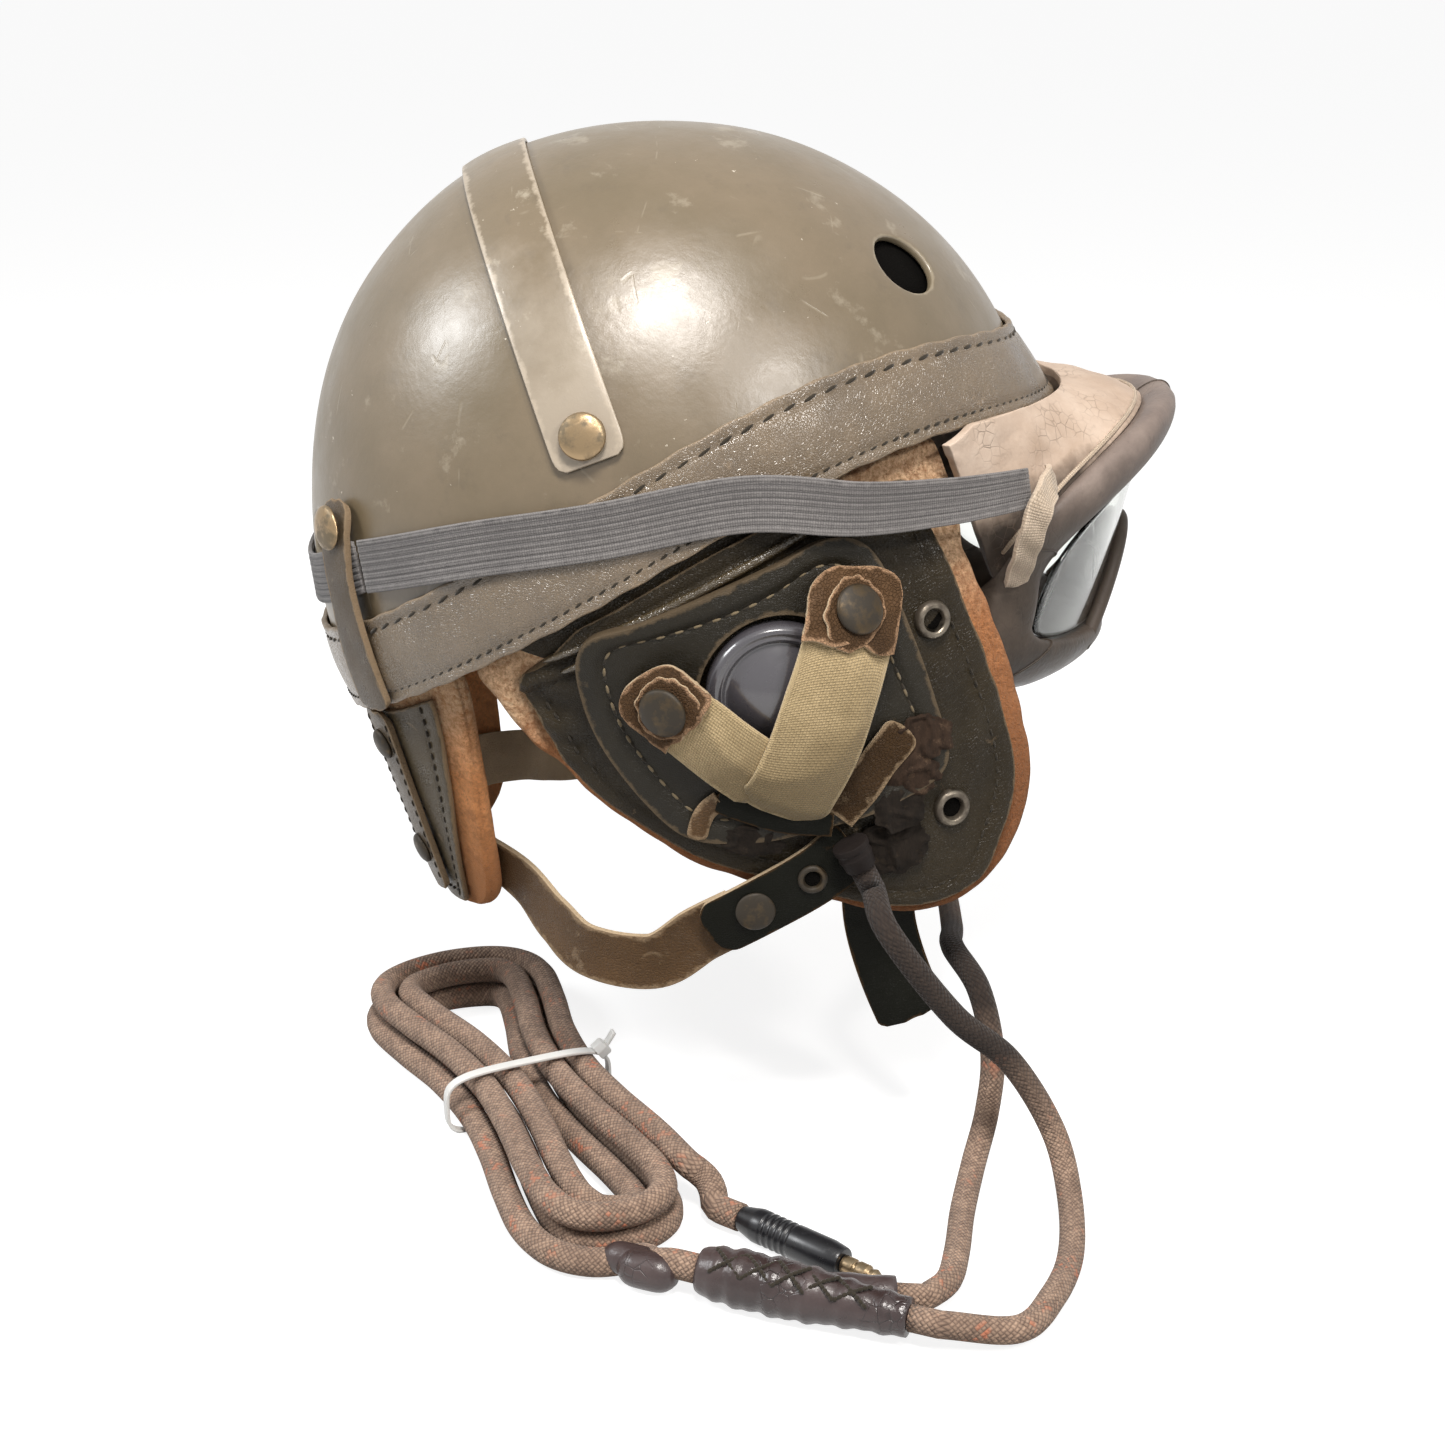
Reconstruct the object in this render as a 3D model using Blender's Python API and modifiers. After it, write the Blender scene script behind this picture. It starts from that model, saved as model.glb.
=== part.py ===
"""Crew helmet with earphones, goggles and a tied cord, as separate named pieces.

Metres, +Z up, +X forward, +Y to the wearer's left. The origin is the middle of the head opening.
The helmet is drawn level in its own frame, then tipped back by HEAD_TILT, as a stand holds it.
The cord is drawn in the world frame and lies on the level surface under it.
"""
import math

import bmesh
import bpy
import numpy as np
from mathutils import Matrix, Vector

MM = 0.001
OBJECT_NAME = "crew_helmet"

# Fits
GAP = 0.4 * MM
LAY = 0.8 * MM
HEAD_TILT = math.radians(19.0)

# Shell
CROWN_HEIGHT = 114.0 * MM
CROWN_X = -16.0 * MM
FRONT_REACH = 137.0 * MM
REAR_REACH = 122.5 * MM
HALF_WIDTH = 112.0 * MM
CROWN_RISE = CROWN_HEIGHT + 24.6 * MM
CROWN_SKEW = 10.3 * MM
BROW_FLARE = 8.0 * MM
FLARE_START = 8.0 * MM
FLARE_DEPTH = 34.0 * MM
SHELL_WALL = 3.0 * MM
RIM_WAVE = (-18.8 * MM, 12.4 * MM, -12.5 * MM, -3.5 * MM, -1.5 * MM)
AROUND = 40
VENT_RADIUS = 11.5 * MM
VENTS = ((31.0, 43.0 * MM), (163.0, 17.0 * MM))

# Leather on the shell
BAND_WIDTH = 29.0 * MM
LEATHER = 2.2 * MM
CROWN_STRAP_X = -26.0 * MM
CROWN_STRAP_WIDTH = 23.0 * MM
CROWN_STRAP_ANGLE = math.radians(75.0)
PAD_RADIUS = 55.0 * MM
PAD_DEPTH = 7.0 * MM
CAP_RADIUS = 7.4 * MM
CAP_RISE = 3.2 * MM
KEEPER_ANGLE = 148.0
KEEPER_WIDTH = 18.0 * MM
KEEPER_TOP = 33.0 * MM
KEEPER_SNAP = 25.0 * MM
KEEPER_FOOT = -35.0 * MM

# Neck flap
NECK_INSET = 2.6 * MM
NECK_TOP_ANGLE = math.radians(45.0)
NECK_FOOT_ANGLE = math.radians(27.0)
NECK_FOOT = -120.0 * MM
NECK_DROP = 5.0 * MM
NECK_PIVOT = (-131.0 * MM, -42.0 * MM)
NECK_PAD = 7.0 * MM
NECK_LIP = math.radians(4.5)
SPRING_WIDTH = 17.0 * MM
SPRING_OUT = math.radians(24.0)

# Ear flaps
FLAP_OUT = HALF_WIDTH - 2.0 * MM
FLAP_REAR_RADIUS = 187.0 * MM
FLAP_FRONT_RADIUS = 145.0 * MM
FLAP_TOP = -8.0 * MM
FLAP_BEND = 45.0 * MM
FLAP_LEATHER = 2.5 * MM
FLAP_PAD = 6.5 * MM
FLAP_LIP = 4.5 * MM
FLAP_TUCK = 9.0 * MM
FLAP_PIVOT_Y = HALF_WIDTH - 5.5 * MM
FLAP_PIVOT_Z = -11.5 * MM
FLAP_SLOPE = 0.123
FLAP_EDGE = (
    (71, -30), (75, -66), (75.5, -98), (71, -124), (56, -143), (34, -149), (12, -142), (-11, -126),
    (-38, -106), (-61, -75), (-75, -47), (-83, -30), (-66, -25), (-36, -18), (-5, -12), (28, -9),
    (56, -8.5), (68, -12),
)
EYELETS = ((57, -57), (44, -119))
EYELET_RADIUS = 6.3 * MM
EYELET_BORE = 3.4 * MM
EYELET_RISE = 3.6 * MM

# Receivers
RECEIVER = (4 * MM, -58 * MM)
RECEIVER_RADIUS = 24.0 * MM
RECEIVER_RISE = 13.0 * MM
STRAP_FALL = 20.0 * MM
PANEL_RISE = 5.0 * MM
PANEL_EDGE = (
    (47, -46), (48, -78), (45, -102), (24, -107), (2, -106), (-20, -103), (-40, -93), (-52, -62), (-53, -38),
    (-47, -23), (-28, -22), (-8, -21), (14, -20), (32, -19), (43, -27),
)
WEBBING = 2.0 * MM
VEE_FOLD = -110.0 * MM
ARM_FRONT = ((39, -27), (33, -41), (22, -66), (8, -90), (2, -103))
ARM_REAR = ((-38, -40), (-30, -49), (-17, -67), (-5, -88), (2, -103))
ARM_FRONT_WIDTH = 26.0 * MM
ARM_REAR_WIDTH = 22.0 * MM
CUSHION_RING = 28.5 * MM
CUSHION_HALF = (8.5 * MM, 6.5 * MM)

# Straps below the ears
TAB = ((10, -117), (-6, -122), (-27, -127), (-44, -131))
TAB_STAND = FLAP_LEATHER / 2 + GAP + LEATHER / 2
TAB_EYELET = (2.4 * MM, 4.9 * MM, 2.5 * MM)
STRAP_WIDTH = 20.0 * MM
NECK_STRAP = (
    (-118.3, 36, -99), (-111.5, 47, -103.5), (-101, 62, -112), (-94, 78, -122), (-85, 92, -131),
    (-65, 102, -137.5),
)
CHIN_TOP = (13 * MM, -141 * MM)
CHIN_WIDTH = 24.0 * MM

# Goggles
GOGGLE_HALF = (66.0 * MM, 28.0 * MM, 22.0 * MM)
GOGGLE_MID = (135.0 * MM, -83.5 * MM)
GOGGLE_SWEEP = 10.0
GOGGLE_LEAN = 0.63
GOGGLE_SQUARE = (0.55, 1.1)
FRAME_SECTION = (7.0 * MM, 12.0 * MM, -6.0 * MM)
FRAME_ROLL = (9.5 * MM, 10.0 * MM, 1.0 * MM)
HOOD_WALL = 5.0 * MM
HOOD_FRONT = (
    (150, 0, -36.5), (145, 26, -36), (134, 46, -35.6), (119, 60, -40), (108, 71.5, -45.5), (99.5, 80, -54),
)
HOOD_REAR = (
    (136.5, 0, -31), (130.5, 27, -28), (119, 49, -24.5), (105.5, 68, -19.5), (90, 82, -16), (83, 86.5, -26),
)
LENS_WALL = 1.6 * MM
ELASTIC_WIDTH = 17.0 * MM
ELASTIC = 1.6 * MM
LOOP_WALL = 1.8 * MM
GOGGLE_PIVOT = (-108.0 * MM, 12.5 * MM)
STRAP_DRAWN_FOR = 112.0 * MM
STRAP_OVER = ((78, 5, 1), (97, 11.5, 1), (116, 14.5, 1), (132, 13.5, 0.7), (141.6, 12.7, 0.55))
STRAP_START = ((101.0, 86.2, -34, 0.0), (86, 94.5, -28, 0.4), (72, 102, -22, 0.7), (46, 112, -9, 1.0))

# Cord
TABLE = -222.0 * MM
CORD_RADIUS = 4.1 * MM
HANK_RADIUS = 4.6 * MM
GLAND_RADIUS = 6.0 * MM
GLAND_LENGTH = 9.0 * MM
HANK_MIDDLE = (-60.0 * MM, -77.0 * MM)
HANK_HEADING = (0.334, -0.943)
HANK_HALF = 104.0 * MM
HANK_WAIST = 23.7 * MM
HANK_BULGE = (54.0 * MM, 36.0 * MM)
HANK_STEP = 2 * HANK_RADIUS + 1.3 * MM
HANK_LOOPS = 4
HANK_SHORT = 3
LOOP_POINTS = 24
SLEEVE_RADIUS = 8.8 * MM
LEG_RADIUS = 6.0 * MM
PLUG_RADIUS = 5.6 * MM
PLUG_LENGTH = 40.0 * MM
TIP_RADIUS = 2.9 * MM
TIP_LENGTH = 14.0 * MM
TIE_WALL = 2.4 * MM
TIE_WIDTH = 5.0 * MM
TIE_HEAD = 3.6 * MM

for old in list(bpy.data.objects):
    bpy.data.objects.remove(old, do_unlink=True)

HOME = bpy.data.collections.new(OBJECT_NAME)
CUTTERS = bpy.data.collections.new("cutters")
for group in (HOME, CUTTERS):
    bpy.context.scene.collection.children.link(group)

TIP_BACK = Matrix.Rotation(-HEAD_TILT, 4, "Y")
LEVEL = Matrix.Identity(4)
COLOURS = {
    "fibre": (0.17, 0.14, 0.085, 0.35, 0.0),
    "leather": (0.14, 0.115, 0.065, 0.45, 0.0),
    "dark_leather": (0.055, 0.052, 0.03, 0.5, 0.0),
    "suede": (0.42, 0.2, 0.07, 0.9, 0.0),
    "bakelite": (0.01, 0.01, 0.012, 0.2, 0.0),
    "webbing": (0.36, 0.3, 0.16, 0.9, 0.0),
    "brass": (0.3, 0.23, 0.12, 0.4, 0.9),
    "steel": (0.5, 0.5, 0.5, 0.35, 0.9),
    "rubber": (0.13, 0.1, 0.085, 0.6, 0.0),
    "hood_rubber": (0.3, 0.23, 0.18, 0.6, 0.0),
    "clear": (0.75, 0.75, 0.72, 0.08, 0.0),
    "elastic": (0.16, 0.16, 0.18, 0.8, 0.0),
    "tape": (0.4, 0.34, 0.24, 0.9, 0.0),
    "felt": (0.1, 0.08, 0.06, 0.95, 0.0),
    "braid": (0.14, 0.09, 0.08, 0.85, 0.0),
    "sleeve": (0.04, 0.028, 0.022, 0.55, 0.0),
    "nylon": (0.8, 0.8, 0.78, 0.4, 0.0),
}


def coat(name):
    """The material of that name, made on its first use."""
    found = bpy.data.materials.get(name)
    if found:
        return found
    red, green, blue, rough, metal = COLOURS[name]
    made = bpy.data.materials.new(name)
    made.use_nodes = True
    shader = made.node_tree.nodes["Principled BSDF"]
    shader.inputs["Base Color"].default_value = (red, green, blue, 1.0)
    shader.inputs["Roughness"].default_value = rough
    shader.inputs["Metallic"].default_value = metal
    return made


def pivot(name, point, above=None, slope=0.0):
    """An empty on a joint's axis, at a point of the helmet's own frame, its X turned up by a slope."""
    spot = bpy.data.objects.new(name, None)
    spot.empty_display_size = 0.02
    HOME.objects.link(spot)
    place = TIP_BACK @ Matrix.Translation(Vector(point)) @ Matrix.Rotation(-math.atan(slope), 4, "Y")
    if above:
        spot.parent = above[0]
        spot.matrix_parent_inverse = above[1].inverted()
    spot.matrix_basis = place
    return spot, place


def settle(piece, coating, carrier=None, frame=TIP_BACK, shape=LEVEL):
    """Link a piece, give it its material and its place, and hang it on the pivot that carries it."""
    HOME.objects.link(piece)
    piece.data.materials.append(coat(coating))
    if carrier:
        piece.parent = carrier[0]
        piece.matrix_parent_inverse = carrier[1].inverted()
    piece.matrix_basis = frame @ shape
    return piece


def grid(name, columns, rows, place, caps=False):
    """A mesh grid whose points are put where place(u, v) says, with its seams closed."""
    work = bmesh.new()
    bmesh.ops.create_grid(work, x_segments=columns, y_segments=rows, size=0.5)
    for vert in work.verts:
        vert.co = place(vert.co.x + 0.5, vert.co.y + 0.5)
    bmesh.ops.remove_doubles(work, verts=work.verts, dist=0.00001)
    if caps:
        bmesh.ops.holes_fill(work, edges=work.edges, sides=0)
    bmesh.ops.recalc_face_normals(work, faces=work.faces)
    mesh = bpy.data.meshes.new(name)
    work.to_mesh(mesh)
    work.free()
    return bpy.data.objects.new(name, mesh)


def sheet(name, columns, rows, place, wall, coating, carrier=None):
    """A leather, cloth or shell piece: a grid given its wall, half to each side."""
    piece = grid(name, columns, rows, place)
    solid = piece.modifiers.new("wall", "SOLIDIFY")
    solid.thickness = wall
    solid.offset = 0.0
    solid.use_even_offset = True
    return settle(piece, coating, carrier)


def turned(name, profile, place, coating, carrier=None, steps=16, frame=TIP_BACK):
    """A profile of (radius, height) pairs turned about its own Z and put in place."""
    mesh = bpy.data.meshes.new(name)
    count = len(profile)
    edges = [(i, i + 1) for i in range(count - 1)]
    if profile[0][0] > 0:
        edges.append((count - 1, 0))
    mesh.from_pydata([(r, 0.0, h) for r, h in profile], edges, [])
    piece = bpy.data.objects.new(name, mesh)
    screw = piece.modifiers.new("turn", "SCREW")
    screw.axis = "Z"
    screw.angle = 2 * math.pi
    screw.steps = steps
    screw.render_steps = steps
    screw.use_merge_vertices = True
    screw.merge_threshold = 0.00001
    screw.use_normal_flip = True
    return settle(piece, coating, carrier, frame, place)


def facing(point, normal):
    """The matrix that puts a piece's own Z along a normal at a point."""
    turn = Vector((0, 0, 1)).rotation_difference(Vector(normal).normalized())
    return Matrix.Translation(Vector(point)) @ turn.to_matrix().to_4x4()


def smooth(points, count):
    """Evenly spaced points on a smooth curve through the given ones."""
    base = np.array([tuple(p) for p in points], float)
    ends = np.vstack([2 * base[0] - base[1], base, 2 * base[-1] - base[-2]])
    dense = []
    for a, b, c, d in zip(ends[:-3], ends[1:-2], ends[2:-1], ends[3:]):
        for t in np.linspace(0.0, 1.0, 24, endpoint=False):
            slope = (c - a) * t + (2 * a - 5 * b + 4 * c - d) * t**2 + (3 * b - a - 3 * c + d) * t**3
            dense.append(b + 0.5 * slope)
    dense.append(base[-1])
    dense = np.array(dense)
    run = np.concatenate([[0.0], np.cumsum(np.linalg.norm(np.diff(dense, axis=0), axis=1))])
    even = np.linspace(0.0, run[-1], count)
    return np.stack([np.interp(even, run, dense[:, k]) for k in range(dense.shape[1])], -1)


def ribbon(name, points, outward, width, wall, coating, count, carrier=None, rows=1):
    """A flat strap along points, its face turned to outward(point)."""
    path = smooth(points, count + 1)

    def place(u, v):
        at = min(int(round(u * count)), count)
        here = Vector(path[at])
        along = Vector(path[min(at + 1, count)]) - Vector(path[max(at - 1, 0)])
        side = along.cross(Vector(outward(here))).normalized()
        return here + side * (v - 0.5) * width

    return sheet(name, count, rows, place, wall, coating, carrier)


def tube(name, points, radius, coating, carrier=None, fineness=2):
    """A cord along points of the world frame, with filled ends."""
    curve = bpy.data.curves.new(name, "CURVE")
    curve.dimensions = "3D"
    curve.bevel_depth = radius
    curve.bevel_resolution = fineness
    curve.use_fill_caps = True
    line = curve.splines.new("POLY")
    line.points.add(len(points) - 1)
    for knot, point in zip(line.points, points):
        knot.co = (*point, 1.0)
    piece = bpy.data.objects.new(name, curve)
    return settle(piece, coating, carrier, LEVEL)


def joined(piece, other, how):
    """Apply a Boolean with a helper object, which goes to the cutters' collection."""
    for home in list(other.users_collection):
        home.objects.unlink(other)
    CUTTERS.objects.link(other)
    other.hide_render = True
    other.display_type = "WIRE"
    cut = piece.modifiers.new(other.name, "BOOLEAN")
    cut.operation = how
    cut.solver = "EXACT"
    cut.object = other


def rim(angle):
    """Height of the shell's lower edge at a plan angle."""
    return sum(part * math.cos(order * angle) for order, part in enumerate(RIM_WAVE))


def dome_point(angle, height):
    cosine = math.cos(angle)
    crown = CROWN_RISE - CROWN_SKEW * cosine
    level = (height - CROWN_HEIGHT + crown) / crown
    ring = math.sqrt(max(0.0, 1.0 - level**2))
    reach = FRONT_REACH if cosine > 0 else REAR_REACH
    drop = max(0.0, (FLARE_START - height) / FLARE_DEPTH)
    flare = BROW_FLARE * max(0.0, cosine) ** 2 * drop**2
    x = CROWN_X + (reach * ring + flare) * cosine
    return Vector((x, HALF_WIDTH * ring * math.sin(angle), height))


def dome_normal(angle, height):
    along = dome_point(angle + 0.001, height) - dome_point(angle - 0.001, height)
    up = dome_point(angle, height + 0.0001) - dome_point(angle, height - 0.0001)
    return along.cross(up).normalized()


def dome(angle, height, lift=0.0):
    """Point on the shell's outer face at a plan angle and a height, moved out by lift."""
    return dome_point(angle, height) + dome_normal(angle, height) * lift


def shell_place(inset):
    def place(u, v):
        angle = 2 * math.pi * u
        crown = CROWN_RISE - CROWN_SKEW * math.cos(angle)
        low = math.asin((rim(angle) - CROWN_HEIGHT + crown) / crown)
        steep = low + (math.pi / 2 - low) * v
        height = CROWN_HEIGHT - crown + crown * math.sin(steep)
        if v > 0.999:
            return Vector((CROWN_X, 0.0, CROWN_HEIGHT - inset))
        return dome(angle, height, -inset)
    return place


def crown_place(x, roll, lift):
    """Point over the crown at a station x, at a roll angle from straight up."""
    low, high = 0.02, 0.2
    for _ in range(40):
        middle = (low + high) / 2
        y, z = middle * math.sin(roll), middle * math.cos(roll)
        reach = FRONT_REACH if x > CROWN_X else REAR_REACH
        angle = math.atan2(y / HALF_WIDTH, (x - CROWN_X) / reach)
        crown = CROWN_RISE - CROWN_SKEW * math.cos(angle)
        level = (z - CROWN_HEIGHT + crown) / crown
        spread = ((x - CROWN_X) / reach) ** 2 + (y / HALF_WIDTH) ** 2
        if spread + level**2 < 1.0:
            low = middle
        else:
            high = middle
    return Vector((x, (low + lift) * math.sin(roll), (low + lift) * math.cos(roll)))


def flap_y(x, z):
    """Distance of the ear flap's leather from the middle plane: tucked in at the top, flatter below."""
    reach = FRONT_REACH if x > CROWN_X else REAR_REACH
    level = (max(z, FLAP_TOP) - CROWN_HEIGHT + CROWN_RISE) / CROWN_RISE
    ring = math.sqrt(max(0.01, 1 - level**2 - ((x - CROWN_X) / reach) ** 2))
    tucked = HALF_WIDTH * ring - SHELL_WALL + 0.7 * MM
    bow = FLAP_FRONT_RADIUS if x > RECEIVER[0] else FLAP_REAR_RADIUS
    hung = FLAP_OUT - (x - RECEIVER[0]) ** 2 / (2 * bow)
    fall = min(1.0, max(0.0, (FLAP_TOP - z) / FLAP_BEND))
    return tucked + (hung - tucked) * fall * fall * (3 - 2 * fall)


def flap_point(x, z, side, out):
    """Point at a distance out from the middle of the ear flap's leather, along its normal."""
    tilt_x = (flap_y(x + MM, z) - flap_y(x - MM, z)) / (2 * MM)
    tilt_z = (flap_y(x, z + MM) - flap_y(x, z - MM)) / (2 * MM)
    away = Vector((-tilt_x, 1.0, -tilt_z)).normalized() * out
    return Vector((x + away.x, side * (flap_y(x, z) + away.y), z + away.z))


def outline(points, count):
    """A closed smooth outline in x and z, as a function of a turn from 0 to 1."""
    loop = [points[-2], points[-1], *points, points[0], points[1], points[2]]
    whole = np.array(loop, float) * MM
    path = smooth(whole, 24 * (len(loop) - 1) + 1)
    start = np.argmin(np.linalg.norm(path[: len(path) // 3] - whole[2], axis=1))
    back = len(path) // 2
    stop = back + np.argmin(np.linalg.norm(path[back:] - whole[-3], axis=1))
    ring = path[start: stop + 1]
    run = np.concatenate([[0.0], np.cumsum(np.linalg.norm(np.diff(ring, axis=0), axis=1))])

    def at(turn):
        step = (round(turn * count) % count) / count * run[-1]
        return np.array([np.interp(step, run, ring[:, 0]), np.interp(step, run, ring[:, 1])])
    return at


def flap_place(edge, middle, side, out, lip=0.0, tuck=0.0, hole=0.0):
    """Points over an outline on the ear flap's surface, moved out from the leather's own middle.

    With a lip the last row reaches past the outline, by the tuck along the top.
    """
    centre = np.array(middle)

    def place(u, v):
        reach = edge(u) - centre
        far = np.linalg.norm(reach)
        ray = reach / far
        size = hole + (far - hole) * v
        if lip:
            size = far * min(1.0, v * 1.25)
            if v > 0.99:
                size = far + (tuck if ray[1] > 0.45 else lip)
        x, z = centre + ray * size
        return flap_point(x, z, side, out)
    return place


def swing_axis(side):
    """Middle of the ear flap's fold line."""
    return (0.0, side * FLAP_PIVOT_Y, FLAP_PIVOT_Z)


def bump(x, z):
    """How far the V strap stands off the panel, to pass over the receiver."""
    far = math.hypot(x - RECEIVER[0], z - RECEIVER[1])
    fall = min(1.0, max(0.0, (far - RECEIVER_RADIUS) / STRAP_FALL))
    return (RECEIVER_RISE - PANEL_RISE) * (1.0 - fall)


def cap(name, place, carrier=None, size=CAP_RADIUS):
    """A domed snap or rivet cap."""
    profile = [(0.0, 0.0), (size * 0.8, 0.0), (size, CAP_RISE * 0.35), (size * 0.9, CAP_RISE * 0.75),
               (size * 0.5, CAP_RISE), (0.0, CAP_RISE * 1.02)]
    return turned(name, profile, place, "brass", carrier, 14)


def neck_point(turn, out, height):
    """Point on the neck flap's curve at a turn from straight back, moved out from its leather."""
    x = CROWN_X - (REAR_REACH - NECK_INSET + out) * math.cos(turn)
    return Vector((x, (HALF_WIDTH - NECK_INSET + out) * math.sin(turn), height))


def neck_place(out, lip, top, foot):
    """Points over the neck flap."""
    def place(u, v):
        spread = NECK_TOP_ANGLE + (NECK_FOOT_ANGLE - NECK_TOP_ANGLE) * v**1.3 + lip
        turn = (2 * u - 1) * spread
        high = rim(math.pi - turn) - NECK_DROP + top
        low = NECK_FOOT - foot + 6 * MM * (turn / NECK_TOP_ANGLE) ** 2
        return neck_point(turn, out, high + (low - high) * v)
    return place


def goggle_x(y, z):
    return GOGGLE_MID[0] - GOGGLE_SWEEP * y**2 + GOGGLE_LEAN * (z - GOGGLE_MID[1])


def goggle_ring(turn, wide=0.0, tall=0.0):
    """The rounded outline of the lens opening, in y and z, grown sideways and upwards."""
    c, s = math.cos(turn), math.sin(turn)
    square = GOGGLE_SQUARE[s < 0]
    y = math.copysign(abs(c) ** square, c) * (GOGGLE_HALF[0] + wide)
    z = math.copysign(abs(s) ** square, s) * (GOGGLE_HALF[1 + (s < 0)] + tall)
    return y, GOGGLE_MID[1] + z


def frame_place(u, v):
    """The frame's rounded section carried round the lens opening, with a thick roll on top."""
    around = 2 * math.pi * v
    turn = 2 * math.pi * u
    share = max(0.0, math.sin(turn)) ** 1.5
    wall, depth, ahead = (a + (b - a) * share for a, b in zip(FRAME_SECTION, FRAME_ROLL))
    grow = wall * (1 + math.cos(around))
    y, z = goggle_ring(turn, grow, grow)
    return Vector((goggle_x(y, z) + ahead + depth * math.sin(around), y, z))


def hood_point(across, back):
    """Point on the middle of the hood's wall: across runs from -1 to 1, back from the roll to the brow."""
    at = abs(across) * (len(HOOD_FRONT) - 1)
    low = min(int(at), len(HOOD_FRONT) - 2)
    front = Vector(HOOD_FRONT[low]).lerp(Vector(HOOD_FRONT[low + 1]), at - low)
    rear = Vector(HOOD_REAR[low]).lerp(Vector(HOOD_REAR[low + 1]), at - low)
    spot = front.lerp(rear, back) * MM
    spot.z += 1.5 * MM * math.sin(math.pi * back)
    spot.y = math.copysign(spot.y, across)
    return spot


def world(point):
    return TIP_BACK @ Vector(point)


# Shell with its vents
shell = grid("shell", AROUND, 9, shell_place(SHELL_WALL / 2))
shell_wall = shell.modifiers.new("wall", "SOLIDIFY")
shell_wall.thickness = SHELL_WALL
shell_wall.offset = 0.0
settle(shell, "fibre")
for number, (bearing, height) in enumerate(VENTS):
    for side in (-1, 1):
        turn = side * math.radians(bearing)
        spot = facing(dome(turn, height, -10 * MM), dome_normal(turn, height))
        drill = turned(f"vent_{number}_{side}", [(0.0, 0.0), (VENT_RADIUS, 0.0), (VENT_RADIUS, 20 * MM),
                                                (0.0, 20 * MM)], spot, "fibre", None, 16)
        joined(shell, drill, "DIFFERENCE")


def band_place(u, v):
    angle = 2 * math.pi * u
    return dome(angle, rim(angle) - 1 * MM + BAND_WIDTH * v, LAY + LEATHER / 2)


def sweat_place(u, v):
    angle = 2 * math.pi * u
    inset = SHELL_WALL + GAP + LEATHER / 2 + 6 * MM * (1 - v)
    return dome(angle, rim(angle) + 15 * MM + 22 * MM * v, -inset - 0.6 * MM)


def roof(x, y):
    """Height of the shell's outer face over a point of the plan."""
    reach = FRONT_REACH if x > CROWN_X else REAR_REACH
    angle = math.atan2(y / HALF_WIDTH, (x - CROWN_X) / reach)
    crown = CROWN_RISE - CROWN_SKEW * math.cos(angle)
    spread = ((x - CROWN_X) / reach) ** 2 + (y / HALF_WIDTH) ** 2
    return CROWN_HEIGHT - crown + crown * math.sqrt(1.0 - spread)


def pad_place(u, v):
    spread = PAD_RADIUS * v
    angle = 2 * math.pi * u
    x = CROWN_X + spread * math.cos(angle)
    y = spread * math.sin(angle)
    return Vector((x, y, roof(x, y) - SHELL_WALL - PAD_DEPTH / 2 - 1.3 * MM - 0.9 * MM * v))


def over_crown(u, v):
    roll = CROWN_STRAP_ANGLE * (2 * u - 1)
    x = CROWN_STRAP_X + CROWN_STRAP_WIDTH * (v - 0.5)
    return crown_place(x, roll, LAY + LEATHER / 2)


sheet("rim_band", AROUND, 3, band_place, LEATHER, "leather")
sheet("sweatband", AROUND, 2, sweat_place, LEATHER, "dark_leather")
sheet("crown_pad", 24, 3, pad_place, PAD_DEPTH, "felt")
sheet("crown_strap", 26, 2, over_crown, LEATHER, "leather")

hinge_goggles = pivot("goggles_pivot", (GOGGLE_PIVOT[0], 0.0, GOGGLE_PIVOT[1]))
hinge_neck = pivot("neck_flap_pivot", (NECK_PIVOT[0], 0.0, NECK_PIVOT[1]))

# Neck flap, its lining and its springs
sheet("neck_flap", 14, 5, neck_place(0.0, 0.0, 0.0, 0.0), LEATHER, "dark_leather", hinge_neck)
lining_in = LEATHER / 2 + GAP + NECK_PAD / 2
sheet("neck_lining", 14, 5, neck_place(-lining_in, NECK_LIP, 12 * MM, 4 * MM), NECK_PAD, "suede", hinge_neck)


def neck_out(point):
    return Vector(((point.x - CROWN_X) / REAR_REACH**2, point.y / HALF_WIDTH**2, 0.0)).normalized()


def dome_out(point):
    """The shell's own normal, level with a point beside it."""
    reach = FRONT_REACH if point.x > CROWN_X else REAR_REACH
    return dome_normal(math.atan2(point.y / HALF_WIDTH, (point.x - CROWN_X) / reach), point.z)


def sideways(point):
    """Straight out from the middle plane."""
    return (0.0, point.y, 0.0)


def loop_out(point):
    """Out and a little forward, as the goggles' tape loop faces."""
    return (0.03, point.y, 0.0)


def strap_out(point):
    """Turns the neck strap's face from the lining's to straight out at the tab."""
    share = min(1.0, max(0.0, (point.x / MM + 112) / 45))
    return neck_out(point) * (1 - share) + Vector((0.0, math.copysign(share, point.y), 0.0))


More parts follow.
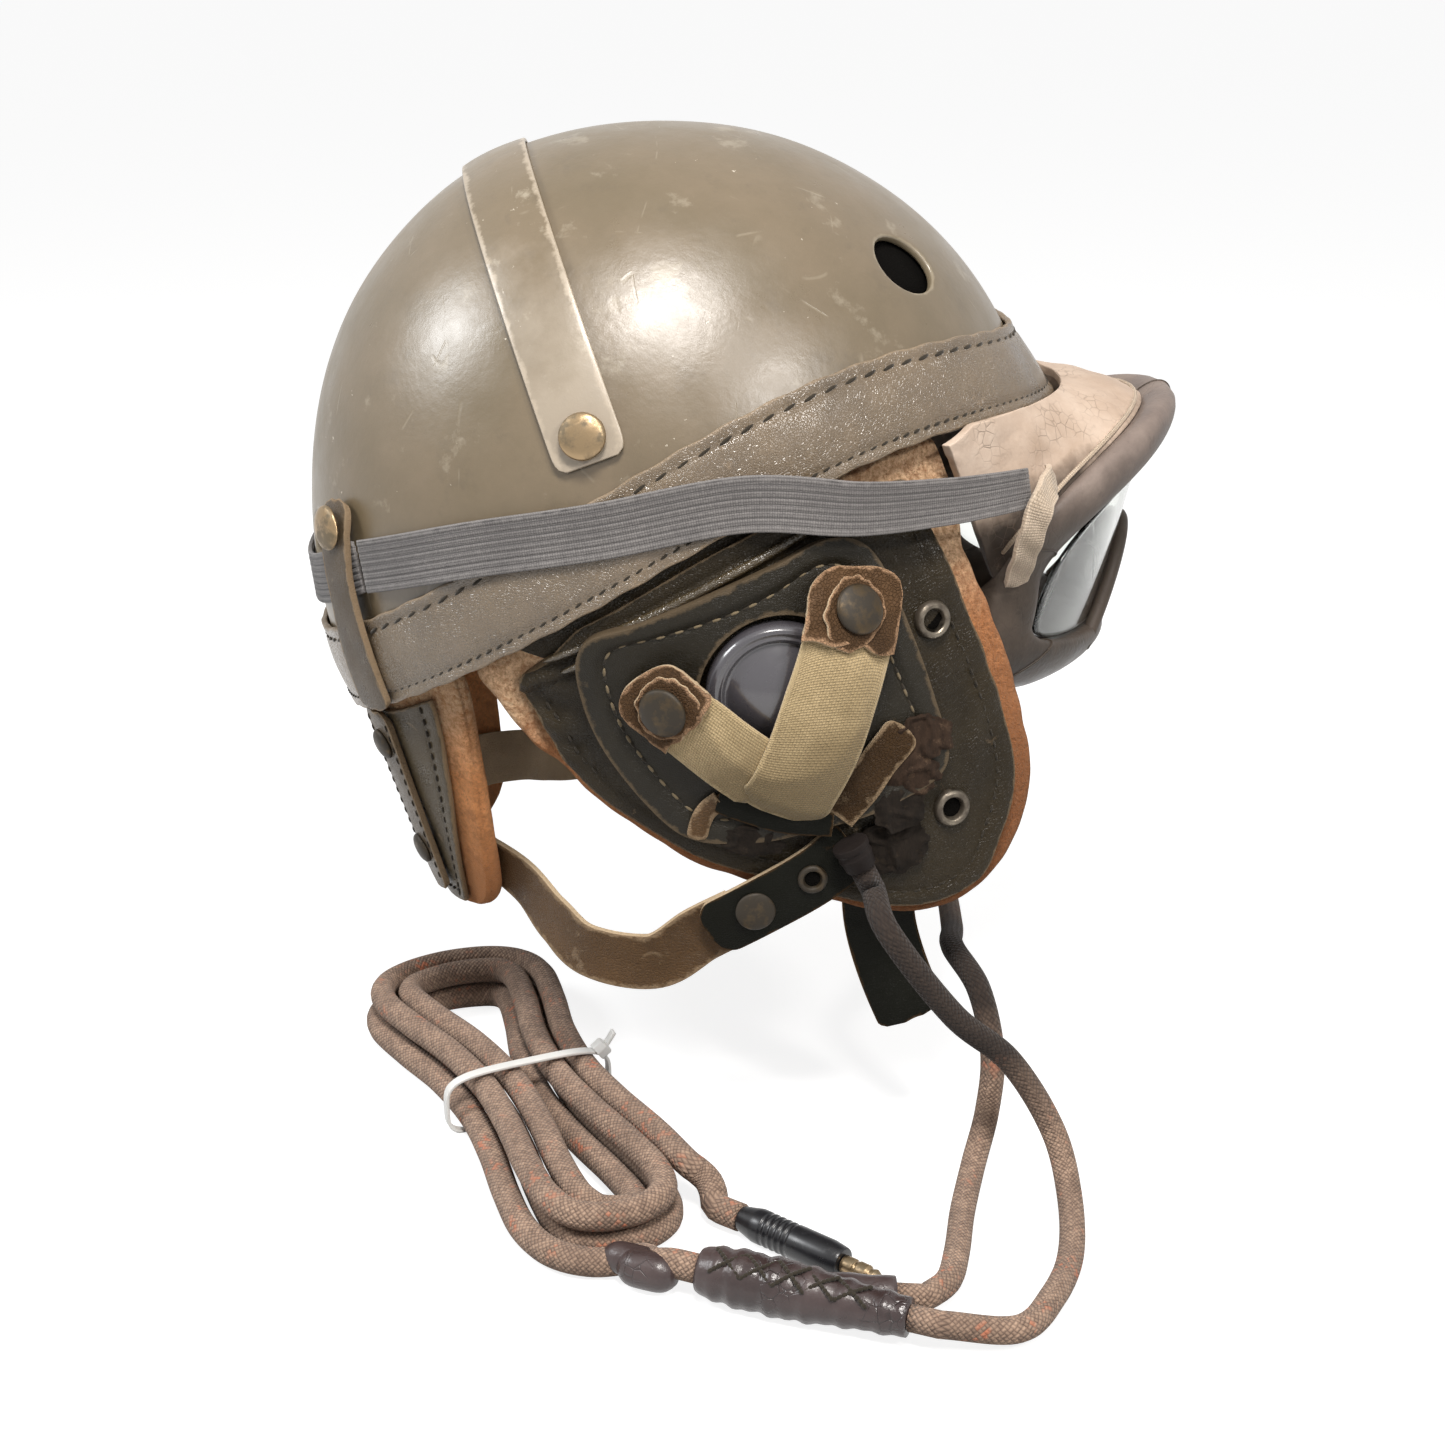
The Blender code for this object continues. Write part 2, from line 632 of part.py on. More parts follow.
for side, hand in ((-1, "right"), (1, "left")):
    # Crown rivet and keeper strap
    roll = side * (CROWN_STRAP_ANGLE - math.radians(4.5))
    seat = crown_place(CROWN_STRAP_X, roll, LAY + LEATHER + GAP)
    cap(f"crown_rivet_{hand}", facing(seat + dome_out(seat) * 0.3 * MM, dome_out(seat)))
    bearing = side * math.radians(KEEPER_ANGLE)
    foot = dome(bearing, KEEPER_FOOT, 5.2 * MM)
    hinge_keeper = pivot(f"keeper_{hand}_pivot", foot)
    over = [(KEEPER_TOP, 2.6), (KEEPER_SNAP, 4.1), (20 * MM, 4.5), (0.0, 4.7), (-16 * MM, 5.0)]
    over.append((KEEPER_FOOT, 5.2))
    route = [dome(bearing, height, lift * MM) for height, lift in over]
    ribbon(f"keeper_{hand}", route, dome_out, KEEPER_WIDTH, LEATHER, "leather", 9, hinge_keeper)
    stud = dome(bearing, KEEPER_SNAP, 4.1 * MM + LEATHER / 2 + LAY)
    cap(f"keeper_snap_{hand}", facing(stud, dome_normal(bearing, KEEPER_SNAP)), hinge_keeper)

    # Spring strap on the neck flap
    spring = []
    for step in range(5):
        angle = side * (SPRING_OUT - math.radians(1.5) * step)
        spring.append(neck_point(angle, LEATHER + LAY, (-47 - 16.5 * step) * MM))
    cover = ribbon(f"flap_spring_{hand}", spring, neck_out, SPRING_WIDTH, LEATHER, "leather", 6, hinge_neck)
    stud = neck_point(side * (SPRING_OUT - math.radians(1.5) * 3), LEATHER + LAY, (-47 - 16.5 * 3) * MM)
    head = [(0.0, 0.0), (5.5 * MM, 0.0), (5.5 * MM, 2 * MM), (3.5 * MM, 3.4 * MM), (0.0, 3.8 * MM)]
    seat = facing(stud, neck_out(stud))
    joined(cover, turned(f"spring_rivet_{hand}", head, seat, "leather", None, 12), "UNION")

    # Strap from the neck flap to the ear flap's tab
    tie = [(x * MM, side * y * MM, z * MM) for x, y, z in NECK_STRAP]
    tie.append((-45.8 * MM, side * (flap_y(-0.044, -0.131) + TAB_STAND + 2.2 * MM), -132.0 * MM))
    ribbon(f"neck_strap_{hand}", tie, strap_out, STRAP_WIDTH, 1.8 * MM, "leather", 16, hinge_neck)

    # Ear flap and lining
    hinge_ear = pivot(f"ear_flap_{hand}_pivot", swing_axis(side), None, FLAP_SLOPE)
    edge = outline(FLAP_EDGE, 36)
    middle = (0.0, -72 * MM)
    flap = sheet(f"ear_flap_{hand}", 36, 4, flap_place(edge, middle, side, 0.0), FLAP_LEATHER, "dark_leather",
                 hinge_ear)
    inside = -(FLAP_LEATHER / 2 + GAP + FLAP_PAD / 2)
    sheet(f"ear_lining_{hand}", 36, 5, flap_place(edge, middle, side, inside, FLAP_LIP, FLAP_TUCK), FLAP_PAD,
          "suede", hinge_ear)
    for number, (x, z) in enumerate(EYELETS):
        x, z = x * MM, z * MM
        slope = (x - RECEIVER[0]) / FLAP_FRONT_RADIUS
        stand = facing((x, side * (flap_y(x, z) - 0.6 * MM), z), (slope, side, 0.0))
        ring = [(EYELET_BORE, 0.0), (EYELET_RADIUS, 0.0), (EYELET_RADIUS, EYELET_RISE),
                (EYELET_BORE, EYELET_RISE)]
        eyelet = turned(f"eyelet_{number}_{hand}", ring, stand, "steel", None, 12)
        joined(flap, eyelet, "UNION")

    # Receiver in its stitched panel
    raised = FLAP_LEATHER / 2 + LAY + PANEL_RISE / 2
    panel = outline(PANEL_EDGE, 32)
    over_panel = flap_place(panel, RECEIVER, side, raised, 0.0, 0.0, RECEIVER_RADIUS + GAP)
    sheet(f"receiver_panel_{hand}", 32, 2, over_panel, PANEL_RISE, "dark_leather", hinge_ear)
    base = flap_y(*RECEIVER) + FLAP_LEATHER / 2 + GAP
    rise = RECEIVER_RISE - GAP - WEBBING / 2
    bell = [(0.0, 0.0), (RECEIVER_RADIUS - 1 * MM, 0.0), (RECEIVER_RADIUS - 1 * MM, rise - 4 * MM),
            (RECEIVER_RADIUS - 2.5 * MM, rise - 2 * MM), (RECEIVER_RADIUS - 5 * MM, rise - 2 * MM),
            (RECEIVER_RADIUS - 6 * MM, rise - 3.5 * MM), (RECEIVER_RADIUS * 0.5, rise - 1 * MM), (0.0, rise)]
    mouth = facing((RECEIVER[0], side * base, RECEIVER[1]), (0, side, 0))
    turned(f"receiver_{hand}", bell, mouth, "bakelite", hinge_ear, 24)

    # Ear cushion inside the flap
    deep = base - FLAP_LEATHER - 2 * GAP - FLAP_PAD - 4.6 * MM - CUSHION_HALF[1]
    soft = []
    for step in range(10):
        around = 2 * math.pi * step / 10
        soft.append((CUSHION_RING + CUSHION_HALF[0] * math.cos(around), CUSHION_HALF[1] * math.sin(around)))
    turned(f"ear_cushion_{hand}", soft, facing((RECEIVER[0], side * deep, RECEIVER[1]), (0, side, 0)), "felt",
           hinge_ear, 24)

    # V strap over the receiver, on its own fold at the foot
    skin = FLAP_LEATHER / 2 + LAY + PANEL_RISE + LAY + WEBBING / 2
    fold = (0.0, side * (flap_y(0.0, VEE_FOLD) + skin - WEBBING / 2), VEE_FOLD)
    hinge_strap = pivot(f"receiver_strap_{hand}_pivot", fold, hinge_ear)

    def strap_y(x, z):
        return flap_y(x, z) + skin + bump(x, z)

    def arm_place(points, width):
        route = smooth(np.array(points, float) * MM, 11)

        def place(u, v):
            at = min(int(round(u * 10)), 10)
            ahead = route[min(at + 1, 10)] - route[max(at - 1, 0)]
            across = np.array([-ahead[1], ahead[0]]) / np.linalg.norm(ahead)
            x, z = route[at] + across * (v - 0.5) * width
            return Vector((x, side * strap_y(x, z), z))
        return place

    vee = sheet(f"receiver_strap_{hand}", 10, 4, arm_place(ARM_FRONT, ARM_FRONT_WIDTH), WEBBING, "webbing",
                hinge_strap)
    rear = sheet(f"rear_arm_{hand}", 10, 4, arm_place(ARM_REAR, ARM_REAR_WIDTH), WEBBING * 0.94, "webbing")
    joined(vee, rear, "UNION")
    for word, points in (("front", ARM_FRONT), ("rear", ARM_REAR)):
        x, z = points[1][0] * MM, points[1][1] * MM
        tilt_x = strap_y(x + MM, z) - strap_y(x - MM, z)
        tilt_z = strap_y(x, z + MM) - strap_y(x, z - MM)
        away = Vector((-tilt_x, side * 2 * MM, -tilt_z)).normalized()
        spot = Vector((x, side * strap_y(x, z), z)) + away * (WEBBING / 2 + LAY)
        cap(f"strap_snap_{word}_{hand}", facing(spot, away), hinge_strap, 8.0 * MM)

    # Tab with its snap, and the chin strap behind it
    tab_points = []
    for step, (x, z) in enumerate(TAB):
        away = TAB_STAND + min(step, 1) * 2.4 * MM
        tab_points.append((x * MM, side * (flap_y(x * MM, z * MM) + away), z * MM))
    tab = ribbon(f"strap_tab_{hand}", tab_points, sideways, STRAP_WIDTH, LEATHER, "dark_leather", 6,
                 hinge_ear)
    spot = Vector(tab_points[2])
    stud = facing((spot.x, spot.y, spot.z), (0, side, 0))
    press = [(0.0, 0.0), (6.6 * MM, 0.0), (6.6 * MM, 1.6 * MM), (5 * MM, 3.4 * MM), (0.0, 3.6 * MM)]
    button = turned(f"tab_snap_{hand}", press, stud, "dark_leather", None, 12)
    joined(tab, button, "UNION")
    rim_in, rim_out, rim_high = TAB_EYELET
    ring = [(rim_in, 0.0), (rim_out, 0.0), (rim_out, rim_high), (rim_in, rim_high)]
    spot = facing((tab_points[1][0], tab_points[1][1], tab_points[1][2]), (0, side, 0))
    joined(tab, turned(f"tab_eyelet_{hand}", ring, spot, "steel", None, 12), "UNION")
    plumb = Vector((-math.sin(HEAD_TILT), 0.0, -math.cos(HEAD_TILT)))
    hang = flap_y(*CHIN_TOP) - FLAP_LEATHER / 2 - 2 * GAP - FLAP_PAD - LEATHER / 2 - 2.0 * MM
    top = Vector((CHIN_TOP[0], side * hang, CHIN_TOP[1])) - plumb * 12 * MM
    drops = [(0, 0, 0), (12, 0, 0), (28, 2, 2), (46, 0.5, 7), (64, -3, 14)]
    chin = [top + plumb * d * MM + Vector((f * MM, -side * s * MM, 0)) for d, s, f in drops]
    ribbon(f"chin_strap_{hand}", chin, sideways, CHIN_WIDTH, LEATHER, "dark_leather", 8, hinge_ear)

    # Gland under the receiver
    exit_x, exit_z = 9 * MM, -112.5 * MM
    exit_y = flap_y(exit_x, exit_z) + FLAP_LEATHER / 2 + GAP + LEATHER + GAP + GLAND_RADIUS
    heading = Vector((0.12, 0.0, -1.0)).normalized()
    start = Vector((exit_x, side * exit_y, exit_z))
    boot = [(0.0, 0.0), (GLAND_RADIUS, 0.0), (GLAND_RADIUS * 0.85, GLAND_LENGTH), (0.0, GLAND_LENGTH)]
    turned(f"cord_gland_{hand}", boot, facing(start, heading), "sleeve", hinge_ear, 12)
    mouth = start + heading * (GLAND_LENGTH + GAP)
    if side < 0:
        right_mouth, right_heading, right_hinge = world(mouth), TIP_BACK.to_3x3() @ heading, hinge_ear
    else:
        left_mouth, left_heading, left_hinge = world(mouth), TIP_BACK.to_3x3() @ heading, hinge_ear

# Goggles
frame = grid("goggle_frame", 36, 8, frame_place)
settle(frame, "rubber", hinge_goggles)
sheet("goggle_hood", 20, 4, lambda u, v: hood_point(2 * u - 1, v), HOOD_WALL, "hood_rubber", hinge_goggles)


def lens_place(u, v):
    turn = 2 * math.pi * u
    y, z = goggle_ring(turn, -GAP, -GAP)
    y, z = y * v, GOGGLE_MID[1] + (z - GOGGLE_MID[1]) * v
    return Vector((goggle_x(y, z), y, z))


sheet("goggle_lens", 36, 3, lens_place, LENS_WALL, "clear", hinge_goggles)
lay_out = LAY + LEATHER + 2 * GAP + ELASTIC / 2
for side, hand in ((-1, "right"), (1, "left")):
    loop = []
    for x, y, z in ((111, 73, -34), (107.5, 84.5, -34), (102, 91, -37.5), (95, 89, -49), (88.5, 79.7, -63)):
        loop.append((x * MM, side * y * MM, z * MM))
    ribbon(f"goggle_loop_{hand}", loop, loop_out, 9 * MM, LOOP_WALL, "tape", 8, hinge_goggles)
    run = []
    for x, y, z, share in STRAP_START:
        out = y * MM + (HALF_WIDTH - STRAP_DRAWN_FOR) * share
        run.append(Vector((x * MM, side * out, z * MM)))
    for bearing, height, lift in STRAP_OVER:
        run.append(dome(side * math.radians(bearing), height * MM, lay_out * lift))
    ribbon(f"goggle_strap_{hand}", run, dome_out, ELASTIC_WIDTH, ELASTIC, "elastic", 22, hinge_goggles)

back = []
for bearing in np.linspace(143.4, 216.6, 7):
    sag = 12.6 - 9.0 * math.cos(math.radians((bearing - 180) * 90 / 36.6))
    back.append(dome(math.radians(bearing), sag * MM, 0.38 * lay_out))
ribbon("goggle_strap_rear", back, dome_out, ELASTIC_WIDTH, ELASTIC, "elastic", 12)

# Receiver cords, joined in the sleeve
lie = TABLE + CORD_RADIUS + 0.2 * MM
sleeve_right = Vector((51.0 * MM, -218.5 * MM, TABLE + SLEEVE_RADIUS))
sleeve_left = Vector((-8.0 * MM, -189.0 * MM, TABLE + SLEEVE_RADIUS))
sleeve_line = (sleeve_right - sleeve_left).normalized()
leg_root = Vector((20.0 * MM, -203.0 * MM, TABLE + SLEEVE_RADIUS))
leg_end = Vector((49.0 * MM, -204.5 * MM, TABLE + LEG_RADIUS + 0.6 * MM))
leg_line = (leg_end - leg_root).normalized()


def split(route, count, kept):
    """A smooth path with straight ends, cut in two with a gap at the point of that number."""
    path = np.vstack([[tuple(route[0])], smooth(route[1:-1], count), [tuple(route[-1])]])
    first = path[: kept + 1].copy()
    last = path[kept:].copy()
    step = (last[1] - last[0]) / np.linalg.norm(last[1] - last[0])
    last[0] = last[0] + step * LAY
    return first, last


right_end = sleeve_right + sleeve_line * GAP
left_end = leg_end + leg_line * GAP
right_route = [
    right_mouth, right_mouth + right_heading * 9 * MM, (0.056, -0.136, -0.128), (0.077, -0.14, -0.156),
    (0.096, -0.141, -0.173), (0.110, -0.146, -0.196), (0.113, -0.160, lie + 0.006), (0.108, -0.184, lie),
    (0.097, -0.206, lie), (0.083, -0.222, lie + 0.001), right_end + sleeve_line * 9 * MM, right_end,
]
left_route = [
    left_mouth, left_mouth + left_heading * 10 * MM, (0.064, 0.127, -0.138), (0.089, 0.119, -0.165),
    (0.107, 0.09, -0.185), (0.108, 0.04, -0.19), (0.098, -0.03, -0.177), (0.089, -0.076, -0.163),
    (0.093, -0.103, -0.166), (0.096, -0.115, -0.184), (0.094, -0.120, -0.203),
    (0.087, -0.134, lie + 0.003), (0.079, -0.157, lie), (0.073, -0.179, lie), (0.067, -0.196, lie + 0.001),
    left_end + leg_line * 9 * MM, left_end,
]
upper, lower = split(right_route, 24, 7)
tube("cord_upper_right", upper, CORD_RADIUS, "braid", right_hinge)
tube("cord_right", lower, CORD_RADIUS, "braid")
upper, lower = split(left_route, 38, 7)
tube("cord_upper_left", upper, CORD_RADIUS, "braid", left_hinge)
tube("cord_left", lower, CORD_RADIUS, "braid")
long = (sleeve_right - sleeve_left).length
barrel = [(0.0, 0.0), (SLEEVE_RADIUS * 0.75, 0.0), (SLEEVE_RADIUS, 7 * MM), (SLEEVE_RADIUS, 0.45 * long),
          (LEG_RADIUS * 1.15, 0.75 * long), (LEG_RADIUS, long), (0.0, long)]
sleeve = turned("splice_sleeve", barrel, facing(sleeve_left, sleeve_line), "sleeve", None, 16, LEVEL)
branch = (leg_end - leg_root).length
leg = [(0.0, 0.0), (LEG_RADIUS * 1.1, 0.0), (LEG_RADIUS, branch), (0.0, branch)]
joined(sleeve, turned("sleeve_leg", leg, facing(leg_root, leg_line), "sleeve", None, 14, LEVEL), "UNION")

# Main cord: loops spiral in on the lower layer and out on the upper, drawn in at the waist
heading = np.array(HANK_HEADING)
beside = np.array([-heading[1], heading[0]])


def hank_outline(phase):
    """The outermost loop, along the hank and across it."""
    wide = HANK_WAIST + HANK_BULGE[math.cos(phase) > 0] * math.cos(phase) ** 2
    return np.array([HANK_HALF * math.cos(phase), -wide * math.sin(phase)])


hank_lie = TABLE + HANK_RADIUS + 0.2 * MM
hank = []
for step in range(HANK_LOOPS * LOOP_POINTS + 1 - HANK_SHORT):
    turn = step / LOOP_POINTS
    phase = 2 * math.pi * turn
    inward = HANK_STEP * (HANK_LOOPS / 2 - abs(turn - HANK_LOOPS / 2))
    climb = min(1.0, max(0.0, (turn - HANK_LOOPS / 2 + 0.25) / 0.5))
    high = hank_lie + (2 * HANK_RADIUS + 0.9 * MM) * climb * climb * (3 - 2 * climb)
    along = hank_outline(phase + 0.01) - hank_outline(phase - 0.01)
    along = along / np.linalg.norm(along)
    flat = hank_outline(phase) + inward * np.array([along[1], -along[0]])
    spot = np.array(HANK_MIDDLE) + heading * flat[0] + beside * flat[1]
    hank.append(np.array([*spot, high]))
plug_end = np.array([0.0075, -0.157, TABLE + PLUG_RADIUS])
plug_line = np.array([0.72, -0.694, 0.0])
start = np.array(sleeve_left - sleeve_line * GAP)
lead = start - np.array(sleeve_line) * 9 * MM
finish = plug_end - plug_line * GAP
tail = finish - plug_line * 10 * MM
way_in = list(smooth([lead, (lead + hank[0]) / 2 + np.array([-1.5, -1.0, 0.0]) * MM, hank[0]], 3))[:-1]
way_out = list(smooth([hank[-1], (hank[-1] + tail) / 2 + np.array([2.5, 1.5, 0.0]) * MM, tail], 5))[1:]
hank_route = [start, *way_in, *hank, *way_out, finish]
dense = smooth(hank_route, 900)
spread = np.linalg.norm(dense[:, None, :] - dense[None, :, :], axis=2)
steps = np.linalg.norm(np.diff(dense, axis=0), axis=1)
run = np.abs(np.arange(900)[:, None] - np.arange(900)[None, :]) * steps.mean()
print("hank cord length (mm)", round(steps.sum() / MM, 1))
print("hank least gap to itself (mm)", round((spread[run > 28 * MM].min() - 2 * HANK_RADIUS) / MM, 2))
tube("cord_hank", hank_route, HANK_RADIUS, "braid", None, 1)

# Tie round the waist
tie_half = (HANK_WAIST + HANK_RADIUS + TIE_WALL / 2 + 0.5 * MM, 2 * HANK_RADIUS + TIE_WALL / 2 + 1.2 * MM)


def tie_place(u, v):
    turn = 2 * math.pi * u
    c, s = math.cos(turn), math.sin(turn)
    out = math.copysign(abs(c) ** 0.5, c) * tie_half[0]
    up = math.copysign(abs(s) ** 0.5, s) * tie_half[1]
    flat = np.array(HANK_MIDDLE) + beside * out + heading * (v - 0.5) * TIE_WIDTH
    return Vector((flat[0], flat[1], hank_lie + HANK_RADIUS + 0.45 * MM + up))


tie_ring = grid("hank_tie", 28, 1, tie_place)
tie_wall = tie_ring.modifiers.new("wall", "SOLIDIFY")
tie_wall.thickness = TIE_WALL / 2
tie_wall.offset = 0.0
settle(tie_ring, "nylon", None, LEVEL)
tie_knot = np.array(tie_place(0.115, 0.5))
knot_end = np.array([beside[0] * 0.8, beside[1] * 0.8, 0.6])
knot = [(0.0, -0.4 * MM), (TIE_HEAD, -0.4 * MM), (TIE_HEAD, TIE_HEAD), (0.0, TIE_HEAD * 1.2)]
joined(tie_ring, turned("tie_head", knot, facing(tie_knot, knot_end), "nylon", None, 10, LEVEL), "UNION")

# Plug
plug_at = facing(plug_end, plug_line)
stem = [(0.0, 0.0), (PLUG_RADIUS * 0.72, 0.0), (PLUG_RADIUS, 6 * MM), (PLUG_RADIUS, PLUG_LENGTH - 5 * MM),
        (PLUG_RADIUS * 0.85, PLUG_LENGTH), (0.0, PLUG_LENGTH)]
turned("plug_shell", stem, plug_at, "bakelite", None, 16, LEVEL)
pin_at = facing(plug_end + plug_line * (PLUG_LENGTH + 0.3 * MM), plug_line)
pin = [(0.0, 0.0), (TIP_RADIUS, 0.0), (TIP_RADIUS, TIP_LENGTH - 5 * MM),
       (TIP_RADIUS * 0.72, TIP_LENGTH - 4 * MM), (TIP_RADIUS * 0.9, TIP_LENGTH - 2.4 * MM),
       (TIP_RADIUS * 0.4, TIP_LENGTH), (0.0, TIP_LENGTH)]
turned("plug_tip", pin, pin_at, "brass", None, 12, LEVEL)
pivots = {
    "goggles": (GOGGLE_PIVOT[0], 0, GOGGLE_PIVOT[1]),
    "neck": (NECK_PIVOT[0], 0, NECK_PIVOT[1]),
    "ear right": swing_axis(-1),
    "keeper": dome(math.radians(KEEPER_ANGLE), KEEPER_FOOT, 5.2 * MM),
    "v strap left": fold,
}
for name, point in pivots.items():
    print("pivot", name, [round(v, 5) for v in world(point)])
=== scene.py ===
"""Looks of a crew helmet with earphones, goggles and a tied cord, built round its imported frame."""
import math

import bmesh
import bpy
import numpy as np
from bpy.props import FloatProperty, FloatVectorProperty, PointerProperty
from bpy.types import Operator, Panel, PropertyGroup
from mathutils import Matrix, Vector, kdtree


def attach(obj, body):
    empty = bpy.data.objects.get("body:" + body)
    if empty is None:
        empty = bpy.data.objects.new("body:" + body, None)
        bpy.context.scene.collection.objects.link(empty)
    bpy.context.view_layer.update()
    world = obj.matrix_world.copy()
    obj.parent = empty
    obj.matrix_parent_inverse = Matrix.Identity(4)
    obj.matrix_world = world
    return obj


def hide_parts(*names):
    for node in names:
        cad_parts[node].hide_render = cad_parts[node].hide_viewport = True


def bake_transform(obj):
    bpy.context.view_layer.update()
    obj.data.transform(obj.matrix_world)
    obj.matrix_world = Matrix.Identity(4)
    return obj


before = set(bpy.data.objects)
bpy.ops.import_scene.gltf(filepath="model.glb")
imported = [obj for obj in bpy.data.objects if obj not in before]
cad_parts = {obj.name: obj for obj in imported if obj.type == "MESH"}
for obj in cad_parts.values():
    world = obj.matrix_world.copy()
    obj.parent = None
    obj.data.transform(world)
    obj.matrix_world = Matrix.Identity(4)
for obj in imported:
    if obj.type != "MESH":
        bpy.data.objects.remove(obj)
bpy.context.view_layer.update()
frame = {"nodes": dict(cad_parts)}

bl_info = {
    "name": "Crew helmet",
    "version": (1, 0, 0),
    "blender": (4, 5, 0),
    "location": "3D View > Sidebar > Helmet",
    "description": "Shell, leather, goggles and cords of a crew helmet, each made by its own operator",
    "category": "Object",
}

MM = 0.001
SIDES = ((-1, "right"), (1, "left"))

# Sizes that the frame was drawn with, repeated here; the tail of FLAP_EDGE is blunter than the frame's
HEAD_TILT = math.radians(19.0)
CROWN_HEIGHT = 114.0 * MM
CROWN_X = -16.0 * MM
FRONT_REACH = 137.0 * MM
REAR_REACH = 122.5 * MM
HALF_WIDTH = 112.0 * MM
CROWN_RISE = 138.6 * MM
CROWN_SKEW = 10.3 * MM
BROW_FLARE = 8.0 * MM
FLARE_START = 8.0 * MM
FLARE_DEPTH = 34.0 * MM
SHELL_WALL = 3.0 * MM
RIM_WAVE = (-18.8 * MM, 12.4 * MM, -12.5 * MM, -3.5 * MM, -1.5 * MM)
VENT_RADIUS = 11.5 * MM
VENTS = ((31.0, 43.0 * MM), (163.0, 17.0 * MM))
GAP = 0.4 * MM
LAY = 0.8 * MM
BAND_WIDTH = 29.0 * MM
LEATHER = 2.2 * MM
CROWN_STRAP_X = -26.0 * MM
CROWN_STRAP_WIDTH = 23.0 * MM
CROWN_STRAP_ANGLE = math.radians(75.0)
KEEPER_ANGLE = math.radians(148.0)
NECK_INSET = 2.6 * MM
NECK_TOP_ANGLE = math.radians(45.0)
NECK_FOOT_ANGLE = math.radians(27.0)
NECK_FOOT = -120.0 * MM
NECK_DROP = 5.0 * MM
NECK_PAD = 7.0 * MM
FLAP_OUT = 110.0 * MM
FLAP_REAR_RADIUS = 187.0 * MM
FLAP_FRONT_RADIUS = 145.0 * MM
FLAP_TOP = -8.0 * MM
FLAP_BEND = 45.0 * MM
FLAP_LEATHER = 2.5 * MM
FLAP_PAD = 6.5 * MM
FLAP_EDGE = ((71, -30), (75, -66), (75.5, -98), (71, -124), (56, -143), (34, -149), (12, -142), (-11, -126),
             (-38, -106.5), (-60, -80), (-70, -60), (-77, -39), (-76, -28), (-66, -25), (-36, -18), (-5, -12),
             (28, -9), (56, -8.5), (68, -12),)
RECEIVER = (4 * MM, -58 * MM)
RECEIVER_RADIUS = 24.0 * MM
RECEIVER_RISE = 13.0 * MM
STRAP_FALL = 20.0 * MM
PANEL_RISE = 5.0 * MM
PANEL_EDGE = (
    (47, -46), (48, -78), (45, -102), (24, -107), (2, -106), (-20, -103), (-40, -93), (-52, -62), (-53, -38),
    (-47, -23), (-28, -22), (-8, -21), (14, -20), (32, -19), (43, -27),
)
WEBBING = 2.0 * MM
GOGGLE_HALF = (66.0 * MM, 28.0 * MM, 22.0 * MM)
GOGGLE_MID = (135.0 * MM, -83.5 * MM)
GOGGLE_SWEEP = 10.0
GOGGLE_LEAN = 0.63
TABLE = -222.0 * MM
CORD_RADIUS = 4.1 * MM
HANK_RADIUS = 4.6 * MM

TIP_MATRIX = Matrix.Rotation(-HEAD_TILT, 4, "Y")
TIP_BACK = np.array(TIP_MATRIX.to_3x3())


# Shape helpers
def tipped(points):
    """Points of the helmet's own level frame, in the frame that they are shown in."""
    return np.asarray(points, float) @ TIP_BACK.T


EAR_CORE = tipped((0.0, 0.0, -0.06))


def unit(vectors):
    """Vectors made one long."""
    size = np.linalg.norm(vectors, axis=-1, keepdims=True)
    return vectors / np.maximum(size, 1e-12)


def ease(value, low, high):
    """Zero at low, one at high, smooth between."""
    share = np.clip((value - low) / (high - low), 0.0, 1.0)
    return share * share * (3 - 2 * share)


def ridge(value, middle, width):
    """A rounded ridge of height one."""
    return np.exp(-(((value - middle) / width) ** 2))


def swell(points, size, seed):
    """Soft random lumps of about that size, from -1 to 1, the same on every run."""
    draw = np.random.default_rng(seed)
    ways = unit(draw.normal(size=(14, 3))) * (2 * math.pi / size) * draw.uniform(0.5, 1.4, (14, 1))
    shift = draw.uniform(0, 2 * math.pi, 14)
    waves = np.sin(np.asarray(points) @ ways.T + shift)
    return waves.sum(axis=-1) / 14**0.5 * 0.8


def smooth(points, count):
    """Evenly spaced points on a smooth curve through the given ones."""
    base = np.array([tuple(p) for p in points], float)
    ends = np.vstack([2 * base[0] - base[1], base, 2 * base[-1] - base[-2]])
    dense = []
    for a, b, c, d in zip(ends[:-3], ends[1:-2], ends[2:-1], ends[3:]):
        t = np.linspace(0.0, 1.0, 24, endpoint=False)[:, None]
        slope = (c - a) * t + (2 * a - 5 * b + 4 * c - d) * t**2 + (3 * b - a - 3 * c + d) * t**3
        dense.append(b + 0.5 * slope)
    dense = np.vstack([*dense, base[-1:]])
    return spaced(dense, count)


def spaced(line, count):
    """Evenly spaced points along a line."""
    run = lengths(line)
    even = np.linspace(0.0, run[-1], count)
    return np.stack([np.interp(even, run, line[:, k]) for k in range(line.shape[1])], -1)


def lengths(line):
    """Distance run at each point of a line."""
    return np.concatenate([[0.0], np.cumsum(np.linalg.norm(np.diff(line, axis=0), axis=1))])


def rim(angle):
    """Height of the shell's lower edge at a plan angle."""
    return sum(part * np.cos(order * angle) for order, part in enumerate(RIM_WAVE))


def crown_of(angle):
    """Height of the crown's curve at a plan angle."""
    return CROWN_RISE - CROWN_SKEW * np.cos(angle)


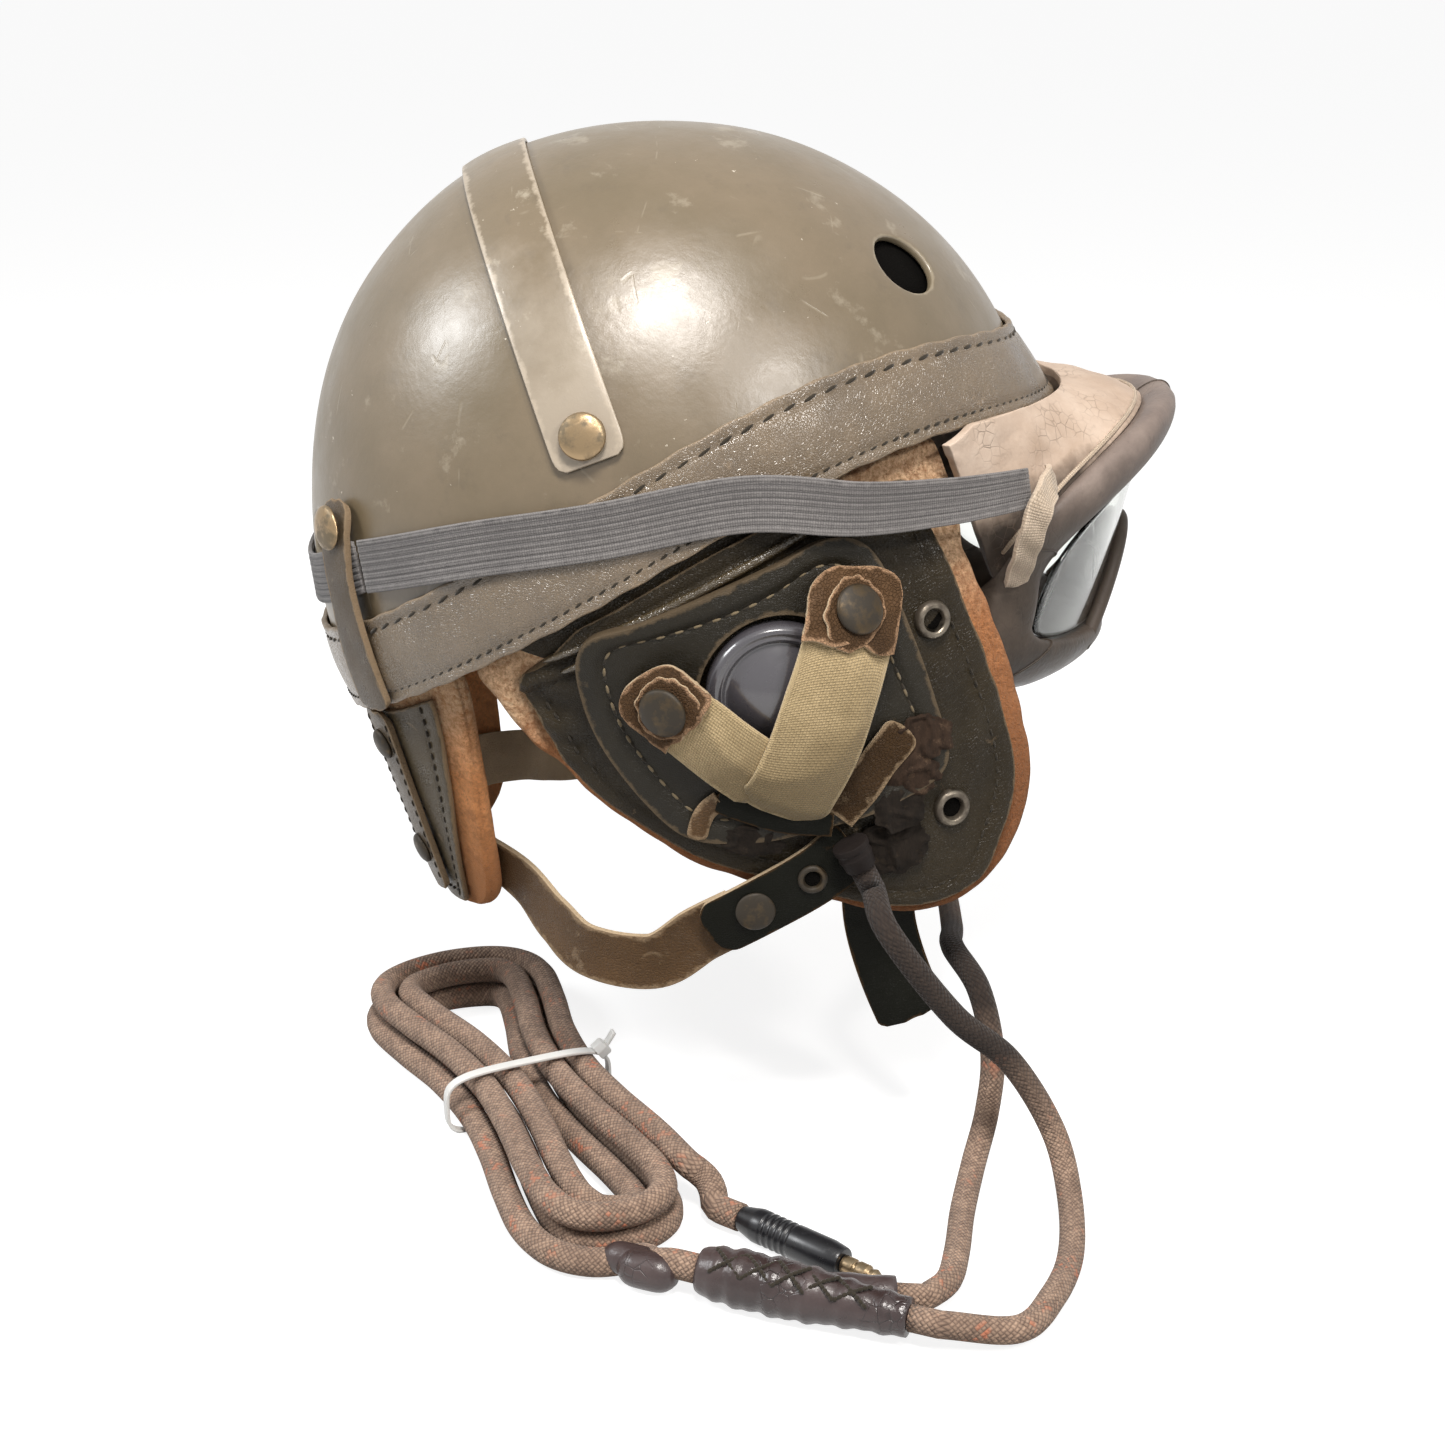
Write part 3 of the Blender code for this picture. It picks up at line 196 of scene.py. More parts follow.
def dome_point(angle, height):
    """Points on the shell's outer face."""
    cosine = np.cos(angle)
    crown = crown_of(angle)
    ring = np.sqrt(np.maximum(0.0, 1.0 - ((height - CROWN_HEIGHT + crown) / crown) ** 2))
    reach = np.where(cosine > 0, FRONT_REACH, REAR_REACH)
    drop = np.maximum(0.0, (FLARE_START - height) / FLARE_DEPTH)
    flare = BROW_FLARE * np.maximum(0.0, cosine) ** 2 * drop**2
    x = CROWN_X + (reach * ring + flare) * cosine
    return np.stack([x, HALF_WIDTH * ring * np.sin(angle), height + 0 * x], -1)


def dome_normal(angle, height):
    """Directions out of the shell's outer face."""
    along = dome_point(angle + 1e-3, height) - dome_point(angle - 1e-3, height)
    up = dome_point(angle, height + 1e-4) - dome_point(angle, height - 1e-4)
    return unit(np.cross(along, up))


def dome(angle, height, lift=0.0):
    """Points on the shell's outer face at a plan angle and a height, moved out by lift."""
    angle, height, lift = np.broadcast_arrays(angle, height, lift)
    return dome_point(angle, height) + dome_normal(angle, height) * lift[..., None]


def reach_at(x):
    """How far the shell reaches from its crown, on the side where x lies: front or rear."""
    return np.where(x > CROWN_X, FRONT_REACH, REAR_REACH)


def plan_angle(x, y):
    """Angle round the crown of a point of the plan."""
    return np.arctan2(y / HALF_WIDTH, (x - CROWN_X) / reach_at(x))


def plan_spread(x, y):
    """Square of the distance from the crown, 1.0 at the shell's widest line."""
    return ((x - CROWN_X) / reach_at(x)) ** 2 + (y / HALF_WIDTH) ** 2


def dome_out(points):
    """The shell's own normal, level with points beside it."""
    return dome_normal(plan_angle(points[..., 0], points[..., 1]), points[..., 2])


def crown_point(x, roll, lift):
    """Points over the crown at a station x, at a roll angle from straight up."""
    low, high = np.full(np.shape(x), 0.02), np.full(np.shape(x), 0.2)
    for _ in range(36):
        middle = (low + high) / 2
        y, z = middle * np.sin(roll), middle * np.cos(roll)
        crown = crown_of(plan_angle(x, y))
        level = (z - CROWN_HEIGHT + crown) / crown
        inside = plan_spread(x, y) + level**2 < 1.0
        low, high = np.where(inside, middle, low), np.where(inside, high, middle)
    return np.stack([x + 0 * low, (low + lift) * np.sin(roll), (low + lift) * np.cos(roll)], -1)


def roof(x, y):
    """Height of the shell's outer face over a point of the plan."""
    crown = crown_of(plan_angle(x, y))
    return CROWN_HEIGHT - crown + crown * np.sqrt(np.maximum(0.0, 1.0 - plan_spread(x, y)))


def flap_y(x, z):
    """Distance of the ear flap's leather from the middle plane: tucked into the shell at the top, flatter below."""
    level = (np.maximum(z, FLAP_TOP) - CROWN_HEIGHT + CROWN_RISE) / CROWN_RISE
    ring = np.sqrt(np.maximum(0.01, 1 - level**2 - ((x - CROWN_X) / reach_at(x)) ** 2))
    tucked = HALF_WIDTH * ring - SHELL_WALL + 0.7 * MM
    bow = np.where(x > RECEIVER[0], FLAP_FRONT_RADIUS, FLAP_REAR_RADIUS)
    hung = FLAP_OUT - (x - RECEIVER[0]) ** 2 / (2 * bow)
    fall = np.clip((FLAP_TOP - z) / FLAP_BEND, 0.0, 1.0)
    return tucked + (hung - tucked) * fall * fall * (3 - 2 * fall)


def side_normal(surface, x, z, side):
    """Directions out of a surface(x, z) at one side of the helmet."""
    tilt_x = (surface(x + MM, z) - surface(x - MM, z)) / (2 * MM)
    tilt_z = (surface(x, z + MM) - surface(x, z - MM)) / (2 * MM)
    return unit(np.stack([-tilt_x, side + 0 * tilt_x, -tilt_z], -1))


def flap_point(x, z, side, out):
    """Points at a distance out from the middle of the ear flap's leather, along its normal."""
    base = np.stack([x + 0 * z, side * flap_y(x, z), z + 0 * x], -1)
    return base + side_normal(flap_y, x, z, side) * np.asarray(out + 0 * x)[..., None]


def outline(points):
    """A closed smooth outline in x and z, as a function of a turn from 0 to 1."""
    loop = np.array([*points[-3:], *points, *points[:4]], float) * MM
    path = smooth(loop, 40 * len(loop))
    first = np.argmin(np.linalg.norm(path[: len(path) // 3] - loop[3], axis=1))
    back = len(path) // 2
    last = back + np.argmin(np.linalg.norm(path[back:] - loop[-4], axis=1))
    ring = path[first: last + 1]
    ring[-1] = ring[0]
    run = lengths(ring) / lengths(ring)[-1]

    def at(turn):
        share = np.mod(turn, 1.0)
        return np.stack([np.interp(share, run, ring[:, k]) for k in (0, 1)], -1)
    return at


def neck_point(turn, out, height):
    """Points on the neck flap's curve at a turn from straight back, moved out from its leather's own middle."""
    x = CROWN_X - (REAR_REACH - NECK_INSET + out) * np.cos(turn)
    return np.stack([x, (HALF_WIDTH - NECK_INSET + out) * np.sin(turn), height + 0 * x], -1)


def neck_out(points):
    """Level directions out of the neck flap."""
    flat = (points[..., 0] - CROWN_X) / REAR_REACH**2
    return unit(np.stack([flat, points[..., 1] / HALF_WIDTH**2, 0 * flat], -1))


def sideways(points):
    """Directions straight out to the side that a point is on."""
    return np.stack([0 * points[..., 0], np.sign(points[..., 1]), 0 * points[..., 0]], -1)


def goggle_x(y, z):
    """How far forward the lens is, swept back at its sides and leaning."""
    return GOGGLE_MID[0] - GOGGLE_SWEEP * y**2 + GOGGLE_LEAN * (z - GOGGLE_MID[1])


def goggle_ring(turn, grow):
    """The rounded outline of the lens opening, in y and z, grown all round."""
    c, s = np.cos(turn), np.sin(turn)
    square = np.where(s < 0, 1.1, 0.55)
    tall = np.where(s < 0, GOGGLE_HALF[2], GOGGLE_HALF[1])
    y = np.sign(c) * np.abs(c) ** square * (GOGGLE_HALF[0] + grow)
    return y, GOGGLE_MID[1] + np.sign(s) * np.abs(s) ** square * (tall + grow)


# Mesh makers
def shown(name, mesh, finishes):
    """A mesh with its finishes, put in the scene."""
    piece = bpy.data.objects.new(name, mesh)
    bpy.context.scene.collection.objects.link(piece)
    for material in finishes:
        mesh.materials.append(material)
    return piece


def grid(name, spots, finishes, core=(0.0, 0.0, 0.0), kept=None):
    """A mesh through a grid of points, seams merged, faces turned away from core, with UVs in metres.

    Each point keeps its distance to the sheet's edge in the attribute brim. Faces outside kept are left open.
    """
    rows, columns = spots.shape[0], spots.shape[1]
    along = lengths(spots[rows // 2])
    across = lengths(spots[:, columns // 2])
    first = (np.arange(rows - 1)[:, None] * columns + np.arange(columns - 1)[None, :]).ravel()
    faces = np.stack([first, first + 1, first + columns + 1, first + columns], -1)
    if kept is not None:
        faces = faces[kept.ravel()]
    mesh = bpy.data.meshes.new(name)
    mesh.from_pydata(spots.reshape(-1, 3).tolist(), [], faces.tolist())
    ends = np.stack(np.meshgrid(along, across), -1).reshape(-1, 2)
    layer = mesh.uv_layers.new(name="surface")
    layer.data.foreach_set("uv", ends[faces.ravel()].astype(np.float32).ravel())
    work = bmesh.new()
    work.from_mesh(mesh)
    bmesh.ops.remove_doubles(work, verts=work.verts, dist=2e-6)
    bmesh.ops.dissolve_degenerate(work, edges=work.edges, dist=1e-7)
    loose = [v for v in work.verts if not v.link_faces]
    bmesh.ops.delete(work, geom=loose, context="VERTS")
    bmesh.ops.recalc_face_normals(work, faces=work.faces)
    brim = work.verts.layers.float.new("brim")
    edge = [v for v in work.verts if v.is_boundary]
    if edge:
        middle = Vector(core)
        outward = 0.0
        for face in work.faces:
            away = (face.calc_center_median() - middle).normalized()
            outward += away.dot(face.normal) * face.calc_area()
        if outward < 0:
            bmesh.ops.reverse_faces(work, faces=work.faces)
    tree = kdtree.KDTree(max(1, len(edge)))
    for number, vert in enumerate(edge):
        tree.insert(vert.co, number)
    tree.balance()
    for vert in work.verts:
        vert[brim] = tree.find(vert.co)[2] if edge else 0.02
    work.to_mesh(mesh)
    work.free()
    return shown(name, mesh, finishes)


def baked(piece):
    """Swap a piece's mesh for what its modifiers make of it, shaded smooth."""
    graph = bpy.context.evaluated_depsgraph_get()
    made = bpy.data.meshes.new_from_object(piece.evaluated_get(graph))
    piece.modifiers.clear()
    old, piece.data = piece.data, made
    name = old.name
    bpy.data.meshes.remove(old)
    made.name = name
    made.shade_smooth()
    return piece


def bevelled(piece, width, segments=2, angle=50.0):
    """Round the edges sharper than an angle."""
    soft = piece.modifiers.new("edges", "BEVEL")
    soft.width = width
    soft.segments = segments
    soft.limit_method = "ANGLE"
    soft.angle_limit = math.radians(angle)
    soft.use_clamp_overlap = True
    return piece


def slab(name, spots, wall, finishes, core=(0.0, 0.0, 0.0), soft=0.3, segments=2, offset=0.0, kept=None):
    """A closed sheet with its wall and rounded edges. Finishes are the face, the back and the edge."""
    piece = grid(name, spots, finishes, core, kept)
    solid = piece.modifiers.new("wall", "SOLIDIFY")
    solid.thickness = wall
    solid.offset = offset
    solid.use_even_offset = True
    solid.use_quality_normals = True
    solid.material_offset = 1 if len(finishes) > 1 else 0
    solid.material_offset_rim = len(finishes) - 1
    return baked(bevelled(piece, wall * soft, segments))


def mesh_grid(columns, rows):
    """Shares along and across a grid with that many faces."""
    return np.meshgrid(np.linspace(0.0, 1.0, columns + 1), np.linspace(0.0, 1.0, rows + 1))


def ribbon(points, outward, width, columns, rows, relief=None, round_ends=(0.0, 0.0)):
    """Grid of points of a flat strap along points, its face turned to outward(points).

    relief(u, v) moves it along its face's normal, and an end is rounded over that length.
    """
    path = smooth(points, columns + 1)
    ahead = np.gradient(path, axis=0)
    beside = unit(np.cross(ahead, unit(outward(path))))
    face = unit(np.cross(beside, ahead))
    run = lengths(path)
    u, v = mesh_grid(columns, rows)
    wide = np.full(columns + 1, width) * np.ones(columns + 1)
    for end, far in zip(round_ends, (run, run[-1] - run)):
        if end:
            share = np.clip(far / end, 0.0, 1.0)
            wide = wide * (0.28 + 0.72 * np.sqrt(1 - (1 - share) ** 2.4))
    spots = path[None] + beside[None] * ((v - 0.5) * wide[None])[..., None]
    if relief is not None:
        spots = spots + face[None] * relief(u, v)[..., None]
    return spots


def turned(name, profile, place, finishes, steps=48, soft=0.0):
    """A profile of (radius, height) pairs turned about Z, rounded, and put in place by a matrix."""
    line = np.array(profile, float)
    turn = np.linspace(0.0, 2 * math.pi, steps + 1)
    spots = np.stack([np.outer(line[:, 0], np.cos(turn)), np.outer(line[:, 0], np.sin(turn)),
                      np.outer(line[:, 1], np.ones_like(turn))], -1)
    piece = grid(name, spots, finishes)
    piece.data.transform(place)
    if soft:
        bevelled(piece, soft, 3, 25.0)
    return baked(piece)


def disc(radius, rise):
    """Profile of a plain disc."""
    return [(0.0, 0.0), (radius, 0.0), (radius, rise), (0.0, rise)]


def facing(point, normal):
    """A matrix that stands something at a point, along a normal."""
    turn = Vector((0, 0, 1)).rotation_difference(Vector(normal).normalized())
    return Matrix.Translation(Vector(point)) @ turn.to_matrix().to_4x4()


def tube(name, path, radius, finishes, sides=20, closed_ends=True):
    """A round cord along a path, its UV along it in metres and round it in metres."""
    ahead = unit(np.gradient(path, axis=0))
    up = np.zeros_like(path)
    start = np.cross(ahead[0], (0.0, 0.0, 1.0))
    if np.linalg.norm(start) < 0.05:
        start = np.cross(ahead[0], (1.0, 0.0, 0.0))
    up[0] = unit(start)
    for k in range(1, len(path)):
        up[k] = unit(up[k - 1] - ahead[k] * (up[k - 1] @ ahead[k]))
    out = np.cross(ahead, up)
    turn = np.linspace(0.0, 2 * math.pi, sides + 1)
    size = np.broadcast_to(radius, (len(path),))
    ring = np.cos(turn)[:, None, None] * up[None] + np.sin(turn)[:, None, None] * out[None]
    spots = path[None] + ring * size[None, :, None]
    if closed_ends:
        first, last = path[:1][None].repeat(sides + 1, 0), path[-1:][None].repeat(sides + 1, 0)
        spots = np.concatenate([first, spots, last], axis=1)
    return baked(grid(name, spots, finishes))


def joined(name, parts):
    """Several meshes made one piece, with their materials kept."""
    work = bmesh.new()
    finishes = []
    for part in parts:
        slots = []
        for material in part.data.materials:
            if material not in finishes:
                finishes.append(material)
            slots.append(finishes.index(material))
        before = len(work.faces)
        work.from_mesh(part.data)
        work.faces.ensure_lookup_table()
        for face in work.faces[before:]:
            face.material_index = slots[face.material_index]
        bpy.data.objects.remove(part)
    mesh = bpy.data.meshes.new(name)
    work.to_mesh(mesh)
    work.free()
    piece = shown(name, mesh, finishes)
    mesh.shade_smooth()
    return piece


def hand_over(piece, body, slot, *nodes):
    """Let a piece ride on its body, in the place of the nodes that it stands for."""
    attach(piece, body)
    if nodes:
        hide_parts(*nodes)
    return piece


# Node trees
class Nodes:
    """A node tree that short calls fill."""

    def __init__(self, tree):
        self.tree = tree

    def add(self, kind, inputs=(), **settings):
        """A node with its settings, and each input linked or set."""
        node = self.tree.nodes.new(kind)
        for key, value in settings.items():
            setattr(node, key, value)
        for key, value in dict(inputs).items():
            if isinstance(value, bpy.types.NodeSocket):
                self.tree.links.new(value, node.inputs[key])
            else:
                node.inputs[key].default_value = value
        return node

    def apply(self, how, a, b=0.0, clamp=False):
        """One sum of a Math node."""
        return self.add("ShaderNodeMath", {0: a, 1: b}, operation=how, use_clamp=clamp).outputs[0]

    def plus(self, a, b, clamp=False):
        return self.apply("ADD", a, b, clamp)

    def minus(self, a, b):
        return self.apply("SUBTRACT", a, b)

    def times(self, a, b):
        return self.apply("MULTIPLY", a, b)

    def mix(self, share, a, b):
        """Colour a turned into colour b by a share."""
        return self.add("ShaderNodeMix", {0: share, 6: a, 7: b}, data_type="RGBA").outputs[2]

    def fade(self, value, low, high, bottom=0.0, top=1.0):
        """A value's way from low to high, laid out from bottom to top."""
        inputs = {"Value": value, "From Min": low, "From Max": high, "To Min": bottom, "To Max": top}
        return self.add("ShaderNodeMapRange", inputs).outputs[0]

    def noise(self, where, scale, detail=3.0, rough=0.55):
        """Noise from 0 to 1."""
        inputs = {"Vector": where, "Scale": scale, "Detail": detail, "Roughness": rough}
        return self.add("ShaderNodeTexNoise", inputs).outputs[0]

    def group(self, name, inputs):
        """The outputs of a shared effect, built on its first use."""
        made = bpy.data.node_groups.get(name) or EFFECTS[name]()
        return self.add("ShaderNodeGroup", inputs, node_tree=made).outputs


FLOAT, VECTOR = "NodeSocketFloat", "NodeSocketVector"


def tree_of(name, kind, inputs, outputs):
    """A new node group with its named sockets, its input node and its output node."""
    tree = bpy.data.node_groups.new(name, kind)
    for way, sockets in (("INPUT", inputs), ("OUTPUT", outputs)):
        for label, socket_kind, *value in sockets:
            socket = tree.interface.new_socket(label, in_out=way, socket_type=socket_kind)
            if value:
                socket.default_value = value[0]
    nodes = Nodes(tree)
    return nodes, nodes.add("NodeGroupInput").outputs, nodes.add("NodeGroupOutput")


def stitch_tree():
    """One rounded stitch at each step of a line, lying along it and standing out of the leather."""
    made = bpy.data.node_groups.get("stitch_row")
    if made:
        return made
    inputs = [("Lines", "NodeSocketGeometry"), ("Pitch", FLOAT, 0.004), ("Long", FLOAT, 0.003),
              ("Wide", FLOAT, 0.001), ("Slant", FLOAT, 0.0), ("Thread", "NodeSocketMaterial")]
    nodes, given, result = tree_of("stitch_row", "GeometryNodeTree", inputs, [("Stitches", "NodeSocketGeometry")])
    line = nodes.add("GeometryNodeMeshToCurve", {0: given["Lines"]})
    steps = nodes.add("GeometryNodeResampleCurve", {"Curve": line.outputs[0], "Length": given["Pitch"]},
                      mode="LENGTH")
    ahead = nodes.add("GeometryNodeInputTangent")
    out = nodes.add("GeometryNodeInputNamedAttribute", {"Name": "out"}, data_type="FLOAT_VECTOR")
    lie = nodes.add("FunctionNodeAlignRotationToVector", {"Vector": ahead.outputs[0]}, axis="X")
    stand = nodes.add("FunctionNodeAlignRotationToVector", {"Rotation": lie.outputs[0], "Vector": out.outputs[0]},
                      axis="Z", pivot_axis="X")
    lean = nodes.add("ShaderNodeCombineXYZ", {"Z": given["Slant"]})
    turn = nodes.add("FunctionNodeEulerToRotation", {0: lean.outputs[0]})
    rest = nodes.add("FunctionNodeRotateRotation", {0: stand.outputs[0], 1: turn.outputs[0]},
                     rotation_space="LOCAL")
    bead = nodes.add("GeometryNodeMeshUVSphere", {"Segments": 8, "Rings": 5, "Radius": 0.5})
    size = nodes.add("ShaderNodeCombineXYZ", {"X": given["Long"], "Y": given["Wide"], "Z": given["Wide"]})
    stitch = nodes.add("GeometryNodeTransform", {"Geometry": bead.outputs[0], "Scale": size.outputs[0]})
    inputs = {"Points": steps.outputs[0], "Instance": stitch.outputs[0], "Rotation": rest.outputs[0]}
    laid = nodes.add("GeometryNodeInstanceOnPoints", inputs)
    real = nodes.add("GeometryNodeRealizeInstances", {0: laid.outputs[0]})
    soft = nodes.add("GeometryNodeSetShadeSmooth", {0: real.outputs[0]})
    thread = nodes.add("GeometryNodeSetMaterial", {"Geometry": soft.outputs[0], "Material": given["Thread"]})
    nodes.tree.links.new(thread.outputs[0], result.inputs[0])
    return nodes.tree


def stud_tree():
    """The same small shape stood on every point, along that point's own direction."""
    made = bpy.data.node_groups.get("stud_set")
    if made:
        return made
    inputs = [("Points", "NodeSocketGeometry"), ("Shape", "NodeSocketObject"), ("Metal", "NodeSocketMaterial")]
    nodes, given, result = tree_of("stud_set", "GeometryNodeTree", inputs, [("Studs", "NodeSocketGeometry")])
    shape = nodes.add("GeometryNodeObjectInfo", {"Object": given["Shape"]})
    out = nodes.add("GeometryNodeInputNamedAttribute", {"Name": "out"}, data_type="FLOAT_VECTOR")
    stand = nodes.add("FunctionNodeAlignRotationToVector", {"Vector": out.outputs[0]}, axis="Z")
    inputs = {"Points": given["Points"], "Instance": shape.outputs["Geometry"], "Rotation": stand.outputs[0]}
    laid = nodes.add("GeometryNodeInstanceOnPoints", inputs)
    real = nodes.add("GeometryNodeRealizeInstances", {0: laid.outputs[0]})
    metal = nodes.add("GeometryNodeSetMaterial", {"Geometry": real.outputs[0], "Material": given["Metal"]})
    nodes.tree.links.new(metal.outputs[0], result.inputs[0])
    return nodes.tree


def laid_out(name, tree, lines, values, material):
    """Run a tree on lines or loose points, each a pair of points and directions, and keep the plain mesh."""
    mesh = bpy.data.meshes.new(name)
    spots, outs, edges = [], [], []
    for points, away in lines:
        edges += [(len(spots) + k, len(spots) + k + 1) for k in range(len(points) - 1)]
        spots += np.asarray(points).tolist()
        outs += np.asarray(away).tolist()
    mesh.from_pydata(spots, edges if tree.name == "stitch_row" else [], [])
    mesh.attributes.new("out", "FLOAT_VECTOR", "POINT").data.foreach_set("vector",
                                                                         np.array(outs, np.float32).ravel())
    piece = shown(name, mesh, [material])
    maker = piece.modifiers.new("repeat", "NODES")
    maker.node_group = tree
    for socket in tree.interface.items_tree:
        if socket.in_out == "INPUT" and socket.name in values:
            maker[socket.identifier] = values[socket.name]
    return baked(piece)


def stitched(name, lines, thread, pitch, long, wide, slant=0.0):
    """Rows of stitches along lines."""
    values = {"Pitch": pitch, "Long": long, "Wide": wide, "Slant": slant, "Thread": thread}
    return laid_out(name, stitch_tree(), lines, values, thread)


def fine_row(name, lines, sizes, long, wide):
    """Fine stitching: long is a share of the step, and wide a share of the heavy thread."""
    pitch = sizes.short_stitch
    return stitched(name, lines, finish("dark_thread"), pitch, pitch * long, sizes.thread * wide)


def studded(name, spots, profile, metal):
    """Caps or rings of one profile on several spots, each a point and a direction."""
    shape = turned("stud_shape", profile, Matrix.Identity(4), [metal], 40, 0.35 * MM)
    lines = [(np.array([point]), np.array([away])) for point, away in spots]
    piece = laid_out(name, stud_tree(), lines, {"Shape": shape, "Metal": metal}, metal)
    bpy.data.objects.remove(shape)
    piece.data.shade_smooth()
    return piece


# Shared effects
def grain_effect():
    """Pores and creases of leather."""
    nodes, given, result = tree_of("grain", "ShaderNodeTree", [("Vector", VECTOR), ("Scale", FLOAT, 600.0)],
                                   [("Height", FLOAT)])
    bent = nodes.add("ShaderNodeTexNoise", {"Vector": given[0], "Scale": 120.0, "Detail": 1.0})
    push = nodes.add("ShaderNodeVectorMath", {0: bent.outputs["Color"], "Scale": 0.002}, operation="SCALE")
    where = nodes.add("ShaderNodeVectorMath", {0: given[0], 1: push.outputs[0]}, operation="ADD")
    cells = nodes.add("ShaderNodeTexVoronoi", {"Vector": where.outputs[0], "Scale": given[1]},
                      feature="DISTANCE_TO_EDGE")
    crease = nodes.fade(cells.outputs["Distance"], 0.0, 0.16)
    fine = nodes.noise(where.outputs[0], 2600.0, 2.0)
    height = nodes.plus(nodes.times(crease, 0.75), nodes.times(fine, 0.35))
    nodes.tree.links.new(height, result.inputs[0])
    return nodes.tree


def scuff_effect():
    """Patches rubbed off in a broken pattern."""
    inputs = [("Vector", VECTOR), ("Scale", FLOAT, 60.0), ("Amount", FLOAT, 0.3)]
    nodes, given, result = tree_of("scuffs", "ShaderNodeTree", inputs, [("Mask", FLOAT)])
    broad = nodes.noise(given[0], given[1], 9.0, 0.68)
    low = nodes.minus(0.66, nodes.times(given[2], 0.22))
    mask = nodes.fade(broad, low, nodes.plus(low, 0.07))
    nodes.tree.links.new(mask, result.inputs[0])
    return nodes.tree


def scratch_effect():
    """Thin broken lines, drawn out along a slant."""
    inputs = [("Vector", VECTOR), ("Scale", FLOAT, 30.0), ("Amount", FLOAT, 0.4)]
    nodes, given, result = tree_of("scratches", "ShaderNodeTree", inputs, [("Mask", FLOAT)])
    mask = None
    for turn, stretch in (((0.4, 0.9, 0.2), (1.0, 0.22, 0.3)), ((1.3, 0.2, 1.0), (0.25, 1.0, 0.2))):
        drawn = nodes.add("ShaderNodeMapping", {"Vector": given[0], "Rotation": turn, "Scale": stretch})
        level = nodes.noise(drawn.outputs[0], given[1], 1.0, 0.4)
        off = nodes.apply("ABSOLUTE", nodes.minus(level, 0.5))
        line = nodes.fade(off, 0.0045, 0.0015)
        kept = nodes.fade(nodes.noise(given[0], 55.0, 2.0), nodes.minus(0.78, nodes.times(given[2], 0.3)),
                          nodes.minus(0.84, nodes.times(given[2], 0.3)))
        line = nodes.times(line, kept)
        mask = line if mask is None else nodes.apply("MAXIMUM", mask, line)
    nodes.tree.links.new(mask, result.inputs[0])
    return nodes.tree


def edge_effect():
    """Wear that starts at a sheet's edge and breaks up further in."""
    inputs = [("Vector", VECTOR), ("Brim", FLOAT), ("Reach", FLOAT, 0.002)]
    nodes, given, result = tree_of("edge_wear", "ShaderNodeTree", inputs, [("Mask", FLOAT)])
    rough = nodes.minus(nodes.noise(given[0], 240.0, 5.0, 0.62), 0.5)
    far = nodes.plus(given[1], nodes.times(rough, nodes.times(given[2], 3.2)))
    mask = nodes.fade(far, given[2], nodes.times(given[2], 0.35))
    nodes.tree.links.new(mask, result.inputs[0])
    return nodes.tree


def weave_effect():
    """Threads over and under: along and across are counted in threads."""
    inputs = [("Along", FLOAT), ("Across", FLOAT)]
    nodes, given, result = tree_of("weave", "ShaderNodeTree", inputs, [("Height", FLOAT), ("Random", FLOAT)])
    humps, cells = [], []
    for socket in (given[0], given[1]):
        humps.append(nodes.apply("ABSOLUTE", nodes.apply("SINE", nodes.times(socket, math.pi))))
        cells.append(nodes.apply("FLOOR", socket))
    odd = nodes.apply("MODULO", nodes.apply("ABSOLUTE", nodes.plus(cells[0], cells[1])), 2.0)
    over = nodes.times(humps[0], nodes.plus(nodes.times(humps[1], 0.5), 0.5))
    under = nodes.times(humps[1], nodes.plus(nodes.times(humps[0], 0.5), 0.5))
    height = nodes.plus(nodes.times(over, odd),
                       nodes.times(nodes.times(under, 0.85), nodes.minus(1.0, odd)))
    spot = nodes.add("ShaderNodeCombineXYZ", {0: cells[0], 1: cells[1]})
    chance = nodes.add("ShaderNodeTexWhiteNoise", {"Vector": spot.outputs[0]}, noise_dimensions="2D")
    nodes.tree.links.new(height, result.inputs[0])
    nodes.tree.links.new(chance.outputs["Value"], result.inputs[1])
    return nodes.tree


EFFECTS = {"grain": grain_effect, "scuffs": scuff_effect, "scratches": scratch_effect, "edge_wear": edge_effect,
           "weave": weave_effect}


# Finishes
def toned(colour, *shares):
    """A colour with its red, green and blue scaled, by one share or by three."""
    return [c * share for c, share in zip(colour, shares if len(shares) == 3 else shares * 3)]


def four(colour, *shares):
    """A colour with its alpha."""
    return (*toned(colour, *(shares or (1.0,))), 1.0)


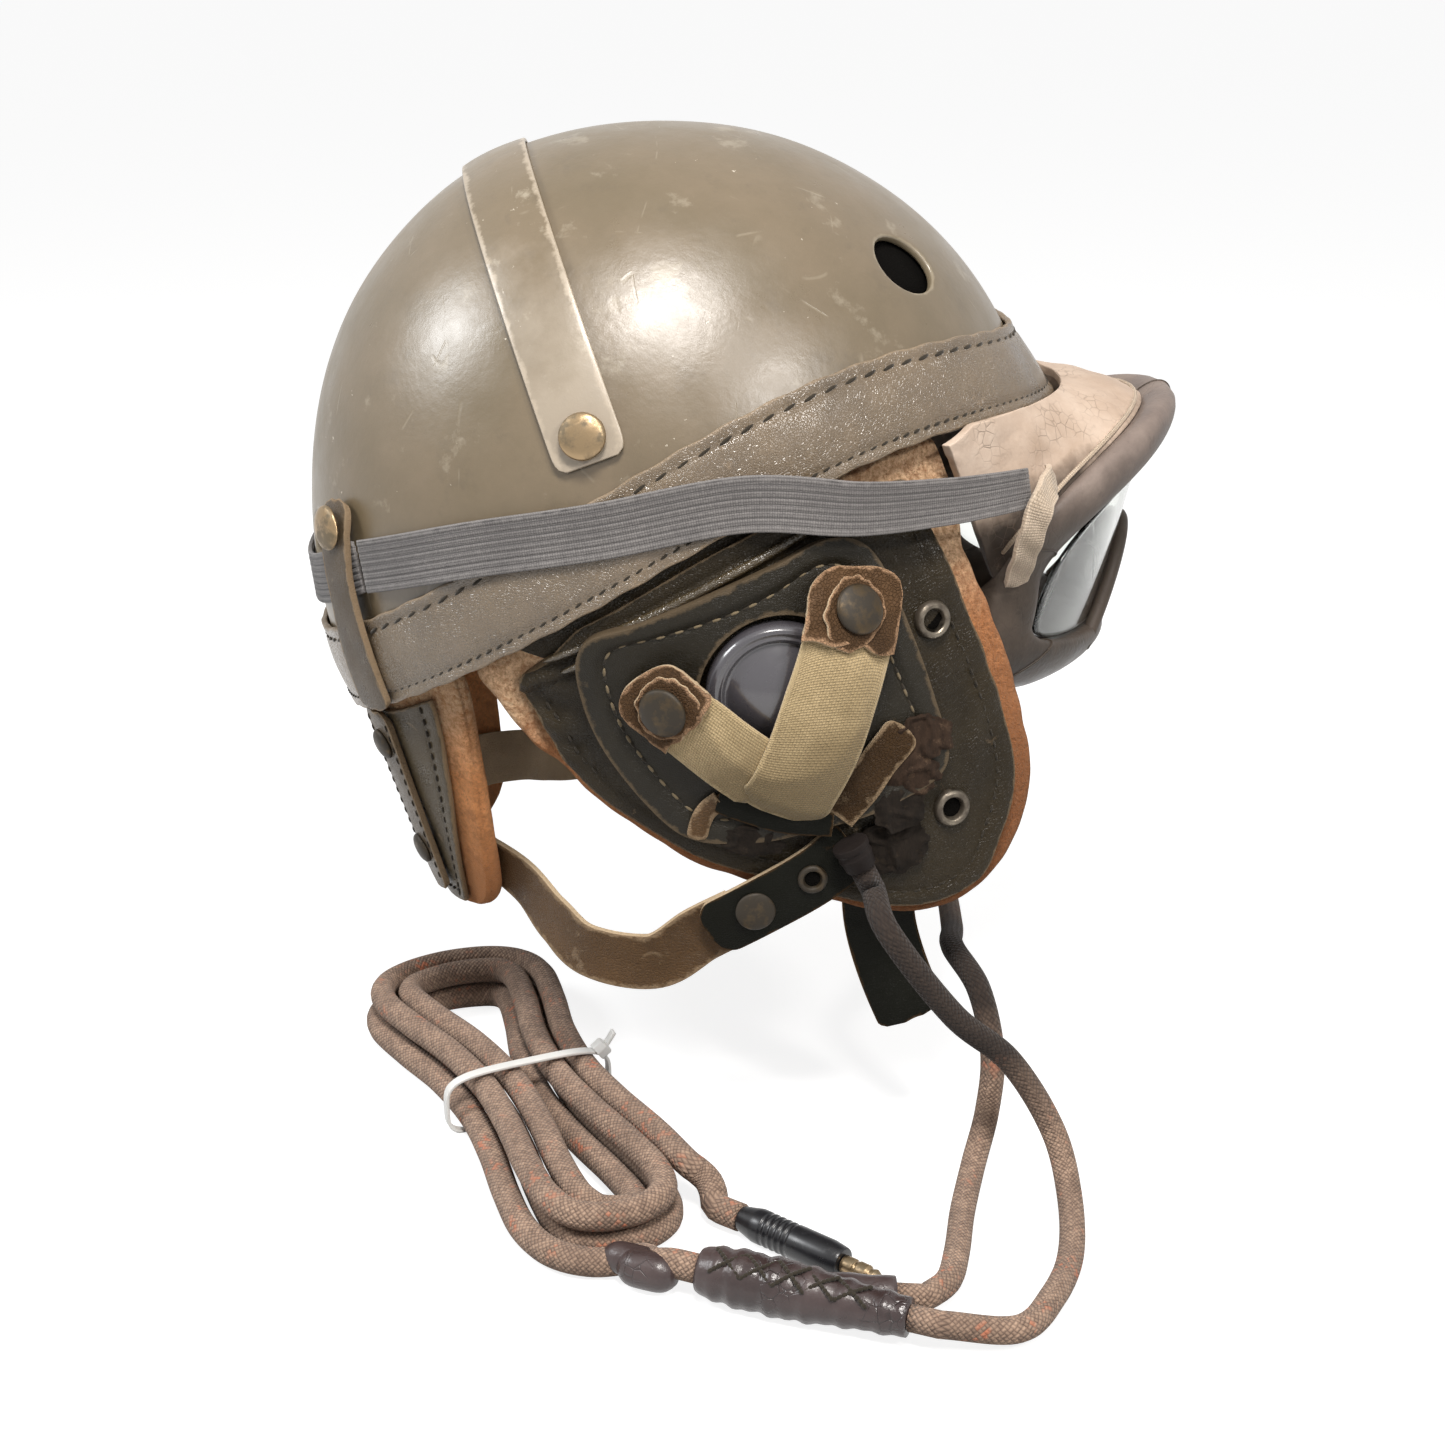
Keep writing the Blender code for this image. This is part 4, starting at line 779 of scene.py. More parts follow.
class Finish(Nodes):
    """A material with its Principled shader, the piece's own coordinates, and a bump."""

    def __init__(self, name, rough=0.5, **constants):
        self.material = bpy.data.materials.new(name)
        self.material.use_nodes = True
        super().__init__(self.material.node_tree)
        self.shader = self.tree.nodes["Principled BSDF"]
        self.set("Roughness", rough)
        for key, value in constants.items():
            self.set(key.replace("_", " ").title().replace("Ior", "IOR"), value)
        self.where = self.add("ShaderNodeTexCoord").outputs["Object"]

    def set(self, key, value):
        """Link or set one of the shader's own sockets."""
        if isinstance(value, bpy.types.NodeSocket):
            self.tree.links.new(value, self.shader.inputs[key])
        else:
            self.shader.inputs[key].default_value = value

    def effect(self, name, **inputs):
        """A shared effect's mask or height over the piece's own coordinates."""
        return self.group(name, {"Vector": self.where, **inputs})[0]

    def edge_wear(self, reach):
        """Wear from the sheet's edge inwards."""
        brim = self.add("ShaderNodeAttribute", attribute_name="brim").outputs["Fac"]
        return self.effect("edge_wear", Brim=brim, Reach=reach)

    def surface(self):
        """The piece's own UV in metres, along it and across it."""
        uv = self.add("ShaderNodeUVMap", uv_map="surface").outputs[0]
        parts = self.add("ShaderNodeSeparateXYZ", {0: uv})
        return parts.outputs[0], parts.outputs[1]

    def height(self):
        """Height in the helmet's own frame, which is tipped back."""
        lean = (-math.sin(HEAD_TILT), 0.0, math.cos(HEAD_TILT))
        return self.add("ShaderNodeVectorMath", {0: self.where, 1: lean}, operation="DOT_PRODUCT").outputs["Value"]

    def relief(self, height, depth, strength):
        """Bump the surface and give the finished material."""
        bump = self.add("ShaderNodeBump", {"Height": height, "Distance": depth, "Strength": strength})
        self.set("Normal", bump.outputs[0])
        return self.material


def paint(name, colour, reach=0.0012, drops_share=0.4, rubbed=0.0):
    """Satin paint on the pressed shell: faded, scratched and chipped."""
    f = Finish(name, 0.34, specular_ior_level=0.8)
    cloud = f.noise(f.where, 20.0, 7.0, 0.62)
    speck = f.noise(f.where, 420.0, 4.0, 0.7)
    base = f.mix(f.fade(cloud, 0.36, 0.64), four(colour, 1.06), four(colour, 0.80, 0.80, 0.72))
    smudge = f.fade(f.noise(f.where, 75.0, 7.0, 0.7), 0.56, 0.68)
    base = f.mix(f.times(smudge, 0.35), base, four(colour, 0.55))
    base = f.mix(f.times(speck, 0.28), base, four(colour, 0.62))
    drops = f.effect("scuffs", Scale=52.0, Amount=0.30)
    base = f.mix(f.times(drops, drops_share), base, four((0.36, 0.31, 0.23)))
    lines = f.effect("scratches", Scale=30.0, Amount=0.7)
    base = f.mix(f.times(lines, 0.3), base, four((0.34, 0.29, 0.21)))
    chips = f.fade(f.noise(f.where, 190.0, 4.0, 0.72), 0.70, 0.715)
    base = f.mix(f.times(chips, 0.85), base, four((0.6, 0.54, 0.44)))
    # rubbed: pale patches low on the piece, partly rubbed paint and partly a painted highlight on the glossy strap
    if rubbed:
        level = f.plus(f.height(), f.times(f.minus(f.noise(f.where, 60.0, 6.0, 0.65), 0.5), 0.05))
        base = f.mix(f.fade(level, 0.092, 0.052, 0.0, rubbed), base, four((0.50, 0.43, 0.345)))
    worn = f.edge_wear(reach)
    bare = (0.5, 0.42, 0.32) if rubbed else (0.3, 0.25, 0.17)
    f.set("Base Color", f.mix(f.times(worn, 0.6), base, four(bare)))
    f.set("Roughness", f.fade(f.noise(f.where, 70.0, 5.0, 0.6), 0.3, 0.75, 0.27, 0.40))
    dents = f.plus(f.times(speck, 0.34), f.noise(f.where, 60.0, 3.0))
    return f.relief(f.minus(dents, f.times(lines, 0.2)), 0.0006, 0.35)


def leather(name, colour, worn_to, rough=0.42, grain=620.0, wear=0.25, reach=0.0016, depth=0.00022, mottle=0.45,
            bare_edge=0.75, shine=0.4):
    """Dyed or painted leather with its grain, rubbed patches and bare edges."""
    f = Finish(name, rough, specular_ior_level=shine)
    cloud = f.fade(f.noise(f.where, 42.0, 5.0, 0.6), 0.32, 0.7)
    base = f.mix(f.times(cloud, mottle * 1.4), four(colour, 1.12), four(colour, 0.6))
    rubbed = f.effect("scuffs", Scale=85.0, Amount=wear)
    base = f.mix(f.times(rubbed, 0.5), base, four(worn_to, 0.75))
    lines = f.effect("scratches", Scale=34.0, Amount=wear * 2.0)
    base = f.mix(f.times(lines, 0.4), base, four(worn_to, 0.9))
    bare = f.edge_wear(reach)
    f.set("Base Color", f.mix(f.times(bare, bare_edge), base, four(worn_to)))
    gloss = f.fade(f.noise(f.where, 95.0, 4.0), 0.3, 0.7, rough - 0.09, rough + 0.09)
    f.set("Roughness", f.plus(gloss, f.times(bare, 0.2), True))
    pores = f.effect("grain", Scale=grain)
    height = f.plus(pores, f.times(f.noise(f.where, 130.0, 3.0), 1.2))
    return f.relief(height, depth, 0.8)


def suede(name, tan, brown):
    """Raw split leather, paler at the top and darker towards the bottom, with dark greasy patches."""
    f = Finish(name, 0.95, sheen_weight=0.25, sheen_roughness=0.5, sheen_tint=four((0.9, 0.7, 0.5)),
               specular_ior_level=0.15)
    blotch = f.noise(f.where, 70.0, 6.0, 0.65)
    # By height: tan at the top, brown lower, and darker still towards the bottom
    level = f.plus(f.height(), f.times(f.minus(blotch, 0.5), 0.035))
    base = f.mix(f.fade(level, -0.062, -0.040), four(brown), four(tan))
    base = f.mix(f.fade(level, -0.070, -0.125), base, four(brown, 0.40, 0.34, 0.30))
    grease = f.fade(f.noise(f.where, 150.0, 6.0, 0.7), 0.52, 0.66)
    base = f.mix(f.times(grease, 0.55), base, four(brown, 0.42, 0.36, 0.32))
    nap = f.noise(f.where, 620.0, 6.0, 0.78)
    pits = f.fade(f.noise(f.where, 420.0, 5.0, 0.75), 0.57, 0.66)
    base = f.mix(f.times(pits, 0.75), base, four(brown, 0.36, 0.28, 0.22))
    f.set("Base Color", f.mix(f.fade(nap, 0.40, 0.60, 0.0, 0.75), base, four(brown, 0.55, 0.5, 0.45)))
    return f.relief(f.plus(nap, f.noise(f.where, 330.0, 4.0, 0.7)), 0.0016, 1.0)


def cloth(name, colour, dark, pitch, twill=0.0, rough=0.9, depth=0.0003, ribs=0.0, darker_below=None):
    """Woven webbing, tape or elastic on the piece's own UV, with soiled patches."""
    f = Finish(name, rough, sheen_weight=0.2, sheen_roughness=0.5, specular_ior_level=0.2)
    along, across = f.surface()
    lean = f.plus(along, f.times(across, twill))
    threads = f.group("weave", {"Along": f.times(lean, 1 / pitch), "Across": f.times(across, 1 / pitch)})
    shade = f.plus(f.times(threads[0], 0.75), f.times(threads[1], 0.25))
    base = f.mix(f.fade(shade, 0.05, 0.75), four(dark), four(colour))
    if ribs:
        groove = f.apply("ABSOLUTE", f.apply("SINE", f.times(across, math.pi / ribs)))
        base = f.mix(f.fade(groove, 0.45, 0.05), base, four(dark, 0.55))
    soil = f.fade(f.noise(f.where, 55.0, 6.0, 0.65), 0.42, 0.68)
    base = f.mix(f.times(soil, 0.4), base, four(dark))
    # Darker towards the bottom, below the given height
    if darker_below:
        level = f.plus(f.height(), f.times(soil, -0.008))
        base = f.mix(f.fade(level, darker_below, darker_below - 0.022, 0.0, 0.8), base, four(dark, 0.6))
    bare = f.edge_wear(0.0014)
    f.set("Base Color", f.mix(f.times(bare, 0.4), base, four(colour, 1.25)))
    fuzz = f.times(f.noise(f.where, 1800.0, 3.0), 0.4)
    return f.relief(f.plus(threads[0], fuzz), depth, 0.8)


def braid(name, colour, dark, fleck, pitch):
    """Braided cotton cover with coloured marker threads."""
    f = Finish(name, 0.88, sheen_weight=0.1, sheen_roughness=0.6, specular_ior_level=0.15)
    along, across = f.surface()
    a = f.times(f.plus(along, across), 1 / pitch)
    b = f.times(f.minus(along, across), 1 / pitch)
    strands = f.group("weave", {"Along": a, "Across": b})
    tone = f.plus(f.times(strands[0], 0.6), f.times(strands[1], 0.4))
    base = f.mix(f.fade(tone, 0.1, 0.9), four(dark), four(colour))
    soil = f.fade(f.noise(f.where, 60.0, 5.0, 0.6), 0.35, 0.7)
    base = f.mix(f.times(soil, 0.45), base, four(dark, 0.8))
    high = f.add("ShaderNodeSeparateXYZ", {0: f.where}).outputs[2]
    base = f.mix(f.fade(high, -0.196, -0.168, 0.0, 0.93), base, four((0.016, 0.0125, 0.0115)))
    patch = f.fade(f.noise(f.where, 85.0, 2.0), 0.56, 0.7)
    patch = f.times(patch, f.fade(high, -0.168, -0.196))
    marks = f.times(f.fade(strands[1], 0.70, 0.72), patch)
    f.set("Base Color", f.mix(f.times(marks, 0.8), base, four(fleck)))
    fuzz = f.times(f.noise(f.where, 1600.0, 3.0), 0.35)
    return f.relief(f.plus(strands[0], fuzz), 0.00045, 0.8)


def metal(name, colour, dull, rough=0.38, tarnish=0.5):
    """Plated or brass fittings, tarnished and partly painted over."""
    f = Finish(name, rough)
    stain = f.fade(f.noise(f.where, 170.0, 6.0, 0.65), 0.62 - 0.3 * tarnish, 0.72 - 0.2 * tarnish)
    f.set("Base Color", f.mix(stain, four(colour), four(dull)))
    f.set("Metallic", f.fade(stain, 0.0, 1.0, 1.0, 0.35))
    lines = f.effect("scratches", Scale=90.0, Amount=1.0)
    f.set("Roughness", f.plus(f.fade(stain, 0.0, 1.0, rough - 0.06, rough + 0.16), f.times(lines, 0.15)))
    return f.relief(f.noise(f.where, 420.0, 4.0), 0.00012, 0.6)


def moulded(name, colour, rough=0.25, coat=0.0):
    """Hard moulded plastic with hairlines and dust."""
    f = Finish(name, rough, coat_weight=coat, coat_roughness=0.12)
    dust = f.effect("scuffs", Scale=160.0, Amount=0.25)
    f.set("Base Color", f.mix(f.times(dust, 0.35), four(colour), four([c * 0.7 + 0.09 for c in colour])))
    lines = f.effect("scratches", Scale=60.0, Amount=0.8)
    f.set("Roughness", f.plus(f.fade(f.noise(f.where, 120.0, 4.0), 0.3, 0.7, rough - 0.06, rough + 0.08),
                             f.times(lines, 0.2)))
    return f.relief(f.noise(f.where, 200.0, 2.0), 0.0001, 0.3)


def rubber(name, colour, bloom, rough=0.6, cracks=0.5, below=None, shine=0.35, levels=(-42.5 * MM, -59.5 * MM)):
    """Aged rubber: bloomed pale, crazed and dusty, and darker low down where below gives a colour."""
    f = Finish(name, rough, specular_ior_level=shine)
    cloud = f.fade(f.noise(f.where, 36.0, 6.0, 0.62), 0.36, 0.66)
    base = f.mix(cloud, four(colour), four(bloom))
    if below:
        level = f.plus(f.height(), f.times(f.minus(cloud, 0.5), 0.006))
        base = f.mix(f.fade(level, *levels), base, four(below))
    crazed = f.add("ShaderNodeTexVoronoi", {"Vector": f.where, "Scale": 240.0}, feature="DISTANCE_TO_EDGE")
    split = f.fade(crazed.outputs["Distance"], 0.05, 0.012)
    patch = f.fade(f.noise(f.where, 48.0, 3.0), 0.5, 0.62)
    split = f.times(f.times(split, patch), cracks)
    base = f.mix(f.times(split, 0.7), base, four(colour, 0.45))
    dirt = f.effect("scuffs", Scale=110.0, Amount=0.3)
    f.set("Base Color", f.mix(f.times(dirt, 0.35), base, four(colour, 0.6)))
    f.set("Roughness", f.fade(cloud, 0.0, 1.0, rough - 0.1, rough + 0.12))
    skin = f.plus(f.noise(f.where, 700.0, 3.0), f.times(f.noise(f.where, 110.0, 3.0), 1.5))
    return f.relief(f.minus(skin, f.times(split, 1.5)), 0.00025, 0.6)


def clear_sheet(name):
    """Clear sheet with hairlines and haze."""
    f = Finish(name, 0.07, transmission_weight=1.0, ior=1.46, base_color=four((0.93, 0.95, 0.92)))
    haze = f.effect("scratches", Scale=30.0, Amount=1.0)
    f.set("Roughness", f.plus(f.fade(f.noise(f.where, 40.0, 4.0), 0.35, 0.75, 0.04, 0.16), f.times(haze, 0.2)))
    return f.relief(f.noise(f.where, 30.0, 2.0), 0.0002, 0.2)


def torn(name, colour, light):
    """Split and fibrous leather where a layer has come off."""
    f = Finish(name, 0.9, specular_ior_level=0.2)
    shred = f.add("ShaderNodeMapping", {"Vector": f.where, "Scale": (1.0, 1.0, 0.35), "Rotation": (0.3, 0.5, 0.2)})
    fibre = f.noise(shred.outputs[0], 330.0, 7.0, 0.72)
    base = f.mix(f.fade(fibre, 0.36, 0.64), four(colour, 0.5), four(colour))
    flake = f.fade(f.noise(f.where, 210.0, 6.0, 0.7), 0.56, 0.74)
    f.set("Base Color", f.mix(flake, base, four(light)))
    return f.relief(f.plus(fibre, f.noise(f.where, 90.0, 3.0)), 0.0012, 0.9)


def finish(name):
    """The finish of that name, made on its first use with the panel's colours."""
    return bpy.data.materials.get(name) or FINISHES[name](name, bpy.context.scene.helmet_colours)


def skins(*names):
    """Finishes of a sheet's face, its back and its edge."""
    return [finish(name) for name in names]


# What a user would change
def swatch(label, note, *default):
    """A colour for the panel."""
    return FloatVectorProperty(name=label, description=note, subtype="COLOR", size=3, min=0.0, max=1.0,
                               default=default)


def measure(label, note, default):
    """A length for the panel."""
    return FloatProperty(name=label, description=note, unit="LENGTH", min=0.0, default=default)


class HelmetColours(PropertyGroup):
    """Colours of the finishes, in linear light."""

    shell: swatch("Shell", "Olive paint of the pressed shell", 0.176, 0.132, 0.080)
    band: swatch("Band", "Painted leather of the rim band and of the straps on the shell", 0.170, 0.122, 0.073)
    flap: swatch("Flaps", "Dyed leather of the ear flaps and the neck flap", 0.029, 0.021, 0.0105)
    panel: swatch("Panels", "Dark leather of the receiver panels", 0.0150, 0.0118, 0.0062)
    raw: swatch("Raw leather", "Bare leather where paint and dye are rubbed off", 0.40, 0.285, 0.175)
    brown: swatch("Brown strap", "Undyed leather of the neck straps", 0.105, 0.058, 0.025)
    dark: swatch("Dark strap", "Blackish green leather of the tabs and the chin straps", 0.0072, 0.0074, 0.0050)
    # tan colours the top of the linings and suede the parts lower down, which turn darker towards the bottom
    tan: swatch("Suede, clean", "Suede lining where it is clean", 0.98, 0.68, 0.42)
    suede: swatch("Suede, worn", "Suede lining where it is worn", 0.96, 0.42, 0.165)
    webbing: swatch("Webbing", "Cotton webbing of the receiver straps", 0.62, 0.475, 0.27)
    elastic: swatch("Elastic", "Ribbed elastic of the goggle straps", 0.225, 0.212, 0.205)
    hood: swatch("Hood", "Aged rubber of the goggle hood", 0.50, 0.375, 0.285)
    frame: swatch("Frame", "Rubber of the goggle frame", 0.050, 0.039, 0.031)
    tape: swatch("Tape", "Cotton tape of the goggle loops", 0.66, 0.54, 0.42)
    cord: swatch("Cord", "Braided cover of the cords", 0.50, 0.345, 0.25)
    fleck: swatch("Cord fleck", "Marker threads in the braid", 0.52, 0.17, 0.09)
    brass: swatch("Brass", "Studs, rivets and the plug's tip", 0.42, 0.30, 0.175)


class HelmetSizes(PropertyGroup):
    """Sizes of what is sewn and filled."""

    long_stitch: measure("Long stitch", "Step of the heavy stitching on the band", 7.5 * MM)
    short_stitch: measure("Short stitch", "Step of the fine stitching", 4.4 * MM)
    thread: measure("Thread", "Thickness of the heavy thread", 1.3 * MM)
    swell: measure("Swell", "How far the cushions may swell", 1.6 * MM)


FINISHES = {
    "shell_paint": lambda name, c: paint(name, c.shell),
    # The crown strap's pale lower part is partly rubbed paint and partly a painted highlight
    "strap_paint": lambda name, c: paint(name, toned(c.shell, 1.04), reach=0.002, drops_share=0.75, rubbed=0.55),
    "shell_inside": lambda name, c: leather(name, (0.03, 0.024, 0.016), (0.09, 0.07, 0.05), rough=0.7),
    "band_leather": lambda name, c: leather(name, c.band, c.raw, rough=0.27, grain=1150.0, wear=0.15, reach=0.0009,
                                            depth=0.0002, mottle=0.55, bare_edge=0.3, shine=0.85),
    "flap_leather": lambda name, c: leather(name, c.flap, c.raw, rough=0.30, grain=1050.0, wear=0.06, reach=0.0007,
                                            depth=0.0002, mottle=0.6, bare_edge=0.3, shine=0.17),
    "neck_leather": lambda name, c: leather(name, toned(c.flap, 2.5), c.raw, rough=0.34, grain=1000.0, wear=0.12,
                                            reach=0.0009, depth=0.0002, mottle=0.6, bare_edge=0.4, shine=0.2),
    # A paler copy of the flap leather for the welts: the paler colour is a painted highlight
    "welt_leather": lambda name, c: leather(name, toned(c.flap, 2.6), c.raw, rough=0.24, grain=1000.0, wear=0.3,
                                            reach=0.0007, depth=0.0002, mottle=0.6, bare_edge=0.3, shine=0.8),
    "cover_leather": lambda name, c: leather(name, toned(c.band, 0.55), c.raw, rough=0.34, grain=1100.0, wear=0.2,
                                             reach=0.0010, depth=0.0002, mottle=0.6, bare_edge=0.5, shine=0.22),
    # Panels: the pale edge is partly a worn edge and partly a painted highlight on the raised edge
    "panel_leather": lambda name, c: leather(name, c.panel, c.band, rough=0.38, grain=1300.0, wear=0.04,
                                             reach=0.0015, depth=0.00015, mottle=0.4, bare_edge=0.55, shine=0.24),
    "brown_leather": lambda name, c: leather(name, c.brown, c.raw, rough=0.45, grain=900.0, wear=0.35, reach=0.0018,
                                             depth=0.0003, mottle=0.6, bare_edge=0.6, shine=0.2),
    "black_leather": lambda name, c: leather(name, c.dark, c.brown, rough=0.42, grain=1300.0, wear=0.06,
                                             reach=0.0007, depth=0.00015, mottle=0.3, bare_edge=0.5, shine=0.08),
    "end_leather": lambda name, c: leather(name, (0.105, 0.058, 0.028), (0.44, 0.27, 0.16), rough=0.6, grain=900.0,
                                           wear=0.16, reach=0.0012, depth=0.0006, mottle=0.8, bare_edge=0.8,
                                           shine=0.12),
    "torn_dark": lambda name, c: torn(name, (0.020, 0.0145, 0.0105), (0.042, 0.030, 0.020)),
    "raw_edge": lambda name, c: leather(name, c.raw, (0.52, 0.40, 0.26), rough=0.8, grain=800.0, wear=0.3,
                                        reach=0.0004, depth=0.0003, mottle=0.5),
    "torn_leather": lambda name, c: torn(name, (0.052, 0.031, 0.020), (0.15, 0.095, 0.06)),
    "suede_nap": lambda name, c: suede(name, c.tan, c.suede),
    "ear_nap": lambda name, c: suede(name, c.tan, toned(c.suede, 0.66, 0.62, 0.62)),
    "tongue_leather": lambda name, c: leather(name, toned(c.brown, 0.5), c.raw, rough=0.45, grain=900.0, wear=0.25,
                                              reach=0.0014, depth=0.0004, mottle=0.6, bare_edge=0.6, shine=0.1),
    # Near-black for the discs behind the vents and in the eyelets' holes: painted shade
    "vent_felt": lambda name, c: leather(name, (0.004, 0.0035, 0.003), (0.008, 0.007, 0.006), rough=0.9,
                                         grain=900.0, wear=0.1, reach=0.0004, depth=0.0003, mottle=0.5,
                                         bare_edge=0.2, shine=0.05),
    "pad_felt": lambda name, c: suede(name, (0.12, 0.10, 0.08), (0.09, 0.075, 0.06)),
    # The webbing is darker towards the bottom of the V straps
    "cotton_webbing": lambda name, c: cloth(name, c.webbing, (0.36, 0.265, 0.135), 0.95 * MM, twill=0.35,
                                            darker_below=-0.059),
    "ribbed_elastic": lambda name, c: cloth(name, c.elastic, (0.10, 0.094, 0.094), 0.8 * MM, twill=0.0, rough=0.8,
                                            depth=0.0002, ribs=2.125 * MM),
    "cotton_tape": lambda name, c: cloth(name, c.tape, (0.40, 0.31, 0.22), 0.9 * MM),
    "braided_cover": lambda name, c: braid(name, c.cord, (0.15, 0.10, 0.076), c.fleck, 1.9 * MM),
    "dull_brass": lambda name, c: metal(name, toned(c.brass, 0.22), (0.026, 0.0190, 0.011), rough=0.4, tarnish=1.0),
    "worn_brass": lambda name, c: metal(name, toned(c.brass, 0.8), (0.14, 0.105, 0.06), rough=0.36, tarnish=0.55),
    "plated_steel": lambda name, c: metal(name, (0.20, 0.172, 0.135), (0.07, 0.055, 0.04), rough=0.36, tarnish=0.7),
    "receiver_cap": lambda name, c: moulded(name, (0.060, 0.056, 0.064), rough=0.26, coat=1.0),
    "plug_body": lambda name, c: moulded(name, (0.011, 0.011, 0.013), rough=0.3),
    "tie_nylon": lambda name, c: moulded(name, (0.72, 0.72, 0.70), rough=0.35),
    "sleeve_skin": lambda name, c: rubber(name, (0.040, 0.026, 0.025), (0.078, 0.054, 0.052), rough=0.32,
                                          cracks=0.9, shine=0.5),
    "boot_skin": lambda name, c: rubber(name, (0.0105, 0.0080, 0.0075), (0.022, 0.0175, 0.016), rough=0.5,
                                        cracks=0.3, shine=0.08),
    "frame_skin": lambda name, c: rubber(name, c.frame, toned(c.frame, 2.1), rough=0.42, cracks=0.2, shine=0.16),
    "roll_skin": lambda name, c: rubber(name, (0.18, 0.142, 0.124), (0.31, 0.25, 0.215), rough=0.5, cracks=0.3,
                                        below=toned(c.frame, 1.5), shine=0.2),
    # Below the elastic the hood turns to the frame's colour: partly the frame's own rubber and partly painted shade
    # under the elastic
    "hood_skin": lambda name, c: rubber(name, c.hood, (0.70, 0.57, 0.465), rough=0.6, cracks=0.6,
                                        below=toned(c.frame, 1.5), shine=0.2, levels=(-36 * MM, -44 * MM)),
    "lens": lambda name, c: clear_sheet(name),
    "dark_thread": lambda name, c: cloth(name, (0.045, 0.036, 0.024), (0.012, 0.01, 0.008), 0.4 * MM),
    # Pale stitches between the panels' dark ones: partly pale thread and partly painted highlights
    "pale_thread": lambda name, c: cloth(name, (0.23, 0.18, 0.11), (0.09, 0.068, 0.04), 0.4 * MM),
}


# Stage
CAMERA_TURN, CAMERA_RISE = math.radians(-5.0), math.radians(20.0)
CAMERA_AWAY, CAMERA_LENS = 0.80, 53.81
CAMERA_TARGET = Vector((0.015, 0.0, -0.105))
# Name, direction, distance, width, watts and tint
LAMPS = (
    ("key", (0.0, -0.54, 0.84), 1.3, 0.36, 17.0, (1.0, 0.96, 0.92)),
    ("rear", (-0.81, -0.06, 0.55), 1.2, 0.36, 7.0, (0.96, 0.98, 1.0)),
    ("front", (0.436, -0.71, 0.553), 1.3, 0.16, 5.2, (1.0, 0.97, 0.94)),
)
WHITE = (1.0, 1.0, 1.0, 1.0)
WORLD_LIGHT = 0.26
FLOOR_GREY = (0.42, 0.42, 0.42, 1.0)
FLOOR_GLOW = 0.84
FLOOR_HALF = 30.0


def seen_directly(nodes):
    """One for a camera, glossy or clear ray, zero for the light that falls on things."""
    path = nodes.add("ShaderNodeLightPath").outputs
    seen = nodes.apply("MAXIMUM", path["Is Camera Ray"], path["Is Glossy Ray"])
    return nodes.apply("MAXIMUM", seen, path["Is Transmission Ray"])


def make_camera(scene):
    """A camera that looks at the helmet's right side from a little above."""
    level = math.cos(CAMERA_RISE)
    back = Vector((math.sin(CAMERA_TURN) * level, -math.cos(CAMERA_TURN) * level, math.sin(CAMERA_RISE)))
    right = Vector((math.cos(CAMERA_TURN), math.sin(CAMERA_TURN), 0.0))
    look = Matrix((right, back.cross(right), back)).transposed().to_4x4()
    eye = bpy.data.cameras.new("camera")
    eye.lens = CAMERA_LENS
    eye.clip_start = 0.01
    scene.camera = bpy.data.objects.new("camera", eye)
    scene.camera.matrix_world = Matrix.Translation(CAMERA_TARGET + back * CAMERA_AWAY) @ look
    scene.collection.objects.link(scene.camera)


def make_lights(scene):
    """Three lamps, and a sky that looks white but gives less light than it shows."""
    for name, aim, reach, wide, power, tint in LAMPS:
        lamp = bpy.data.lights.new(name, "AREA")
        lamp.size = wide
        lamp.energy = power
        lamp.color = tint
        holder = bpy.data.objects.new(name, lamp)
        holder.matrix_world = facing(Vector(aim) * reach, aim)
        scene.collection.objects.link(holder)
    scene.world = bpy.data.worlds.new("studio")
    scene.world.use_nodes = True
    nodes = Nodes(scene.world.node_tree)
    light = nodes.tree.nodes["Background"]
    light.inputs["Color"].default_value = WHITE
    strength = nodes.fade(seen_directly(nodes), 0.0, 1.0, WORLD_LIGHT, 1.0)
    nodes.tree.links.new(strength, light.inputs["Strength"])


def make_floor():
    """A pale floor that looks as white as the sky."""
    f = Finish("floor", 0.9, base_color=FLOOR_GREY, specular_ior_level=0.0, emission_color=WHITE)
    f.set("Emission Strength", f.fade(seen_directly(f), 0.0, 1.0, 0.0, FLOOR_GLOW))
    mesh = bpy.data.meshes.new("floor")
    corners = [(x * FLOOR_HALF, y * FLOOR_HALF, TABLE) for x, y in ((-1, -1), (1, -1), (1, 1), (-1, 1))]
    mesh.from_pydata(corners, [], [(0, 1, 2, 3)])
    shown("floor", mesh, [f.material])


def make_stage():
    """Camera, lights and floor."""
    scene = bpy.context.scene
    scene.view_settings.view_transform = "Standard"
    make_camera(scene)
    make_lights(scene)
    make_floor()


# Cords: routes as the frame has them, already in the frame that they are shown in
GLAND_RADIUS = 6.0 * MM
GLAND_LENGTH = 9.0 * MM
GLAND_HEADING = np.array([0.12, 0.0, -1.0]) / math.hypot(0.12, 1.0)
SLEEVE_RADIUS = 8.8 * MM
LEG_RADIUS = 6.0 * MM
SLEEVE_RIGHT = np.array([51.0, -218.5, 0.0]) * MM + np.array([0.0, 0.0, TABLE + SLEEVE_RADIUS])
SLEEVE_LEFT = np.array([-8.0, -189.0, 0.0]) * MM + np.array([0.0, 0.0, TABLE + SLEEVE_RADIUS])
SLEEVE_LINE = unit(SLEEVE_RIGHT - SLEEVE_LEFT)
LEG_ROOT = np.array([20.0 * MM, -203.0 * MM, TABLE + SLEEVE_RADIUS])
LEG_END = np.array([49.0 * MM, -204.5 * MM, TABLE + LEG_RADIUS + 0.6 * MM])
